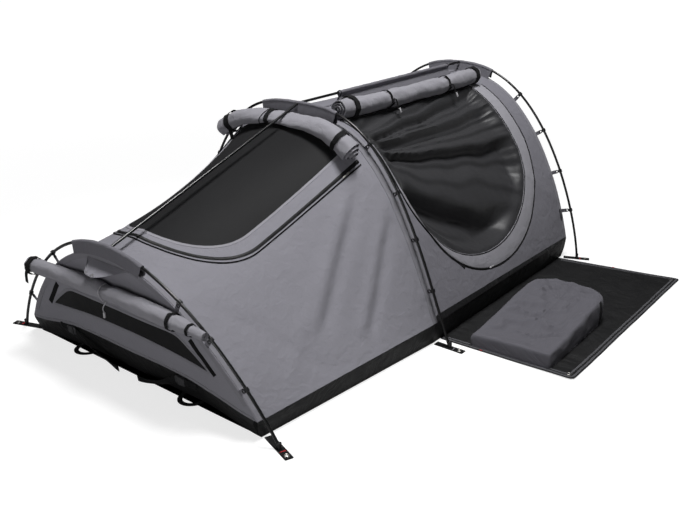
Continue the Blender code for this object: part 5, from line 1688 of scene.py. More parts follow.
@dataclass
class HeadCanopy:
    """The tall canvas section over the head, with its side door."""

    centre: float = 0.440
    half: float = 0.395
    top: float = 0.200
    knee: float = 0.550
    bottom: float = 0.860
    zip_centre: float = 0.478
    zip_half: float = 0.430
    zip_top: float = 0.220
    zip_knee: float = 0.510
    zip_bottom: float = 0.928
    skirt_mid: float = 0.034
    skirt_head: float = 0.014
    cloth_step: float = 0.015
    lining_step: float = 0.009
    zip_tail: tuple[tuple[float, float], ...] = ((0.216, -0.884), (0.299, -0.962))
    surface: CanopySurface = field(default_factory=lambda: CanopySurface(
        HEAD_SECTION,
        creases=(Crease((0.98, -0.72), (1.20, -0.90), 0.020, 0.0030),
                 Crease((0.10, -0.80), (0.40, -0.92), 0.018, 0.0030),
                 Crease((0.25, 0.30), (0.45, 0.85), 0.035, -0.0035),
                 Crease((0.80, 0.35), (0.95, 0.88), 0.030, -0.0030)),
        foot_clips=(0.320, 0.458, 0.567, 0.692), head_clips=(0.326, 0.477, 0.619, 0.752),
        seed=3.0))

    def upright_u(self, centre: float, half: float, top: float, knee: float,
                  bottom: float) -> np.ndarray:
        """
        A U that hangs down the near side.

        Args:
            centre: Its middle, as a share of the section's length.
            half: Half its width, as a share of the length.
            top: Where its sides begin, as a share of the girth.
            knee: Where its curve begins.
            bottom: Its lowest point.

        Returns:
            Flat points, from one side to the other.
        """
        length, girth = HEAD_SECTION.length, HEAD_SECTION.girth
        line = rounded_u(-top * girth, -knee * girth, -bottom * girth, half * length)
        return np.stack([centre * length - line[:, 1], line[:, 0]], axis=1)

    def upstand(self) -> bpy.types.Object:
        """
        The strip of black floor cloth that stands up under the door.

        Returns:
            The strip.
        """
        length, girth = HEAD_SECTION.length, HEAD_SECTION.girth
        low, ends = -girth + 0.001, (0.006, length - 0.006)
        skirt = np.array([(ends[0], low), (ends[1], low), (ends[1], -girth + self.skirt_head),
                          (ends[0], -girth + self.skirt_mid)])
        plain = CanopySurface(HEAD_SECTION, seed=8.0, breath=0.0006, lift=0.0022)
        coated, _ = lay_cloth("floor_upstand_near", plain, skirt, [], 0.014, 0.0016)
        return dress(coated, COATED)

    def build(self) -> None:
        """Cut the canvas and the door lining, and sew on zip, flap, tapes, hems and seam."""
        length, girth = HEAD_SECTION.length, HEAD_SECTION.girth
        door = self.upright_u(self.centre, self.half, self.top, self.knee, self.bottom)
        cloth, area = lay_cloth("head_canopy_cloth", self.surface,
                                oblong(TOUCH_GAP, length, girth), [door], self.cloth_step,
                                CANVAS_THICKNESS)
        # painted shade: the head canopy wears the darker copy of the canvas
        dress(cloth, CANVAS_HEAD_PAINTED_SHADE, stands_for=["head_canopy"])
        border = resample(door, 0.012, closed=True)
        lining_form = DoorSurface(HEAD_SECTION, border=tuple(map(tuple, border)),
                                  left=(self.centre - self.half) * length)
        lining, lining_area = lay_cloth("door_lining", lining_form, door, [], self.lining_step,
                                        MESH_THICKNESS)
        dress(lining, DOOR_CLOTH, stands_for=["door_mesh"])
        zip_line = self.upright_u(self.zip_centre, self.zip_half, self.zip_top, self.zip_knee,
                                  self.zip_bottom)
        flap = band_between("door_flap_band", self.surface, zip_line, door,
                            (0.0012, 0.0030, 0.0036, 0.0034, 0.0034, 0.0030, 0.0012))
        dress(flap, CANVAS_FLAP)
        edge = resample(door, 0.008, closed=True)
        edge = edge + unit(edge - edge.mean(axis=0)) * 0.004
        ridge = [(0.19 * length, 0.016), (0.92 * length, 0.016)]
        tape = [(length - 0.016, -0.945), (length - 0.013, -1.000)]
        trims = [flap, self.upstand()]
        trims += [trim(name, self.surface, np.array(line), profile, finish, closed)
                  for name, line, profile, finish, closed in (
                      ("door_zip_tail", self.zip_tail, SEAM_PROFILE, WEBBING, False),
                      ("head_hook_tape_near", tape, HEM_PROFILE, HOOK_TAPE, False),
                      ("door_zip", zip_line, COIL_PROFILE, ZIP, False),
                      ("door_edge_piping", edge, PIPING_PROFILE, PIPING, True))]
        trims += hems("head_canopy", self.surface, girth,
                      {"mid": TOUCH_GAP + HEM_INSET, "head": length - HEM_INSET})
        trims.append(trim("ridge_seam_far", self.surface, np.array(ridge), SEAM_PROFILE,
                          CANVAS_HEM))


# End walls

@dataclass
class EndWalls:
    """The canvas walls at both ends, and the foot window with its net and hook tapes."""

    seam_height: float = 0.122
    seam_flat: float = 0.47
    window_top_half: float = 0.300
    window_bottom_half: float = 0.450
    window_top: float = 0.290
    window_bottom: float = 0.182
    window_arc: float = 0.028
    corner: float = 0.030
    cloth_step: float = 0.014
    foot: WallSurface = field(default_factory=lambda: WallSurface(
        FOOT, 1.0, creases=(Crease((-0.10, 0.16), (-0.45, 0.11), 0.014, 0.0030),
                            Crease((0.10, 0.16), (0.42, 0.11), 0.014, 0.0026),
                            Crease((-0.20, 0.35), (-0.42, 0.25), 0.018, 0.0022),
                            Crease((0.20, 0.35), (0.42, 0.25), 0.018, 0.0022)), seed=2.0))
    head: WallSurface = field(default_factory=lambda: WallSurface(
        HEAD, -1.0, creases=(Crease((-0.15, 0.80), (-0.50, 0.20), 0.030, 0.0030),
                             Crease((0.12, 0.78), (0.48, 0.22), 0.030, 0.0030)), seed=6.0))

    def foot_seam(self, y: np.ndarray) -> np.ndarray:
        """
        Heights of the seam between the foot wall and the floor's black wall.

        Args:
            y: Places across the tent.

        Returns:
            The heights, level in the middle and rising to the rim beside the poles.
        """
        rim = FOOT.canvas(1.0)
        flat = self.seam_flat * rim[1]
        return blend(self.seam_height, rim[2], ease((np.abs(y) - flat) / (rim[1] - flat)))

    def outline(self, arch: Arch, seam: Callable[[np.ndarray], np.ndarray]) -> np.ndarray:
        """
        Border of a wall: over the arch, then back along the seam.

        Args:
            arch: The wall's arch.
            seam: Gives the seam's height for places across the tent.

        Returns:
            Flat points.
        """
        shares = np.linspace(-1.0, 1.0, 121)
        edge = arch.canvas(shares) + arch.canvas_normal(shares) * CANVAS_THICKNESS / 2.0
        rim = float(arch.canvas(1.0)[1])
        widths = np.linspace(rim, -rim, 61)[1:-1]
        return np.vstack([edge[:, 1:], np.stack([widths, seam(widths)], axis=1)])

    def window(self) -> np.ndarray:
        """
        Border of the long foot window, with its lower edge arched up in the middle.

        Returns:
            Flat points.
        """
        low, high = (self.window_bottom_half, self.window_bottom), (self.window_top_half,
                                                                    self.window_top)
        corners = np.array([(-low[0], low[1]), low, high, (-high[0], high[1])])
        line = resample(rounded(corners, [self.corner] * 4), 0.012, closed=True)
        share = (self.window_top - line[:, 1]) / (self.window_top - self.window_bottom)
        middle = 1.0 - (line[:, 0] / self.window_bottom_half) ** 2
        line[:, 1] += self.window_arc * np.clip(middle, 0.0, 1.0) * np.clip(share, 0.0, 1.0)
        return line

    def edge_hem(self, name: str, arch: Arch, wall: WallSurface) -> bpy.types.Object:
        """
        The hem of a wall, inside its arch and down to the floor's rim.

        Args:
            name: The arch's name.
            arch: The arch.
            wall: The wall.

        Returns:
            The hem.
        """
        shares = np.linspace(-0.98, 0.98, 120)
        edge = arch.canvas(shares) - arch.canvas_normal(shares) * HEM_INSET
        edge = edge[edge[:, 2] > 0.11][:, 1:]
        return trim(f"{name}_wall_edge_hem", wall, edge, HEM_PROFILE, CANVAS_HEM)

    def build(self) -> None:
        """Cut both walls and the foot window, and sew on seams, hems and hook tapes."""
        window = self.window()
        cloth, area = lay_cloth("foot_wall_cloth", self.foot, self.outline(FOOT, self.foot_seam),
                                [window], self.cloth_step, CANVAS_THICKNESS)
        dress(cloth, CANVAS, stands_for=["foot_end_wall"])
        net, net_area = lay_cloth("foot_window_netting", self.foot, window, [], self.cloth_step,
                                  MESH_THICKNESS)
        dress(net, NET, stands_for=["foot_window_mesh"])
        widths = np.linspace(-0.62, 0.62, 80)
        seam = np.stack([widths, self.foot_seam(widths) + 0.007], axis=1)
        foot_trims = [trim("foot_wall_low_seam", self.foot, seam, SEAM_PROFILE, CANVAS_HEM),
                      trim("foot_window_binding", self.foot, window, SEAM_PROFILE, CANVAS_HEM,
                           closed=True)]
        for side_name, side in SIDES:
            line = np.array([(side * 0.368, 0.292), (side * 0.462, 0.186)])
            foot_trims.append(trim(f"foot_hook_tape_{side_name}", self.foot, line, TAPE_PROFILE,
                                   HOOK_TAPE))
        cover, cover_area = lay_cloth("head_wall_cloth", self.head,
                                      self.outline(HEAD, lambda y: np.full_like(y, HEAD_SEAM)),
                                      [], 0.016, CANVAS_THICKNESS)
        dress(cover, CANVAS, stands_for=["head_end_wall"])
        foot_trims.append(self.edge_hem("foot", FOOT, self.foot))
        low = np.array([(-0.60, HEAD_SEAM + 0.007), (0.60, HEAD_SEAM + 0.007)])
        head_trims = [self.edge_hem("head", HEAD, self.head),
                      trim("head_wall_low_seam", self.head, low, SEAM_PROFILE, CANVAS_HEM)]
        wide = float(FOOT.canvas(1.0)[1]) * 2.0
        wide = float(HEAD.canvas(1.0)[1]) * 2.0


def rounded(corners: np.ndarray, radii: Sequence[float], steps: int = 8) -> np.ndarray:
    """
    Round the corners of a closed loop.

    Args:
        corners: Corners of the loop.
        radii: Distance from each corner at which its curve begins.
        steps: Pieces in each curve.

    Returns:
        The loop with curved corners.
    """
    found = []
    count = len(corners)
    for index, here in enumerate(corners):
        before = unit(corners[index - 1] - here) * radii[index]
        after = unit(corners[(index + 1) % count] - here) * radii[index]
        for share in np.linspace(0.0, 1.0, steps + 1):
            found.append(here + before * (1.0 - share) ** 2 + after * share ** 2)
    return np.array(found)


# Floor and mattress

@dataclass
class BucketFloor:
    """The black coated floor: a shallow tray whose walls carry the canvas."""

    thickness: float = 0.0025
    side_flare: float = 0.012
    foot_toe_x: float = -1.060
    corner_pull: float = 0.032
    head_flare: float = 0.020
    bulge: float = 0.0030
    buckle: float = 0.0022
    wall_rows: int = 9
    walls: EndWalls = field(default_factory=EndWalls)

    def foot_toe(self, y: np.ndarray) -> np.ndarray:
        """
        Foot-end ground line: straight, with its corners pulled to the pole feet.

        Args:
            y: Places across the tent.

        Returns:
            Points on the ground.
        """
        y = np.asarray(y, float)
        rim = float(FOOT.canvas(1.0)[1])
        share = ease((np.abs(y) / rim - self.walls.seam_flat) / (1.0 - self.walls.seam_flat))
        return np.stack([self.foot_toe_x - self.corner_pull * share, y, np.zeros_like(y)], -1)

    def loop(self) -> tuple[np.ndarray, np.ndarray]:
        """
        Rim and toe points once round the floor, anticlockwise seen from above.

        Returns:
            The rim's points and the toe's points.
        """
        sides = []
        for side in (-1.0, 1.0):
            along = np.linspace(0.0, 1.0, 44)
            across = np.full_like(along, side)
            rim = np.vstack([FOOT_SECTION.point(along, across),
                             HEAD_SECTION.point(along, across)[1:]])
            toe = rim * [1.0, 1.0, 0.0] - [0.0, side * self.side_flare, 0.0]
            toe[0] = self.foot_toe(np.array(toe[0, 1]))
            toe[-1, 0] = HEAD.x - self.head_flare
            sides.append((rim, toe))
        out_of_wall = TOUCH_GAP + CANVAS_THICKNESS / 2.0
        head_half, foot_half = float(HEAD.canvas(1.0)[1]), float(FOOT.canvas(1.0)[1])
        y = np.linspace(-head_half, head_half, 60)[1:-1]
        head_rim = HEAD.in_plane(y, HEAD_SEAM) - HEAD.plane_normal * out_of_wall
        head_toe = np.stack([np.full_like(y, HEAD.x - self.head_flare), y, np.zeros_like(y)], -1)
        y = np.linspace(foot_half, -foot_half, 60)[1:-1]
        foot_rim = FOOT.in_plane(y, self.walls.foot_seam(y)) + FOOT.plane_normal * out_of_wall
        rims = np.vstack([sides[0][0], head_rim, sides[1][0][::-1], foot_rim])
        toes = np.vstack([sides[0][1], head_toe, sides[1][1][::-1], self.foot_toe(y)])
        return rims, toes

    def build(self) -> None:
        """Shape the walls with soft buckles, fold the rim and close the floor."""
        rims, toes = self.loop()
        rims = rims - [0.0, 0.0, 0.0008]
        outwards = unit(np.cross(np.roll(toes, -1, 0) - np.roll(toes, 1, 0), [0.0, 0.0, 1.0]))
        reach = np.cumsum(np.linalg.norm(np.diff(toes, axis=0, prepend=toes[-1:]), axis=1))
        half = outwards * self.thickness / 2.0
        outside, inner, flat = [], [], []
        for share in np.linspace(0.0, 1.0, self.wall_rows):
            wave = self.buckle * ripple(reach / 0.21, np.full_like(reach, share * 0.9), 7.0)
            wave = (wave + self.bulge) * math.sin(math.pi * share)
            middle = blend(toes, rims, share) + outwards * wave[:, None]
            outside.append(middle + half)
            inner.append(middle - half)
            flat.append(np.stack([reach, np.full_like(reach, share * 0.09)], axis=1))
        inner[0] = inner[0] - half + [0.0, 0.0, self.thickness]
        grid = np.stack(outside + inner[::-1], axis=0)
        grid[0, :, 2] = 0.0
        rings, count = grid.shape[:2]
        faces = [(r * count + i, r * count + (i + 1) % count, (r + 1) * count + (i + 1) % count,
                  (r + 1) * count + i) for r in range(rings - 1) for i in range(count)]
        faces += [tuple(range(count)), tuple((rings - 1) * count + i for i in range(count))]
        uv = np.vstack(flat + flat[::-1])
        made = finish_mesh("floor_tray", grid.reshape(-1, 3), faces, uv, 40.0)
        dress(made, COATED, stands_for=["tub_floor"])


@dataclass
class FoamMattress:
    """The foam mattress in its cover, lying in the floor tray."""

    corner: float = 0.05
    sag: float = 0.0012
    rings: tuple[tuple[float, float], ...] = (
        (0.012, 0.0), (0.002, 0.12), (0.0, 0.3), (0.001, 0.62), (0.003, 0.82), (0.009, 0.95),
        (0.020, 1.0), (0.060, 1.0), (0.16, 0.99), (0.30, 0.985), (0.45, 0.985))

    def build(self) -> None:
        """Loft the mattress from its lower edge over the crown, with shallow quilting."""
        low, high = (np.array(corner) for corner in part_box("mattress"))
        size = (high - low)[:2]
        corners = np.array([(-0.5, -0.5), (0.5, -0.5), (0.5, 0.5), (-0.5, 0.5)]) * size
        outline = resample(rounded(corners, [self.corner] * 4), 0.02, closed=True)
        grid = []
        for inset, share in self.rings:
            line = outline * (1.0 - 2.0 * inset / size) + [(high[0] + low[0]) / 2.0, 0.0]
            sag = self.sag * ripple(line[:, 0] / 0.3, line[:, 1] / 0.3, 8.0)
            height = np.full(len(outline), low[2] + (high[2] - low[2] - 0.0015) * share)
            height = np.minimum(height + sag * (share > 0.9), high[2])
            grid.append(np.column_stack([line, height]))
        grid = np.stack(grid)
        flat = grid[:, :, :2] + grid[:, :, 2:] * [0.0, 1.0]
        made = skin("foam_mattress", grid, flat, False, False, 60.0)
        dress(made, COVER, stands_for=["mattress"])


# Poles and sleeves

def ridge_line(section: Section, start_side: float) -> tuple[np.ndarray, np.ndarray]:
    """
    Both ends of a ridge pole's middle line, between the arch poles.

    Args:
        section: The section that it crosses.
        start_side: How far from the ridge its foot end lies, towards the near side.

    Returns:
        The ends.
    """
    lean = math.asin(start_side / section.foot_side.half_span) / (math.pi / 2.0)
    return section.foot_side.pole_point(-lean), section.head_side.pole_point(0.0)


@dataclass
class PoleFrame:
    """Three bent poles, two ridge poles, and the canvas sleeves that hold their crowns."""

    radius: float = POLE_RADIUS
    sides: int = 20
    foot_height: float = 0.0033
    sleeve_turn: float = 0.17
    sleeve_flange: float = 0.017
    sleeve_cloth: float = 0.0018
    raise_by: float = CANVAS_THICKNESS / 2.0 + 0.0012
    wrap: tuple[float, float] = (205.0, -25.0)
    slack: float = 0.0028
    pucker: float = 0.0007
    pucker_pitch: float = 0.035

    def arch_pole(self, name: str, arch: Arch) -> None:
        """
        One bent pole, standing on its two tabs.

        Args:
            name: The arch's name.
            arch: The arch.
        """
        path = arch.pole_point(np.linspace(-1.0, 1.0, 241))
        path = path[path[:, 2] > 0.015]
        ends = [arch.in_plane(side * arch.half_span, self.foot_height) for side in (-1.0, 1.0)]
        path = resample(np.vstack([ends[0], path, ends[1]]), 0.010)
        dress(tube(f"{name}_bent_tube", path, self.radius, self.sides), LACQUER,
              stands_for=[f"{name}_arch_pole"])

    def ridge_pole(self, name: str, section: Section, start_side: float) -> None:
        """
        A straight ridge pole between two crown sleeves.

        Args:
            name: The section's name.
            section: The section.
            start_side: How far from the ridge its foot end lies.
        """
        low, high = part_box(f"ridge_pole_{name}")
        start, end = ridge_line(section, start_side)
        shares = [(x - start[0]) / (end[0] - start[0]) for x in (low[0] + 0.002, high[0] - 0.002)]
        path = np.array([blend(start, end, share) for share in np.linspace(*shares, 60)])
        dress(tube(f"ridge_{name}_tube", path, self.radius, self.sides), LACQUER,
              stands_for=[f"ridge_pole_{name}"])

    def sleeve(self, name: str, node: str, centres: np.ndarray, ups: np.ndarray,
               asides: np.ndarray, left: np.ndarray, right: np.ndarray) -> bpy.types.Object:
        """
        Canvas wrapped over a pole and sewn down at both sides.

        Args:
            name: Name of the piece.
            node: The CAD node that it replaces.
            centres: Points on the pole's middle line.
            ups: Directions away from the tent.
            asides: Directions across the pole.
            left: Seam points on the first side.
            right: Seam points on the other side.

        Returns:
            The sleeve.
        """
        outer = self.radius + self.slack
        angles = np.radians(np.linspace(*self.wrap, 17))[None, :, None]
        reach = reach_along(centres)
        pucker = self.pucker * ripple(reach / self.pucker_pitch, np.zeros_like(reach), 9.0)
        over = (centres[:, None, :] + asides[:, None, :] * np.cos(angles) * outer
                + ups[:, None, :] * np.sin(angles) * (outer + pucker)[:, None, None])
        shares = np.linspace(0.0, 0.92, 6)[None, :, None]
        first = blend(left[:, None, :], over[:, :1, :], shares)
        last = blend(right[:, None, :], over[:, -1:, :], shares)[:, ::-1]
        top = np.concatenate([first, over, last], axis=1)
        normals = unit(np.cross(np.gradient(top, axis=1), np.gradient(top, axis=0)))
        outward = np.sum(normals * ups[:, None, :], axis=2, keepdims=True)
        facing = np.sign(outward.sum(1, keepdims=True))
        below = top - normals * facing * self.sleeve_cloth
        grid = np.concatenate([top, below[:, ::-1]], axis=1)
        half = np.linspace(-0.5, 0.5, top.shape[1])
        girth = np.concatenate([half, half[::-1]]) * 0.075
        made = skin(name, grid, flat_grid(reach, girth), False, True, 60.0)
        # painted shade: the sleeve wears the darkened copy of the canvas
        dress(made, CANVAS_SLEEVE_PAINTED_SHADE, stands_for=[node])
        return made

    def crown_sleeve(self, name: str, arch: Arch, foot_side: Section | None,
                     head_side: Section | None) -> None:
        """
        A sleeve over an arch pole's crown, sewn to the canopies on both sides.

        Args:
            name: The arch's name.
            arch: The arch.
            foot_side: The section on the pole's foot side.
            head_side: The section on its head side.
        """
        turns = np.linspace(-self.sleeve_turn, self.sleeve_turn, 49)
        ups = arch.pole_normal(turns)
        asides = unit(np.array([1.0, 0.0, 0.0]) - ups * ups[:, :1])
        across = turns / arch.rim_turn
        edge = arch.canvas(across)
        left, right = edge - asides * self.sleeve_flange, edge + asides * self.sleeve_flange
        if foot_side is not None:
            share = np.full_like(across, 1.0 - self.sleeve_flange / foot_side.length)
            left = foot_side.point(share, across)
        if head_side is not None:
            share = np.full_like(across, self.sleeve_flange / head_side.length)
            right = head_side.point(share, across)
        self.sleeve(f"{name}_crown_sleeve", f"{name}_arch_sleeve", arch.pole_point(turns), ups,
                    asides, left + ups * self.raise_by, right + ups * self.raise_by)

    def ridge_sleeve(self) -> None:
        """The long sleeve round the head ridge pole, with its piped end."""
        start, end = ridge_line(HEAD_SECTION, 0.0)
        shares = np.linspace(0.205, 0.905, 90)
        centres = np.array([blend(start, end, share) for share in shares])
        along = unit(end - start)
        up = unit(-np.cross([0.0, 1.0, 0.0], along))
        ups = np.tile(up, (len(shares), 1))
        asides = np.tile([0.0, 1.0, 0.0], (len(shares), 1))
        reach = 0.016 / HEAD_SECTION.girth
        lift = up * self.raise_by
        left = HEAD_SECTION.point(shares, np.full_like(shares, -reach)) + lift
        right = HEAD_SECTION.point(shares, np.full_like(shares, reach)) + lift
        self.sleeve("ridge_pole_sleeve", "ridge_sleeve", centres, ups, asides, right, left)
        outer = self.radius + 0.0034
        angles = np.radians(np.linspace(*self.wrap, 24))[::-1, None]
        for name, index in (("mid", 1), ("head", -2)):
            arc = (centres[index] + asides[index] * np.cos(angles) * outer
                   + up * np.sin(angles) * outer)
            line = np.vstack([left[index], arc, right[index]])
            dress(tube(f"ridge_sleeve_{name}_piping", resample(line, 0.003), 0.0018, 8), PIPING)

    def build(self) -> None:
        """Build poles and sleeves."""
        for name, arch in (("foot", FOOT), ("mid", MID), ("head", HEAD)):
            self.arch_pole(name, arch)
        self.ridge_pole("foot", FOOT_SECTION, FOOT_RIDGE_SIDE)
        self.ridge_pole("head", HEAD_SECTION, 0.0)
        self.crown_sleeve("foot", FOOT, None, FOOT_SECTION)
        self.crown_sleeve("mid", MID, FOOT_SECTION, HEAD_SECTION)
        self.crown_sleeve("head", HEAD, HEAD_SECTION, None)
        self.ridge_sleeve()


@dataclass
class PoleClips:
    """Snap hooks on webbing tabs, that hold the canvas edges to the poles."""

    width: float = 0.014
    hook_radius: float = 0.0090
    hook_wall: float = 0.0030
    eye_radius: float = 0.0062
    eye_wire: float = 0.0022
    eye_reach: float = 0.0088
    tab_width: float = 0.018
    tab_thickness: float = 0.0018
    sewn: float = 0.014
    places: dict[str, tuple[Arch, tuple[float, ...]]] = field(default_factory=lambda: {
        "foot": (FOOT, (0.325, 0.460, 0.640)),
        "mid": (MID, (0.320, 0.458, 0.567, 0.692)),
        "head": (HEAD, (0.326, 0.477, 0.619, 0.752))})

    def model_hook(self) -> bpy.types.Object:
        """
        The snap hook: its pole runs along z, and the canvas lies towards -x.

        Returns:
            The hook.
        """
        start_alone()
        bpy.ops.mesh.primitive_cylinder_add(vertices=28, radius=self.hook_radius,
                                            depth=self.width, end_fill_type="NOTHING")
        shell = bpy.context.object
        shape_faces(shell, lambda middle, normal: middle.x > 0.25 * self.hook_radius
                    and middle.y > 0.45 * self.hook_radius,
                    (bpy.ops.mesh.delete, {"type": "FACE"}))
        apply_modifier(shell, "SOLIDIFY", thickness=self.hook_wall, offset=-1.0)
        bevel(shell, 0.0006)
        neck = block("neck", (0.006, 0.0052, 0.0105), (-self.hook_radius - 0.0018, 0.0, 0.0),
                     0.0012)
        eye = stand_on_edge(ring("eye", self.eye_radius, self.eye_wire, 1.25),
                            (-self.hook_radius - self.eye_reach, 0.0, 0.0))
        return smooth(join("clip_pattern", [shell, neck, eye]), 40.0)

    def build(self) -> None:
        """Copy the hook to each place and sew its webbing tab to the canvas."""
        pattern = self.model_hook()
        for title, (arch, turns) in self.places.items():
            for side_name, side in SIDES:
                for number, turn in enumerate(turns, start=1):
                    name = f"{title}_clip_{side_name}_{number}"
                    span = np.linspace(-0.02, 0.02, 81) + side * turn
                    aside = arch.pole_point(span) - middle_of(name)
                    best = span[int(np.argmin(np.linalg.norm(aside[:, 1:], axis=1)))]
                    self.fasten(pattern, name, arch, float(best))
        bpy.data.objects.remove(pattern, do_unlink=True)

    def fasten(self, pattern: bpy.types.Object, name: str, arch: Arch, turn: float) -> None:
        """
        Put one clip on a pole and sew its tab to the canvas.

        Args:
            pattern: The modelled hook.
            name: The CAD node that it replaces.
            arch: The pole that carries it.
            turn: Where on the pole it sits.
        """
        centre = arch.pole_point(turn)
        out = arch.pole_normal(turn)
        aside = arch.plane_normal
        hook = put(copy_of(pattern, f"{name}_hook"), centre, out, aside)
        dress(hook, MOULDED, stands_for=[name])
        along = np.cross(out, aside)
        reach = float(arch.standoff(turn))
        start = self.hook_radius + self.eye_reach + self.eye_radius * 0.6
        inner = centre - out * reach
        tab = strap(f"{name}_tab", np.array([centre - out * start, inner + out * 0.002,
                                             inner - out * self.sewn]), along, self.tab_width,
                    self.tab_thickness)
        dress(tab, WEBBING_GREY)


# Rolled-up flaps

@dataclass
class Roll:
    """A rolled flap: its middle line, directions and sizes along its length."""

    name: str
    centres: np.ndarray
    across: np.ndarray
    ups: np.ndarray
    shares: np.ndarray
    squashes: np.ndarray
    radius: float
    turn_side: float
    seed: float
    turns: float = 3.4
    cloth: float = 0.0030
    step_in: float = 0.012
    wrinkle: float = 0.095
    cinches: tuple[tuple[float, float], ...] = ()
    cinch_reach: float = 0.020
    pleat: float = 0.042
    start_turn: float = 0.0

    @cached_property
    def reach(self) -> np.ndarray:
        """Length along the roll at each station."""
        return reach_along(self.centres)

    @cached_property
    def numbers(self) -> np.ndarray:
        """Numbers of the stations."""
        return np.arange(len(self.reach))

    def station(self, share: Numbers, aside: Numbers = 0.0) -> np.ndarray:
        """Station at a share of the roll's length, moved along by metres."""
        return np.interp(share * self.reach[-1] + aside, self.reach, self.numbers)

    def scale(self, stations: np.ndarray, angles: np.ndarray) -> np.ndarray:
        """
        Share of the radius, with wrinkles and tied waists.

        Args:
            stations: Places along the roll, in station numbers.
            angles: Places round it.

        Returns:
            The shares.
        """
        reach = np.interp(stations, self.numbers, self.reach)
        soft = self.wrinkle * ripple(reach / 0.13 + 0.35 * np.sin(angles),
                                     0.55 * np.cos(angles) + 0.2 * np.sin(2 * angles), self.seed)
        slant = reach / 0.055 + 1.7 * np.sin(angles + self.seed) + 0.6 * np.cos(2.0 * angles)
        soft = soft + 0.35 * self.wrinkle * np.sin(slant) * np.clip(
            0.4 + ripple(reach / 0.10, np.cos(angles), self.seed + 5.0), 0.0, 1.2)
        pleats = np.zeros(np.broadcast(reach, angles).shape)
        waist = np.zeros_like(pleats)
        for share, depth in self.cinches:
            aside = (reach - share * self.reach[-1]) / self.cinch_reach
            near = np.exp(-aside ** 2)
            waist = waist + depth * near
            fan = np.exp(-(aside / 2.4) ** 2) - 0.7 * near
            pleats = pleats + self.pleat * fan * np.cos(7.0 * angles + 3.0 * self.seed)
        return 1.0 + soft - waist + pleats

    def shell(self, stations: np.ndarray, angles: np.ndarray, radii: np.ndarray) -> np.ndarray:
        """
        Points of the roll.

        Args:
            stations: Places along the roll, in station numbers.
            angles: Places round it.
            radii: Distances from its middle, before wrinkles.

        Returns:
            The points.
        """
        middle, aside, up = (columns_at(stations, self.numbers, rows)
                             for rows in (self.centres, self.across, self.ups))
        share = np.interp(stations, self.numbers, self.shares)
        squash = np.interp(stations, self.numbers, self.squashes)
        real = radii * self.scale(stations, angles)
        return (middle + aside * (real * share * np.cos(angles))[..., None]
                + up * (real * squash * np.sin(angles))[..., None])

    def build(self, nodes: Sequence[str], finish: Finish, rests_on: Sequence[str]
              ) -> bpy.types.Object:
        """
        Roll up the cloth.

        Args:
            nodes: CAD nodes that it replaces.
            finish: Its finish.
            rests_on: What it lies on; not used.

        Returns:
            The rolled flap.
        """
        per_turn = 30
        steps = np.arange(int(self.turns * per_turn) + 1) / per_turn
        pitch = (self.radius - self.cloth - 0.004) / self.turns
        outer = self.radius - pitch * steps
        angles = self.turn_side * 2.0 * math.pi * (steps + self.start_turn)
        all_angles = np.concatenate([angles, angles[::-1]])
        radii = np.concatenate([outer, (outer - self.cloth)[::-1]])
        last = len(self.reach) - 1.0
        depth = np.concatenate([steps, steps[::-1]]) / steps[-1]
        begin = (1.0 - depth) * self.step_in / self.reach[-1] * last
        share = np.linspace(0.0, 1.0, len(self.reach))[:, None]
        stations = begin[None, :] + share * (last - begin[None, :])
        grid = self.shell(stations, np.broadcast_to(all_angles, stations.shape),
                          np.broadcast_to(radii, stations.shape))
        wound = np.concatenate([[0.0], np.cumsum(np.abs(np.diff(angles)) * outer[1:])])
        uv = flat_grid(self.reach, np.concatenate([wound, wound[::-1]]))
        made = skin(self.name, grid, uv, False, True, 70.0)
        dress(made, finish, stands_for=nodes)
        return made

    def band(self, name: str, share: float, width: float, finish: Finish, thickness: float = 0.002,
             start: float = 0.0, end: float = 360.0, lean: float = 0.0) -> bpy.types.Object:
        """
        A strap tied round the roll.

        Args:
            name: Name of the strap.
            share: Where on the roll it sits, 0 to 1.
            width: Its width along the roll.
            finish: Its finish.
            thickness: Its thickness.
            start: Angle in degrees where it begins, from the across direction to up.
            end: Angle where it ends.
            lean: How far along the roll its end lies from its start.

        Returns:
            The strap.
        """
        angles = np.radians(np.linspace(start, end, 73))
        turn = np.linspace(-0.5, 0.5, 73)
        sides = np.linspace(-0.5, 0.5, 4)
        rings = [self.shell(self.station(share, side * width + turn * lean), angles,
                            np.full_like(angles, self.radius + lift))
                 for places, lift in ((sides, 0.0008 + thickness), (sides[::-1], 0.0004))
                 for side in places]
        grid = np.stack(rings, axis=1)
        uv = flat_grid(angles * self.radius, np.concatenate([sides, sides[::-1]]) * width)
        whole = abs(end - start) >= 359.9 and lean == 0.0
        if whole:
            grid, uv = grid[:-1], uv[:-1]
        return dress(skin(name, grid, uv, whole, True, 50.0), finish)

    def outside(self, share: float, degrees: float, lift: float = 0.0) -> np.ndarray:
        """A point on the roll's skin, at a share of its length and an angle."""
        return self.shell(self.station(share), np.array(math.radians(degrees)),
                          np.array(self.radius + lift))


def laid_on(section: Section, along: np.ndarray, across: np.ndarray, next_along: np.ndarray,
            next_across: np.ndarray) -> tuple[np.ndarray, np.ndarray, np.ndarray]:
    """
    Frames along a line on a section's canvas.

    Args:
        section: The section.
        along: Shares of its length at the line's points.
        across: Shares of its girth at them.
        next_along: Shares of the length at the places that the frames look at.
        next_across: Shares of the girth there.

    Returns:
        The line's points, the directions out of the canvas, and those along it.
    """
    flat = np.stack([along * section.length, across * section.girth], axis=-1)
    ups = CanopySurface(section).normal(flat)
    base = section.point(along, across)
    ahead = section.point(next_along, next_across) - base
    return base, ups, unit(ahead - ups * np.sum(ahead * ups, axis=1, keepdims=True))


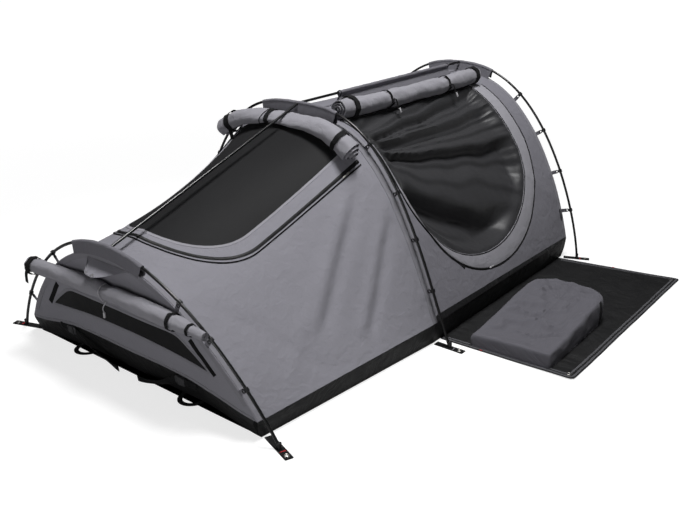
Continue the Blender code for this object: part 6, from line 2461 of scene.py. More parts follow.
@dataclass
class RolledFlaps:
    """The three rolled-up covers, with their straps, cords and toggles."""

    window_radius: float = 0.0445
    window_waist: float = 0.50
    window_along: float = 0.932
    window_near: float = 0.418
    window_far: float = 0.390
    door_radius: float = 0.0405
    door_side: float = 0.180
    door_start: float = 0.030
    door_end: float = 0.885
    foot_radius: float = 0.0335
    foot_height: float = 0.378
    foot_far: float = 0.470
    foot_near: float = 0.475
    foot_droop: float = 0.016
    tail_share: float = 0.50
    tail_start: float = 0.340
    tail_droop: float = 0.014
    seat: float = 0.0022
    cloth_away: float = 0.0012

    def window_roll(self) -> Roll:
        """
        The top window's cover, tied against the middle arch.

        Returns:
            The roll.
        """
        stations = np.linspace(-self.window_near, self.window_far, 130)
        along = np.full_like(stations, self.window_along)
        base, ups, run = laid_on(FOOT_SECTION, along, stations, np.ones_like(along), stations)
        seat = CANVAS_THICKNESS / 2.0 + self.seat
        room = float(MID.standoff(0.0)) - POLE_RADIUS - seat - self.cloth_away
        waist = min(self.window_waist, room / (2.0 * self.window_radius))
        squash = blend(waist, 1.0, ease(np.abs(stations) / self.window_near))
        centres = base + ups * (seat + self.window_radius * squash)[:, None]
        return Roll("window_cover_roll", centres, run, ups, np.ones_like(squash), squash,
                    self.window_radius, -1.0, 2.0, step_in=0.030, start_turn=0.45,
                    cinches=((0.12, 0.10), (0.63, 0.13), (0.93, 0.08), (0.36, 0.05)))

    def door_roll(self) -> Roll:
        """
        The door's canvas cover, tied beside the ridge.

        Returns:
            The roll.
        """
        along = np.linspace(self.door_start, self.door_end, 150)
        across = np.full_like(along, -self.door_side)
        base, ups, slope = laid_on(HEAD_SECTION, along, across, along, np.full_like(along, -1.0))
        centres = base + ups * (CANVAS_THICKNESS / 2.0 + self.seat + self.door_radius)
        even = np.ones_like(along)
        return Roll("door_cover_roll", centres, slope, ups, even, even, self.door_radius, 1.0,
                    4.0, start_turn=-0.25,
                    cinches=((0.10, 0.06), (0.31, 0.10), (0.74, 0.10), (0.96, 0.05)))

    def foot_roll(self) -> Roll:
        """
        The foot window's cover, with its near end drooping in front of the pole.

        Returns:
            The roll.
        """
        y = np.linspace(self.foot_far, -self.foot_near, 140)
        normal = FOOT.plane_normal
        up = unit(np.cross([0.0, 1.0, 0.0], normal))
        tail = ease((-y - self.tail_start) / (self.foot_near - self.tail_start))
        share = blend(1.0, self.tail_share, tail)
        face = blend(TOUCH_GAP + CANVAS_THICKNESS, POLE_RADIUS, tail) + self.seat
        droop = self.foot_droop * (np.abs(y) / self.foot_near) ** 2 + self.tail_droop * tail
        centres = FOOT.in_plane(y, self.foot_height - droop)
        centres = centres + normal * (face + self.foot_radius * share)[:, None]
        rows = (len(y), 1)
        return Roll("foot_window_cover_roll", centres, np.tile(up, rows), np.tile(normal, rows),
                    share, share, self.foot_radius, 1.0, 6.0, start_turn=0.5,
                    cinches=((0.04, 0.16), (0.50, 0.10), (0.86, 0.14), (0.94, 0.10)))

    def hanging_tail(self, name: str, roll: Roll, share: float, degrees: float, length: float,
                     width: float, swing: Sequence[float]) -> bpy.types.Object:
        """
        A strap's loose end, hanging from the roll's skin.

        Args:
            name: Name of the piece.
            roll: The roll.
            share: Where along the roll it starts.
            degrees: Where round the roll it starts.
            length: Its length.
            width: Its width.
            swing: How far its tip swings aside.

        Returns:
            The strap's end.
        """
        start = roll.outside(share, degrees, 0.002)
        out = unit(start - roll.outside(share, degrees, -0.02))
        swing = np.asarray(swing, float)
        points = [start - out * 0.004, start + out * 0.003,
                  start + out * 0.006 + np.array([0.0, 0.0, -0.35 * length]) + swing * 0.4,
                  start + out * 0.003 + np.array([0.0, 0.0, -length]) + swing]
        return dress(strap(name, bent(points), np.cross(out, [0.0, 0.0, 1.0]), width, 0.0018),
                     WEBBING)

    def cord_loop(self, name: str, roll: Roll, share: float, turn: tuple[float, float],
                  wire: float, finish: Finish, lean: float) -> bpy.types.Object:
        """
        An elastic cord lying round the roll.

        Args:
            name: Name of the piece.
            roll: The roll.
            share: Where along the roll it lies.
            turn: Angles in degrees where it begins and ends.
            wire: Radius of the cord.
            finish: Its finish.
            lean: Share of the roll's length from its start to its end.

        Returns:
            The cord.
        """
        angles = np.linspace(*turn, 40)
        shares = share + np.linspace(-0.5, 0.5, 40) * lean
        points = np.array([roll.outside(s, a, wire) for s, a in zip(shares, angles)])
        return dress(tube(name, resample(points, 0.004), wire, 8), finish)

    def toggle(self, name: str, centre: np.ndarray, along: np.ndarray) -> bpy.types.Object:
        """
        A small barrel toggle, turned with waisted ends.

        Args:
            name: Name of the piece.
            centre: Its middle.
            along: Direction of its length.

        Returns:
            The toggle.
        """
        start_alone()
        bpy.ops.mesh.primitive_cylinder_add(vertices=18, radius=0.0042, depth=0.020)
        made = bpy.context.object
        made.name = name
        shape_faces(made, lambda middle, normal: abs(normal.z) > 0.9,
                    (bpy.ops.mesh.inset, {"thickness": 0.0012, "depth": 0.0010}))
        bevel(made, 0.0007)
        side = np.cross(along, [0.0, 0.0, 1.0])
        put(smooth(made), centre, side, np.cross(along, side))
        return dress(made, MOULDED_PALE)

    def tie_window(self) -> None:
        """Roll up the top window's cover and tie it."""
        window = self.window_roll()
        window.build(["top_window_roll"], ROLL_CANVAS, ["foot_canopy_cloth"])
        window.band("window_roll_band_near", 0.925, 0.026, WEBBING)
        window.band("window_roll_band_middle", 0.63, 0.020, WEBBING)
        window.band("window_roll_strap_far", 0.14, 0.020, WEBBING, lean=0.02)
        self.hanging_tail("window_roll_tail_near", window, 0.93, 200.0, 0.055, 0.016,
                          (0.0, -0.02, 0.0))
        self.cord_loop("window_roll_cord", window, 0.66, (60.0, 200.0), 0.0016, PIPING, 0.03)

    def tie_door(self) -> None:
        """Roll up the door's cover and tie it."""
        door = self.door_roll()
        door.build(["door_roll"], ROLL_CANVAS, ["head_canopy_cloth"])
        door.band("door_roll_band_foot", 0.085, 0.030, WEBBING)
        door.band("door_roll_band_head", 0.975, 0.024, WEBBING)
        for number, share in enumerate((0.31, 0.74), start=1):
            door.band(f"door_roll_tie_{number}", share, 0.012, WEBBING, 0.0018, lean=0.012)
            self.hanging_tail(f"door_roll_tie_tail_{number}", door, share + 0.01, 20.0, 0.045,
                              0.010, (0.01, -0.01, 0.0))
            tip = door.outside(share + 0.02, 20.0, 0.004) + np.array([0.01, -0.012, -0.050])
            self.toggle(f"door_roll_toggle_{number}", tip, np.array([0.2, -0.3, -0.9]))

    def tie_foot(self) -> None:
        """Roll up the foot window's cover and tie it."""
        foot = self.foot_roll()
        foot.build(["foot_window_roll"], ROLL_CANVAS, ["foot_wall_cloth"])
        foot.band("foot_roll_strap_far", 0.035, 0.022, WEBBING)
        self.hanging_tail("foot_roll_tail_far", foot, 0.035, 100.0, 0.050, 0.018,
                          (0.0, 0.01, 0.0))
        self.cord_loop("foot_roll_elastic", foot, 0.50, (-20.0, 200.0), 0.0018, WEBBING_PALE,
                       0.015)
        foot.band("foot_roll_tie_near", 0.86, 0.012, WEBBING)
        foot.band("foot_roll_tie_end", 0.94, 0.008, WEBBING)
        hang = foot.outside(0.50, 170.0, 0.002)
        end = hang + np.array([-0.012, 0.004, -0.045])
        dress(tube("foot_roll_elastic_end", bent([hang, (hang + end) / 2 + [-0.010, 0, 0], end]),
                   0.0018, 8), WEBBING_PALE)
        self.toggle("foot_roll_toggle", end + np.array([0.0, 0.0, -0.006]),
                    np.array([0.1, 0.1, -1.0]))

    def build(self) -> None:
        """Roll up the three covers and tie them."""
        self.tie_window()
        self.tie_door()
        self.tie_foot()


# Vent hood

@dataclass(frozen=True)
class HoodSurface(Surface):
    """The hood over the foot vent; flat points are widths and the cloth's drop."""

    half_width: float = 0.120
    top_height: float = 0.470
    drop: float = 0.030
    stand_out: float = 0.050
    fall_turn: float = 0.42
    out_share: float = 1.2
    crown: float = 0.25
    off_wall: float = TOUCH_GAP * 2.0 + CANVAS_THICKNESS + 0.0008

    def base(self, flat: np.ndarray) -> tuple[np.ndarray, np.ndarray]:
        """
        Cloth that leaves the wall at its top seam and juts out over the vent.

        Args:
            flat: Widths and drops in metres of cloth.

        Returns:
            Points and the directions of the cloth's thickness.
        """
        share = -flat[..., 1] / self.drop
        fall = self.drop * np.sin(share * math.pi * self.fall_turn)
        bulge = self.crown * self.stand_out * (1.0 - (flat[..., 0] / self.half_width) ** 2) * share
        out = self.stand_out * ease(share * self.out_share) + bulge
        normal = FOOT.plane_normal
        points = FOOT.in_plane(flat[..., 0], self.top_height - fall)
        points = points + normal * (self.off_wall + out)[..., None]
        return points, np.broadcast_to(normal, points.shape)

    def relief(self, flat: np.ndarray) -> np.ndarray:
        """Soft dents of the hood."""
        return 0.0010 * ripple(flat[..., 0] / 0.06, flat[..., 1] / 0.02, 3.0)


@dataclass
class VentHood:
    """Three-cornered canvas hood with a corded brim and two small eyelets."""

    apex_side: float = 0.042
    surface: HoodSurface = field(default_factory=HoodSurface)

    def build(self) -> None:
        """Cut the hood, cord its brim and set its eyelets."""
        wide, drop = self.surface.half_width, self.surface.drop
        corners = np.array([(-wide, 0.0), (wide, 0.0), (self.apex_side, -drop)])
        outline = rounded(corners, [0.006, 0.006, 0.036])
        hood, _ = lay_cloth("hood_cloth", self.surface, outline, [], 0.0045, 0.0016)
        dress(hood, CANVAS, Body.HOOD, ["vent_hood"])
        brim = resample(outline[outline[:, 1] < -0.001], 0.004)
        cord = tube("hood_brim_cord", resample(self.surface.at(brim), 0.005), 0.0024, 10)
        trims = [dress(cord, CANVAS_HEM, Body.HOOD)]
        for number, y in enumerate((0.060, 0.020), start=1):
            spot = np.array([y, -0.021])
            eyelet = ring(f"hood_eyelet_{number}", 0.0042, 0.0012, 0.6)
            normal = self.surface.normal(spot)
            put(smooth(eyelet), self.surface.at(spot) + normal * 0.0010, [0.0, 1.0, 0.0],
                np.cross(normal, [0.0, 1.0, 0.0]))
            trims.append(dress(eyelet, NICKEL, Body.HOOD))


# Tabs, buckles, handles and sliders

@dataclass(frozen=True)
class GroundSurface(Surface):
    """Cloth lying on the ground; flat points run along one side and out from it."""

    start: tuple[float, float]
    along: tuple[float, float]
    out: tuple[float, float]
    level: float
    wave: float = 0.0
    wave_from: float = 0.0
    wave_to: float = 1.0

    def base(self, flat: np.ndarray) -> tuple[np.ndarray, np.ndarray]:
        """
        Points on the ground.

        Args:
            flat: Flat points in metres.

        Returns:
            The points and the direction up for each of them.
        """
        place = (np.array(self.start) + flat[..., :1] * np.array(self.along)
                 + flat[..., 1:] * np.array(self.out))
        level = np.full(flat.shape[:-1] + (1,), self.level)
        points = np.concatenate([place, level], axis=-1)
        return points, np.broadcast_to([0.0, 0.0, 1.0], points.shape)

    def relief(self, flat: np.ndarray) -> np.ndarray:
        """Waves that lift the cloth a little towards its free edge."""
        share = ease((flat[..., 1] - self.wave_from) / (self.wave_to - self.wave_from))
        lively = 0.5 + 0.5 * ripple(flat[..., 0] / 0.26, flat[..., 1] / 0.42, 11.0)
        return self.wave * (0.15 + 0.85 * share) * np.clip(lively, 0.0, 1.2)


@dataclass
class AnchorTabs:
    """Webbing tabs under the pole feet, each with a pressed eyelet and a red bar tack."""

    width: float = 0.030
    thickness: float = 0.0030
    tail: float = 0.062
    eyelet_inset: float = 0.020
    eyelet_radius: float = 0.0065
    foot_degrees: float = 20.0
    head_degrees: float = 24.0

    def tab(self, title: str, arch: Arch, side_name: str, side: float, degrees: float) -> None:
        """
        One tab.

        Args:
            title: Which arch it belongs to.
            arch: The arch.
            side_name: Near or far.
            side: -1 for near and 1 for far.
            degrees: How far it splays.
        """
        angle = math.radians(degrees)
        out = np.array([math.sin(angle), side * math.cos(angle)])
        across = np.array([out[1], -out[0]])
        foot = arch.in_plane(side * arch.half_span, 0.0)[:2]
        inner = -(arch.half_span - float(arch.canvas(1.0)[1]) - TOUCH_GAP) / math.cos(angle)
        inner += self.width / 2.0 * abs(math.tan(angle))
        surface = GroundSurface(tuple(foot), tuple(out), tuple(across), self.thickness / 2.0)
        half = self.width / 2.0
        outline = np.array([(inner, -half), (self.tail, -half), (self.tail, half), (inner, half)])
        turn = np.linspace(0.0, 2.0 * math.pi, 25)[:-1]
        hole = np.stack([self.tail - self.eyelet_inset + self.eyelet_radius * np.cos(turn),
                         self.eyelet_radius * np.sin(turn)], axis=1)
        name = f"{title}_{side_name}_anchor"
        made, area = lay_cloth(f"{name}_tab", surface, rounded(outline, [0.002] * 4, 2), [hole],
                               0.0035, self.thickness)
        dress(made, WEBBING, stands_for=[f"anchor_tab_{title}_{side_name}"])
        eyelet = ring(f"{name}_eyelet", self.eyelet_radius + 0.0008, 0.0019, 0.8, 28)
        centre = foot + out * (self.tail - self.eyelet_inset)
        put(smooth(eyelet), (*centre, self.thickness + 0.0002), (1.0, 0.0, 0.0), (0.0, 1.0, 0.0))
        dress(eyelet, NICKEL)
        spot = foot + out * 0.017
        spots = np.array([[*(spot + across * reach), self.thickness + 0.0004]
                          for reach in (-0.011, 0.011)])
        tack = dress(strap(f"{name}_bar_tack", spots, np.array([*out, 0.0]), 0.004, 0.0010,
                           0.002), WEBBING_GREY if title == "mid" else RED_THREAD)
        foot_line = np.array([arch.in_plane(side * arch.half_span, z)
                              for z in (0.0034, 0.012, 0.026)])
        dress(tube(f"{name}_pole_tip", foot_line, 0.0068, 20), MOULDED)

    def build(self) -> None:
        """Six tabs, one at each pole foot."""
        for title, arch, degrees in (("foot", FOOT, -self.foot_degrees), ("mid", MID, 0.0),
                                     ("head", HEAD, self.head_degrees)):
            for side_name, side in SIDES:
                self.tab(title, arch, side_name, side, degrees)


FITTING_FAR, FITTING_NEAR = 0.335, -0.265  # y of the buckles and the carry handles


@dataclass
class Buckles:
    """Two side-release buckles on the foot end, with one slack strap between them."""

    length: float = 0.034
    width: float = 0.036
    depth: float = 0.011
    plug_base: float = 0.014
    strap_width: float = 0.025
    strap_thickness: float = 0.0022
    strap_run: float = 0.245
    height: float = 0.100
    anchor_length: float = 0.055

    def model_socket(self) -> bpy.types.Object:
        """
        The socket: x runs to the plug, y up the wall and z out of it.

        Returns:
            The socket.
        """
        made = block("socket_pattern", (self.length, self.width, self.depth),
                     (-self.length / 2.0, 0.0, 0.0))
        inset, resize = bpy.ops.mesh.inset, bpy.ops.transform.resize
        hollow = {"TRANSFORM_OT_translate": {"value": (-0.015, 0.0, 0.0)}}
        shape_faces(made, lambda middle, normal: normal.x > 0.9, (inset, {"thickness": 0.0022}),
                    (bpy.ops.mesh.extrude_region_move, hollow))
        shape_faces(made, lambda middle, normal: abs(normal.y) > 0.9
                    and abs(middle.y) > 0.45 * self.width, (inset, {"thickness": 0.0034}),
                    (resize, {"value": (0.55, 0.80, 1.0)}))
        shape_faces(made, lambda middle, normal: normal.x < -0.9,
                    (resize, {"value": (1.0, 0.82, 0.9)}))
        shape_faces(made, lambda middle, normal: normal.z > 0.9
                    and abs(middle.z) > 0.45 * self.depth,
                    (inset, {"thickness": 0.0050, "depth": -0.0010}))
        bevel(made, 0.0011, 3, angle_limit=math.radians(40.0))
        return smooth(made, 40.0)

    def model_plug(self) -> bpy.types.Object:
        """
        The plug: a waisted bar that holds the strap, with two sprung prongs and a tongue.

        Returns:
            The plug.
        """
        bar = block("bar", (self.plug_base - 0.0006, self.width, 0.0060),
                    (self.plug_base / 2.0 + 0.0006, 0.0, 0.0))
        shape_faces(bar, lambda middle, normal: normal.x > 0.9,
                    (bpy.ops.transform.resize, {"value": (1.0, 0.74, 1.0)}))
        aside = self.width / 2.0 - 0.0052
        prongs = [block("prong", (0.016, 0.0052, 0.0058), (-0.0075, side * aside, 0.0))
                  for side in (-1.0, 1.0)]
        tongue = block("tongue", (0.010, 0.0060, 0.0048), (-0.0045, 0.0, 0.0))
        made = join("plug_pattern", [bar, *prongs, tongue])
        bevel(made, 0.0009)
        return smooth(made, 40.0)

    def slack_line(self, base: np.ndarray, along: np.ndarray, up: np.ndarray
                   ) -> tuple[np.ndarray, np.ndarray]:
        """
        The middle line of a slack strap, from its plug down to the ground.

        Args:
            base: The plug's place.
            along: Direction of the plug.
            up: Direction up the wall.

        Returns:
            The line's points and the strap's width directions.
        """
        out = FOOT.plane_normal
        runs = np.linspace(self.plug_base - 0.003, self.strap_run, 80)
        shares = np.clip((runs - self.plug_base) / (self.strap_run - self.plug_base), 0, 1)
        fall = (self.height - self.strap_width * 0.52) * np.sin(shares * math.pi / 2.0)
        sway = 0.004 * np.sin(shares * math.pi * 2.0) * np.sin(shares * math.pi)
        line = base + along * runs[:, None] - up * fall[:, None] + out * sway[:, None]
        return line, up + out * (0.5 * np.sin(shares * math.pi))[:, None]

    def build(self) -> None:
        """Copy both halves to both sides and hang the slack strap from the plugs."""
        socket, plug = self.model_socket(), self.model_plug()
        out = FOOT.plane_normal
        up = unit(np.cross([0.0, 1.0, 0.0], out))
        for side_name, y, inward, body in (("far", FITTING_FAR, -1.0, Body.PLUG_FAR),
                                           ("near", FITTING_NEAR, 1.0, Body.PLUG_NEAR)):
            base = middle_of(f"buckle_socket_{side_name}")
            base[1] = y
            along = np.array([0.0, inward, 0.0])
            for half, pattern, rides_on in (("socket", socket, Body.SHELTER),
                                            ("plug", plug, body)):
                node = f"buckle_{half}_{side_name}"
                dress(put(copy_of(pattern, f"{node}_body"), base, along, up), MOULDED_GREY,
                      rides_on, [node])
            line, twist = self.slack_line(base, along, up)
            dress(strap(f"slack_strap_{side_name}", line, twist, self.strap_width,
                        self.strap_thickness), WEBBING, body)
            anchor = base - along * np.array([[self.length - 0.004], [self.length + 0.020],
                                              [self.length + self.anchor_length]])
            anchor[1:] -= out * 0.0035
            dress(strap(f"buckle_anchor_{side_name}", anchor, up, self.strap_width, 0.002),
                  WEBBING)
        for pattern in (socket, plug):
            bpy.data.objects.remove(pattern, do_unlink=True)


@dataclass
class CarryHandles:
    """Two webbing loops sewn to the foot of the floor, lying on the ground."""

    half_span: float = 0.055
    reach: float = 0.062
    width: float = 0.018
    thickness: float = 0.0035

    def build(self) -> None:
        """Bend both loops."""
        for name, y, body in (("far", FITTING_FAR, Body.HANDLE_FAR),
                              ("near", FITTING_NEAR, Body.HANDLE_NEAR)):
            _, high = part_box(f"carry_handle_{name}")
            angles = np.linspace(0.0, math.pi, 60)
            cut = self.width / 2.0
            line = np.stack([high[0] - (self.reach - cut) * np.sin(angles),
                             y - (self.half_span - cut) * np.cos(angles),
                             np.full_like(angles, self.thickness / 2.0)], axis=1)
            outwards = line - [high[0], y, self.thickness / 2.0]
            made = strap(f"{name}_handle_loop", line, outwards, self.width, self.thickness)
            dress(made, WEBBING, body, [f"carry_handle_{name}"])


@dataclass
class ZipSliders:
    """The sliders of the top window's and the door's zips, each with a corded pull."""

    length: float = 0.012
    width: float = 0.009
    height: float = 0.0040
    pull: float = 0.026

    def model_slider(self) -> bpy.types.Object:
        """
        The slider: x runs along the zip towards the pull's tip, z away from the cloth.

        Returns:
            The slider.
        """
        body = block("body", (self.length, self.width, self.height * 0.62),
                     (0.0, 0.0, self.height * 0.31))
        shape_faces(body, lambda middle, normal: normal.x < -0.9,
                    (bpy.ops.transform.resize, {"value": (1.0, 0.62, 1.0)}))
        bevel(body, 0.0009, 3)
        bridge = stand_on_edge(ring("bridge", 0.0022, 0.0006, 1.0, 16),
                               (0.0015, 0.0, self.height * 0.55))
        pull = block("pull", (self.pull * 0.55, 0.0052, 0.0013),
                     (self.length / 2.0 + self.pull * 0.66, 0.0, 0.0012), 0.0005)
        link = block("link", (self.pull * 0.45, 0.0022, 0.0011),
                     (self.length / 2.0 + self.pull * 0.18, 0.0, 0.0013), 0.0004)
        return smooth(join("slider_pattern", [body, bridge, link, pull]), 40.0)

    def build(self) -> None:
        """Set both sliders on the canvas."""
        pattern = self.model_slider()
        for node, section, along, across, towards, body, finish in (
                ("top_zip_slider", FOOT_SECTION, 0.890, -0.430, 0.420, Body.TOP_SLIDER, NICKEL),
                ("door_zip_slider", HEAD_SECTION, 0.390, -0.919, 0.440, Body.DOOR_SLIDER,
                 MOULDED_PALE)):
            surface = CanopySurface(section)
            here = np.array([along * section.length, across * section.girth])
            ahead = np.array([towards * section.length, across * section.girth])
            point, up = surface.at(here), surface.normal(here)
            run = surface.at(ahead) - point
            run = unit(run - up * float(run @ up))
            lift = float((middle_of(node) - point) @ up) - self.height / 2.0 + 0.0006
            made = put(copy_of(pattern, f"{node}_body"), point + up * max(0.0013, lift), run,
                       np.cross(up, run))
            dress(made, finish, body, [node])
        bpy.data.objects.remove(pattern, do_unlink=True)


# Ground mat and gear bag

def mat_frame() -> tuple[np.ndarray, np.ndarray, np.ndarray]:
    """
    The mat's hinge line on the floor's near edge.

    Returns:
        The hinge line's start, its direction and the direction outwards.
    """
    shares = np.array([TOUCH_GAP / HEAD_SECTION.length, 1.0])
    rim = HEAD_SECTION.point(shares, np.array([-1.0, -1.0]))[:, :2]
    one, two = rim + [0.0, BucketFloor.side_flare]
    along = unit(two - one)
    out = np.array([along[1], -along[0]])
    start = one + along * (GroundMat.foot_x - one[0]) / along[0] + out * 0.0004
    return start, along, out


@dataclass
class GroundMat:
    """The coated mat on the ground in front of the door, bound with grey tape."""

    foot_x: float = -0.125
    head_x: float = 1.034
    width: float = 0.568
    head_width: float = 0.580
    head_flare: float = 0.085
    thickness: float = 0.0018
    corner: float = 0.020
    wave: float = 0.0060

    def build(self) -> None:
        """Cut the mat, bind its edge and set its corner eyelets and red tabs."""
        start, along, out = mat_frame()
        length = (self.head_x - self.foot_x) / along[0]
        surface = GroundSurface(tuple(start), tuple(along), tuple(out), self.thickness / 2.0,
                                self.wave, 0.10, self.width)
        corners = np.array([(0.0, 0.0), (0.0, self.width),
                            (length + self.head_flare, self.head_width), (length, 0.0)])
        outline = rounded(corners, [0.004, self.corner, self.corner, 0.004])
        made, area = lay_cloth("mat_sheet", surface, outline, [], 0.014, self.thickness)
        dress(made, MAT_COATED, Body.MAT, ["ground_mat"])
        inset = corners + np.array([(0.009, 0.012), (0.009, -0.009), (-0.0095, -0.009),
                                    (-0.0095, 0.012)])
        edge = rounded(inset, [0.0001, 0.016, 0.016, 0.0001])
        for name, shift in (("outer", 0.0), ("inner", 0.016)):
            line = edge - np.sign(edge - edge.mean(axis=0)) * shift
            binding = ribbon(f"mat_{name}_binding", surface, line, BINDING_PROFILE, sink=0.0001)
            dress(binding, BINDING, Body.MAT)
        full = length + self.head_flare
        for number, spot in enumerate(((0.030, self.width - 0.030),
                                       (full - 0.038, self.head_width - 0.030)), start=1):
            eyelet = ring(f"mat_eyelet_{number}", 0.0085, 0.0021, 0.8, 28)
            place = surface.at(np.array(spot)) + [0.0, 0.0, 0.0014]
            put(smooth(eyelet), place, (1, 0, 0), (0, 1, 0))
            dress(eyelet, NICKEL, Body.MAT)
        for number, (run, reach) in enumerate((
                (0.0005, 0.33 * self.width),
                (length + 0.47 * self.head_flare - 0.0065, 0.47 * self.head_width)), start=1):
            spots = surface.at(np.array([(run, reach), (run + 0.006, reach)]))
            tab = strap(f"mat_red_tab_{number}", spots + [0.0, 0.0, 0.0028], np.array([*out, 0.0]),
                        0.010, 0.0012, 0.002)
            dress(tab, RED_THREAD, Body.MAT)


@dataclass
class GearBag:
    """The canvas gear bag: square and low at one end, round and full at the other."""

    foot_x: float = -0.110
    length: float = 0.614
    set_off: float = 0.130
    width: float = 0.338
    square_height: float = 0.070
    round_height: float = 0.118
    square_round: float = 0.016
    round_end: float = 0.132
    low: float = 0.0024
    webbing_share: float = 0.80
    round_from: float = 0.165
    fold_depth: float = 0.0105
    profile: tuple[tuple[float, float], ...] = (
        (0.960, 0.0), (0.984, 0.03), (0.997, 0.10), (1.0, 0.22), (1.0, 0.40), (0.997, 0.60),
        (0.990, 0.77), (0.977, 0.88), (0.955, 0.94), (0.920, 0.970), (0.850, 0.990),
        (0.730, 0.996), (0.600, 1.0), (0.45, 0.998), (0.30, 0.994), (0.15, 0.990), (0.03, 0.988))

    def shape(self, run: np.ndarray, reach: np.ndarray, scale: np.ndarray, rise: np.ndarray
              ) -> np.ndarray:
        """
        Points of the bag's skin.

        Args:
            run: Outline place along the bag.
            reach: Outline place across it.
            scale: How far from the bag's middle line to the outline.
            rise: Share of the height.

        Returns:
            The points.
        """
        start, along, out = mat_frame()
        first = self.foot_x - start[0]
        middle = self.set_off + self.width / 2.0
        # the plain form: low and square at the foot end, full and round at the head end
        axis = np.clip(run, first + 0.12, first + self.length - self.round_from)
        real_run = axis + (run - axis) * scale
        real_reach = middle + (reach - middle) * scale
        share = (real_run - first) / self.length
        height = blend(self.square_height, self.round_height, ease(share * 1.05))
        inner = ease((middle - real_reach) / self.width + 0.5)
        height = height * (1.0 - 0.20 * inner * ease(1.0 - share * 1.6))
        sag = 0.014 * ease((0.95 - scale) / 0.7) * (1.0 - ease((share - 0.62) / 0.3)) * rise
        # pleats gathered round the full end
        angle = np.arctan2(reach - middle, run - (first + self.length - self.round_from))
        end = ease((share - 0.58) / 0.3)
        pleat = 0.0030 * end * np.cos(13.0 * angle) * np.sin(math.pi * np.clip(scale, 0.2, 1.0)
                                                             ) ** 0.7 * ease(rise * 3.0)
        # soft dents and slanting folds on the top, less beside its edge
        inside = ease((1.0 - scale) / 0.30)
        soft = 0.0050 * ripple(real_run / 0.20, real_reach / 0.18, 12.0) * ease(rise * 2.0)
        soft = soft * (0.35 + 0.65 * inside)
        aslant = np.sin(real_run * 24.0 - real_reach * 19.0 + 2.4 * ripple(
            real_run / 0.2, real_reach / 0.2, 15.0))
        aslant = 1.0 - 2.0 * np.abs(aslant) ** 0.7
        soft = soft + (self.fold_depth * aslant * inside * ease((share + 0.1) / 0.4)
                       * ease(rise * 1.5))
        # dents of the side
        side = 0.0035 * ripple(real_run / 0.10 + real_reach / 0.16, rise * 0.8, 13.0)
        side = side * np.sin(math.pi * np.clip(rise, 0.0, 1.0))
        real_run = real_run + (run - axis) * side * 3.0
        real_reach = real_reach + np.sign(reach - middle) * side * ease(
            np.abs(reach - middle) * 2.0 / self.width)
        z = self.low + np.clip(height * rise - sag + soft + pleat, 0.0, None)
        z = np.where(rise <= 0.0, self.low, z)
        place = start + real_run[..., None] * along + real_reach[..., None] * out
        return np.concatenate([place, z[..., None]], axis=-1)

    def outline(self) -> np.ndarray:
        """
        Outline on the mat, from above.

        Returns:
            Flat points.
        """
        first = self.foot_x - mat_frame()[0][0]
        last, far = first + self.length, self.set_off + self.width
        corners = np.array([(first, self.set_off), (last, self.set_off), (last, far),
                            (first, far)])
        radii = [self.square_round, self.round_end, self.round_end, self.square_round]
        return resample(rounded(corners, radii, 12), 0.008, closed=True)

    def ring_line(self, outline: np.ndarray, scale: float, rise: float) -> np.ndarray:
        """A line round the bag's skin."""
        return self.shape(outline[:, 0], outline[:, 1], np.full(len(outline), scale),
                          np.full(len(outline), rise))

    def side_webbing(self, outline: np.ndarray) -> bpy.types.Object:
        """
        The strap sewn up the bag's near side, at the first outline point beside its place.

        Args:
            outline: The bag's outline.

        Returns:
            The strap.
        """
        start, along, _ = mat_frame()
        place = self.foot_x - start[0] + self.length * self.webbing_share
        beside = (np.abs(outline[:, 0] - place) < 0.0045) & (outline[:, 1] > self.set_off + 0.17)
        run, reach = outline[beside][0]
        line = np.array([self.shape(np.array(run), np.array(reach), np.array(s * 1.004),
                                    np.array(r)) for s, r in self.profile[1:9]])
        made = strap("bag_side_webbing", resample(line, 0.006), np.array([*along, 0.0]), 0.022,
                     0.002)
        return dress(made, WEBBING, Body.BAG)

    def build(self) -> None:
        """Loft the bag, and sew on its piping and webbing."""
        outline = self.outline()
        knots = np.array(self.profile)
        scales, rises = columns_at(np.linspace(0.0, len(knots) - 1.0, 40),
                                   np.arange(len(knots)), knots).T
        grid = np.stack([self.ring_line(outline, scale, rise)
                         for scale, rise in zip(scales, rises)])
        uv = np.stack([outline[None, :, 0] * scales[:, None],
                       outline[None, :, 1] * scales[:, None] + rises[:, None] * 0.1], axis=-1)
        made = skin("bag_body", grid, uv, False, False, 70.0)
        dress(made, BAG_CANVAS, Body.BAG, ["gear_bag"])
        for name, scale, rise, radius in (("top", 0.961, 0.812, 0.0016),
                                          ("base", 0.990, 0.060, 0.0018)):
            line = resample(self.ring_line(outline, scale, rise), 0.006, closed=True)
            dress(tube(f"bag_{name}_seam", line, radius, 8, closed=True), BAG_CANVAS, Body.BAG)
        self.side_webbing(outline)


# Studio

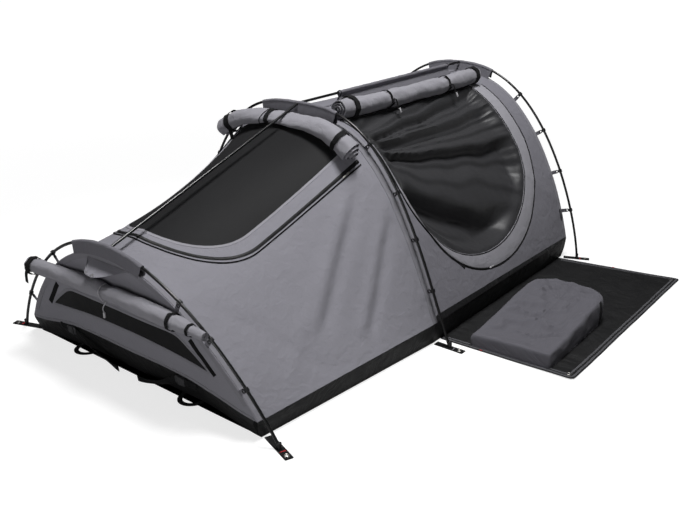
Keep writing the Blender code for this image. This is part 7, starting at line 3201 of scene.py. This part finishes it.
@dataclass(frozen=True)
class Camera:
    """The photograph's view: place, angles in degrees and lens."""

    place: tuple[float, float, float] = (-2.715, -2.266, 1.497)
    yaw: float = 51.5426
    pitch: float = 21.21256
    roll: float = 0.52977
    focal_pixels: float = 832.091
    picture_width: int = 700
    sensor: float = 36.0
    far_clip: float = 200.0

    def build(self) -> None:
        """Set up the camera."""
        yaw, pitch, roll = (math.radians(value) for value in (self.yaw, self.pitch, self.roll))
        ahead = Vector((math.sin(yaw) * math.cos(pitch), math.cos(yaw) * math.cos(pitch),
                        -math.sin(pitch)))
        right = Vector((math.cos(yaw), -math.sin(yaw), 0.0))
        up = right.cross(ahead)
        turned = right * math.cos(roll) + up * math.sin(roll)
        upright = up * math.cos(roll) - right * math.sin(roll)
        data = bpy.data.cameras.new("photo_view")
        data.sensor_width = self.sensor
        data.lens = self.focal_pixels * self.sensor / self.picture_width
        data.clip_end = self.far_clip
        made = bpy.data.objects.new("photo_view", data)
        matrix = Matrix((turned, upright, -ahead)).transposed().to_4x4()
        matrix.translation = Vector(self.place)
        made.matrix_world = matrix
        bpy.context.scene.collection.objects.link(made)
        bpy.context.scene.camera = made


@dataclass(frozen=True)
class Lamp:
    """A soft lamp: where it stands, what it looks at, its size and its power."""

    name: str
    place: tuple[float, float, float]
    aim: tuple[float, float, float]
    size: float
    watts: float

    def build(self) -> None:
        """Hang the lamp."""
        data = bpy.data.lights.new(self.name, "AREA")
        data.shape = "DISK"
        data.size = self.size
        data.energy = self.watts
        made = bpy.data.objects.new(self.name, data)
        made.location = self.place
        look = Vector(self.aim) - Vector(self.place)
        made.rotation_euler = look.to_track_quat("-Z", "Y").to_euler()
        bpy.context.scene.collection.objects.link(made)


def seen_or_through(tree: Tree) -> Socket:
    """1 for rays from the camera or through glass, 0 for all others."""
    path = add_node(tree, "LightPath").outputs
    return add_node(tree, "Math", {0: path["Is Camera Ray"], 1: path["Is Transmission Ray"]},
                    operation="MAXIMUM").outputs[0]


@dataclass
class Studio:
    """Pale floor and backdrop, soft lamps and the sky."""

    sky: float = 0.07
    floor_glow: float = 0.74
    floor_reach: float = 30.0
    glow_from: float = 2.2
    glow_to: float = 6.0
    lamps: tuple[Lamp, ...] = (
        Lamp("top_soft_box", (-0.3, -0.9, 5.0), (-0.1, -0.1, 0.3), 1.5, 280.0),
        Lamp("near_fill", (-1.6, -5.2, 2.4), (-0.3, 0.0, 0.35), 3.0, 5.0),
        Lamp("foot_fill", (-5.0, -0.9, 0.9), (-0.9, 0.0, 0.2), 2.0, 44.0))

    def pale(self, name: str, colour: str, glow: float) -> bpy.types.Material:
        """
        A pale stage material that the camera sees as white, with shadows kept.

        Args:
            name: Name of the material.
            colour: Its colour.
            glow: Light added for the camera and glass only.

        Returns:
            The material.
        """
        made = bpy.data.materials.new(name)
        made.use_nodes = True
        tree = made.node_tree
        tree.nodes.clear()
        coords = coordinates(tree, "Object")
        speck = add_node(tree, "TexNoise", {"Vector": coords, "Scale": 3.0}).outputs["Fac"]
        paint = two_tone(tree, speck, linear(colour, 0.985), linear(colour))
        matt = add_node(tree, "BsdfDiffuse", {"Color": paint})
        seen = seen_or_through(tree)
        away = add_node(tree, "VectorMath", {0: coords}, operation="LENGTH")
        fade = add_node(tree, "MapRange", {"Value": away.outputs["Value"],
                                           "From Min": self.glow_from, "From Max": self.glow_to,
                                           "To Min": glow, "To Max": 1.0})
        strength = add_node(tree, "Math", {0: seen, 1: fade.outputs["Result"]},
                            operation="MULTIPLY")
        shine = add_node(tree, "Emission", {"Strength": strength.outputs[0]})
        both = add_node(tree, "AddShader", {0: matt.outputs[0], 1: shine.outputs[0]})
        add_node(tree, "OutputMaterial", {"Surface": both.outputs[0]})
        return made

    def light_sky(self) -> None:
        """An even sky: dim as light, white where the camera sees it."""
        world = bpy.data.worlds.new("studio_sky")
        bpy.context.scene.world = world
        world.use_nodes = True
        tree = world.node_tree
        tree.nodes.clear()
        glow = add_node(tree, "Background", {
            "Color": (1.0, 1.0, 1.0, 1.0),
            "Strength": levels(tree, seen_or_through(tree), self.sky, 1.0)})
        add_node(tree, "OutputWorld", {"Surface": glow.outputs[0]})

    def build(self) -> None:
        """Lay the floor, hang backdrop and lamps, and light the sky."""
        start_alone()
        bpy.ops.mesh.primitive_plane_add(size=2.0 * self.floor_reach, location=(0, 0, -0.0002))
        floor = bpy.context.object
        floor.name = "studio_floor"
        floor.data.materials.append(self.pale("studio_floor_paint", "#a0a0a0", self.floor_glow))
        start_alone()
        bpy.ops.mesh.primitive_cylinder_add(vertices=96, radius=self.floor_reach - 1.0,
                                            depth=16.0, location=(0.0, 0.0, 7.5),
                                            end_fill_type="NOTHING")
        backdrop = bpy.context.object
        backdrop.name = "studio_backdrop"
        backdrop.data.materials.append(self.pale("studio_backdrop_paint", "#404040", 1.0))
        backdrop.visible_shadow = backdrop.visible_diffuse = False
        for lamp in self.lamps:
            lamp.build()
        self.light_sky()
        bpy.context.scene.view_settings.view_transform = "Standard"


def main() -> None:
    """Build the bedroll's looks in order, then the studio."""
    logging.basicConfig(level=logging.INFO, format="%(name)s %(message)s")
    Camera().build()
    for assembly in (BucketFloor(), FoamMattress(), FootCanopy(), HeadCanopy(), EndWalls(),
                     PoleFrame(), PoleClips(), RolledFlaps(), VentHood(), AnchorTabs(), Buckles(),
                     CarryHandles(), ZipSliders(), GroundMat(), GearBag()):
        LOG.info("building %s", type(assembly).__name__)
        assembly.build()
    Studio().build()


if __name__ == "__main__":
    main()
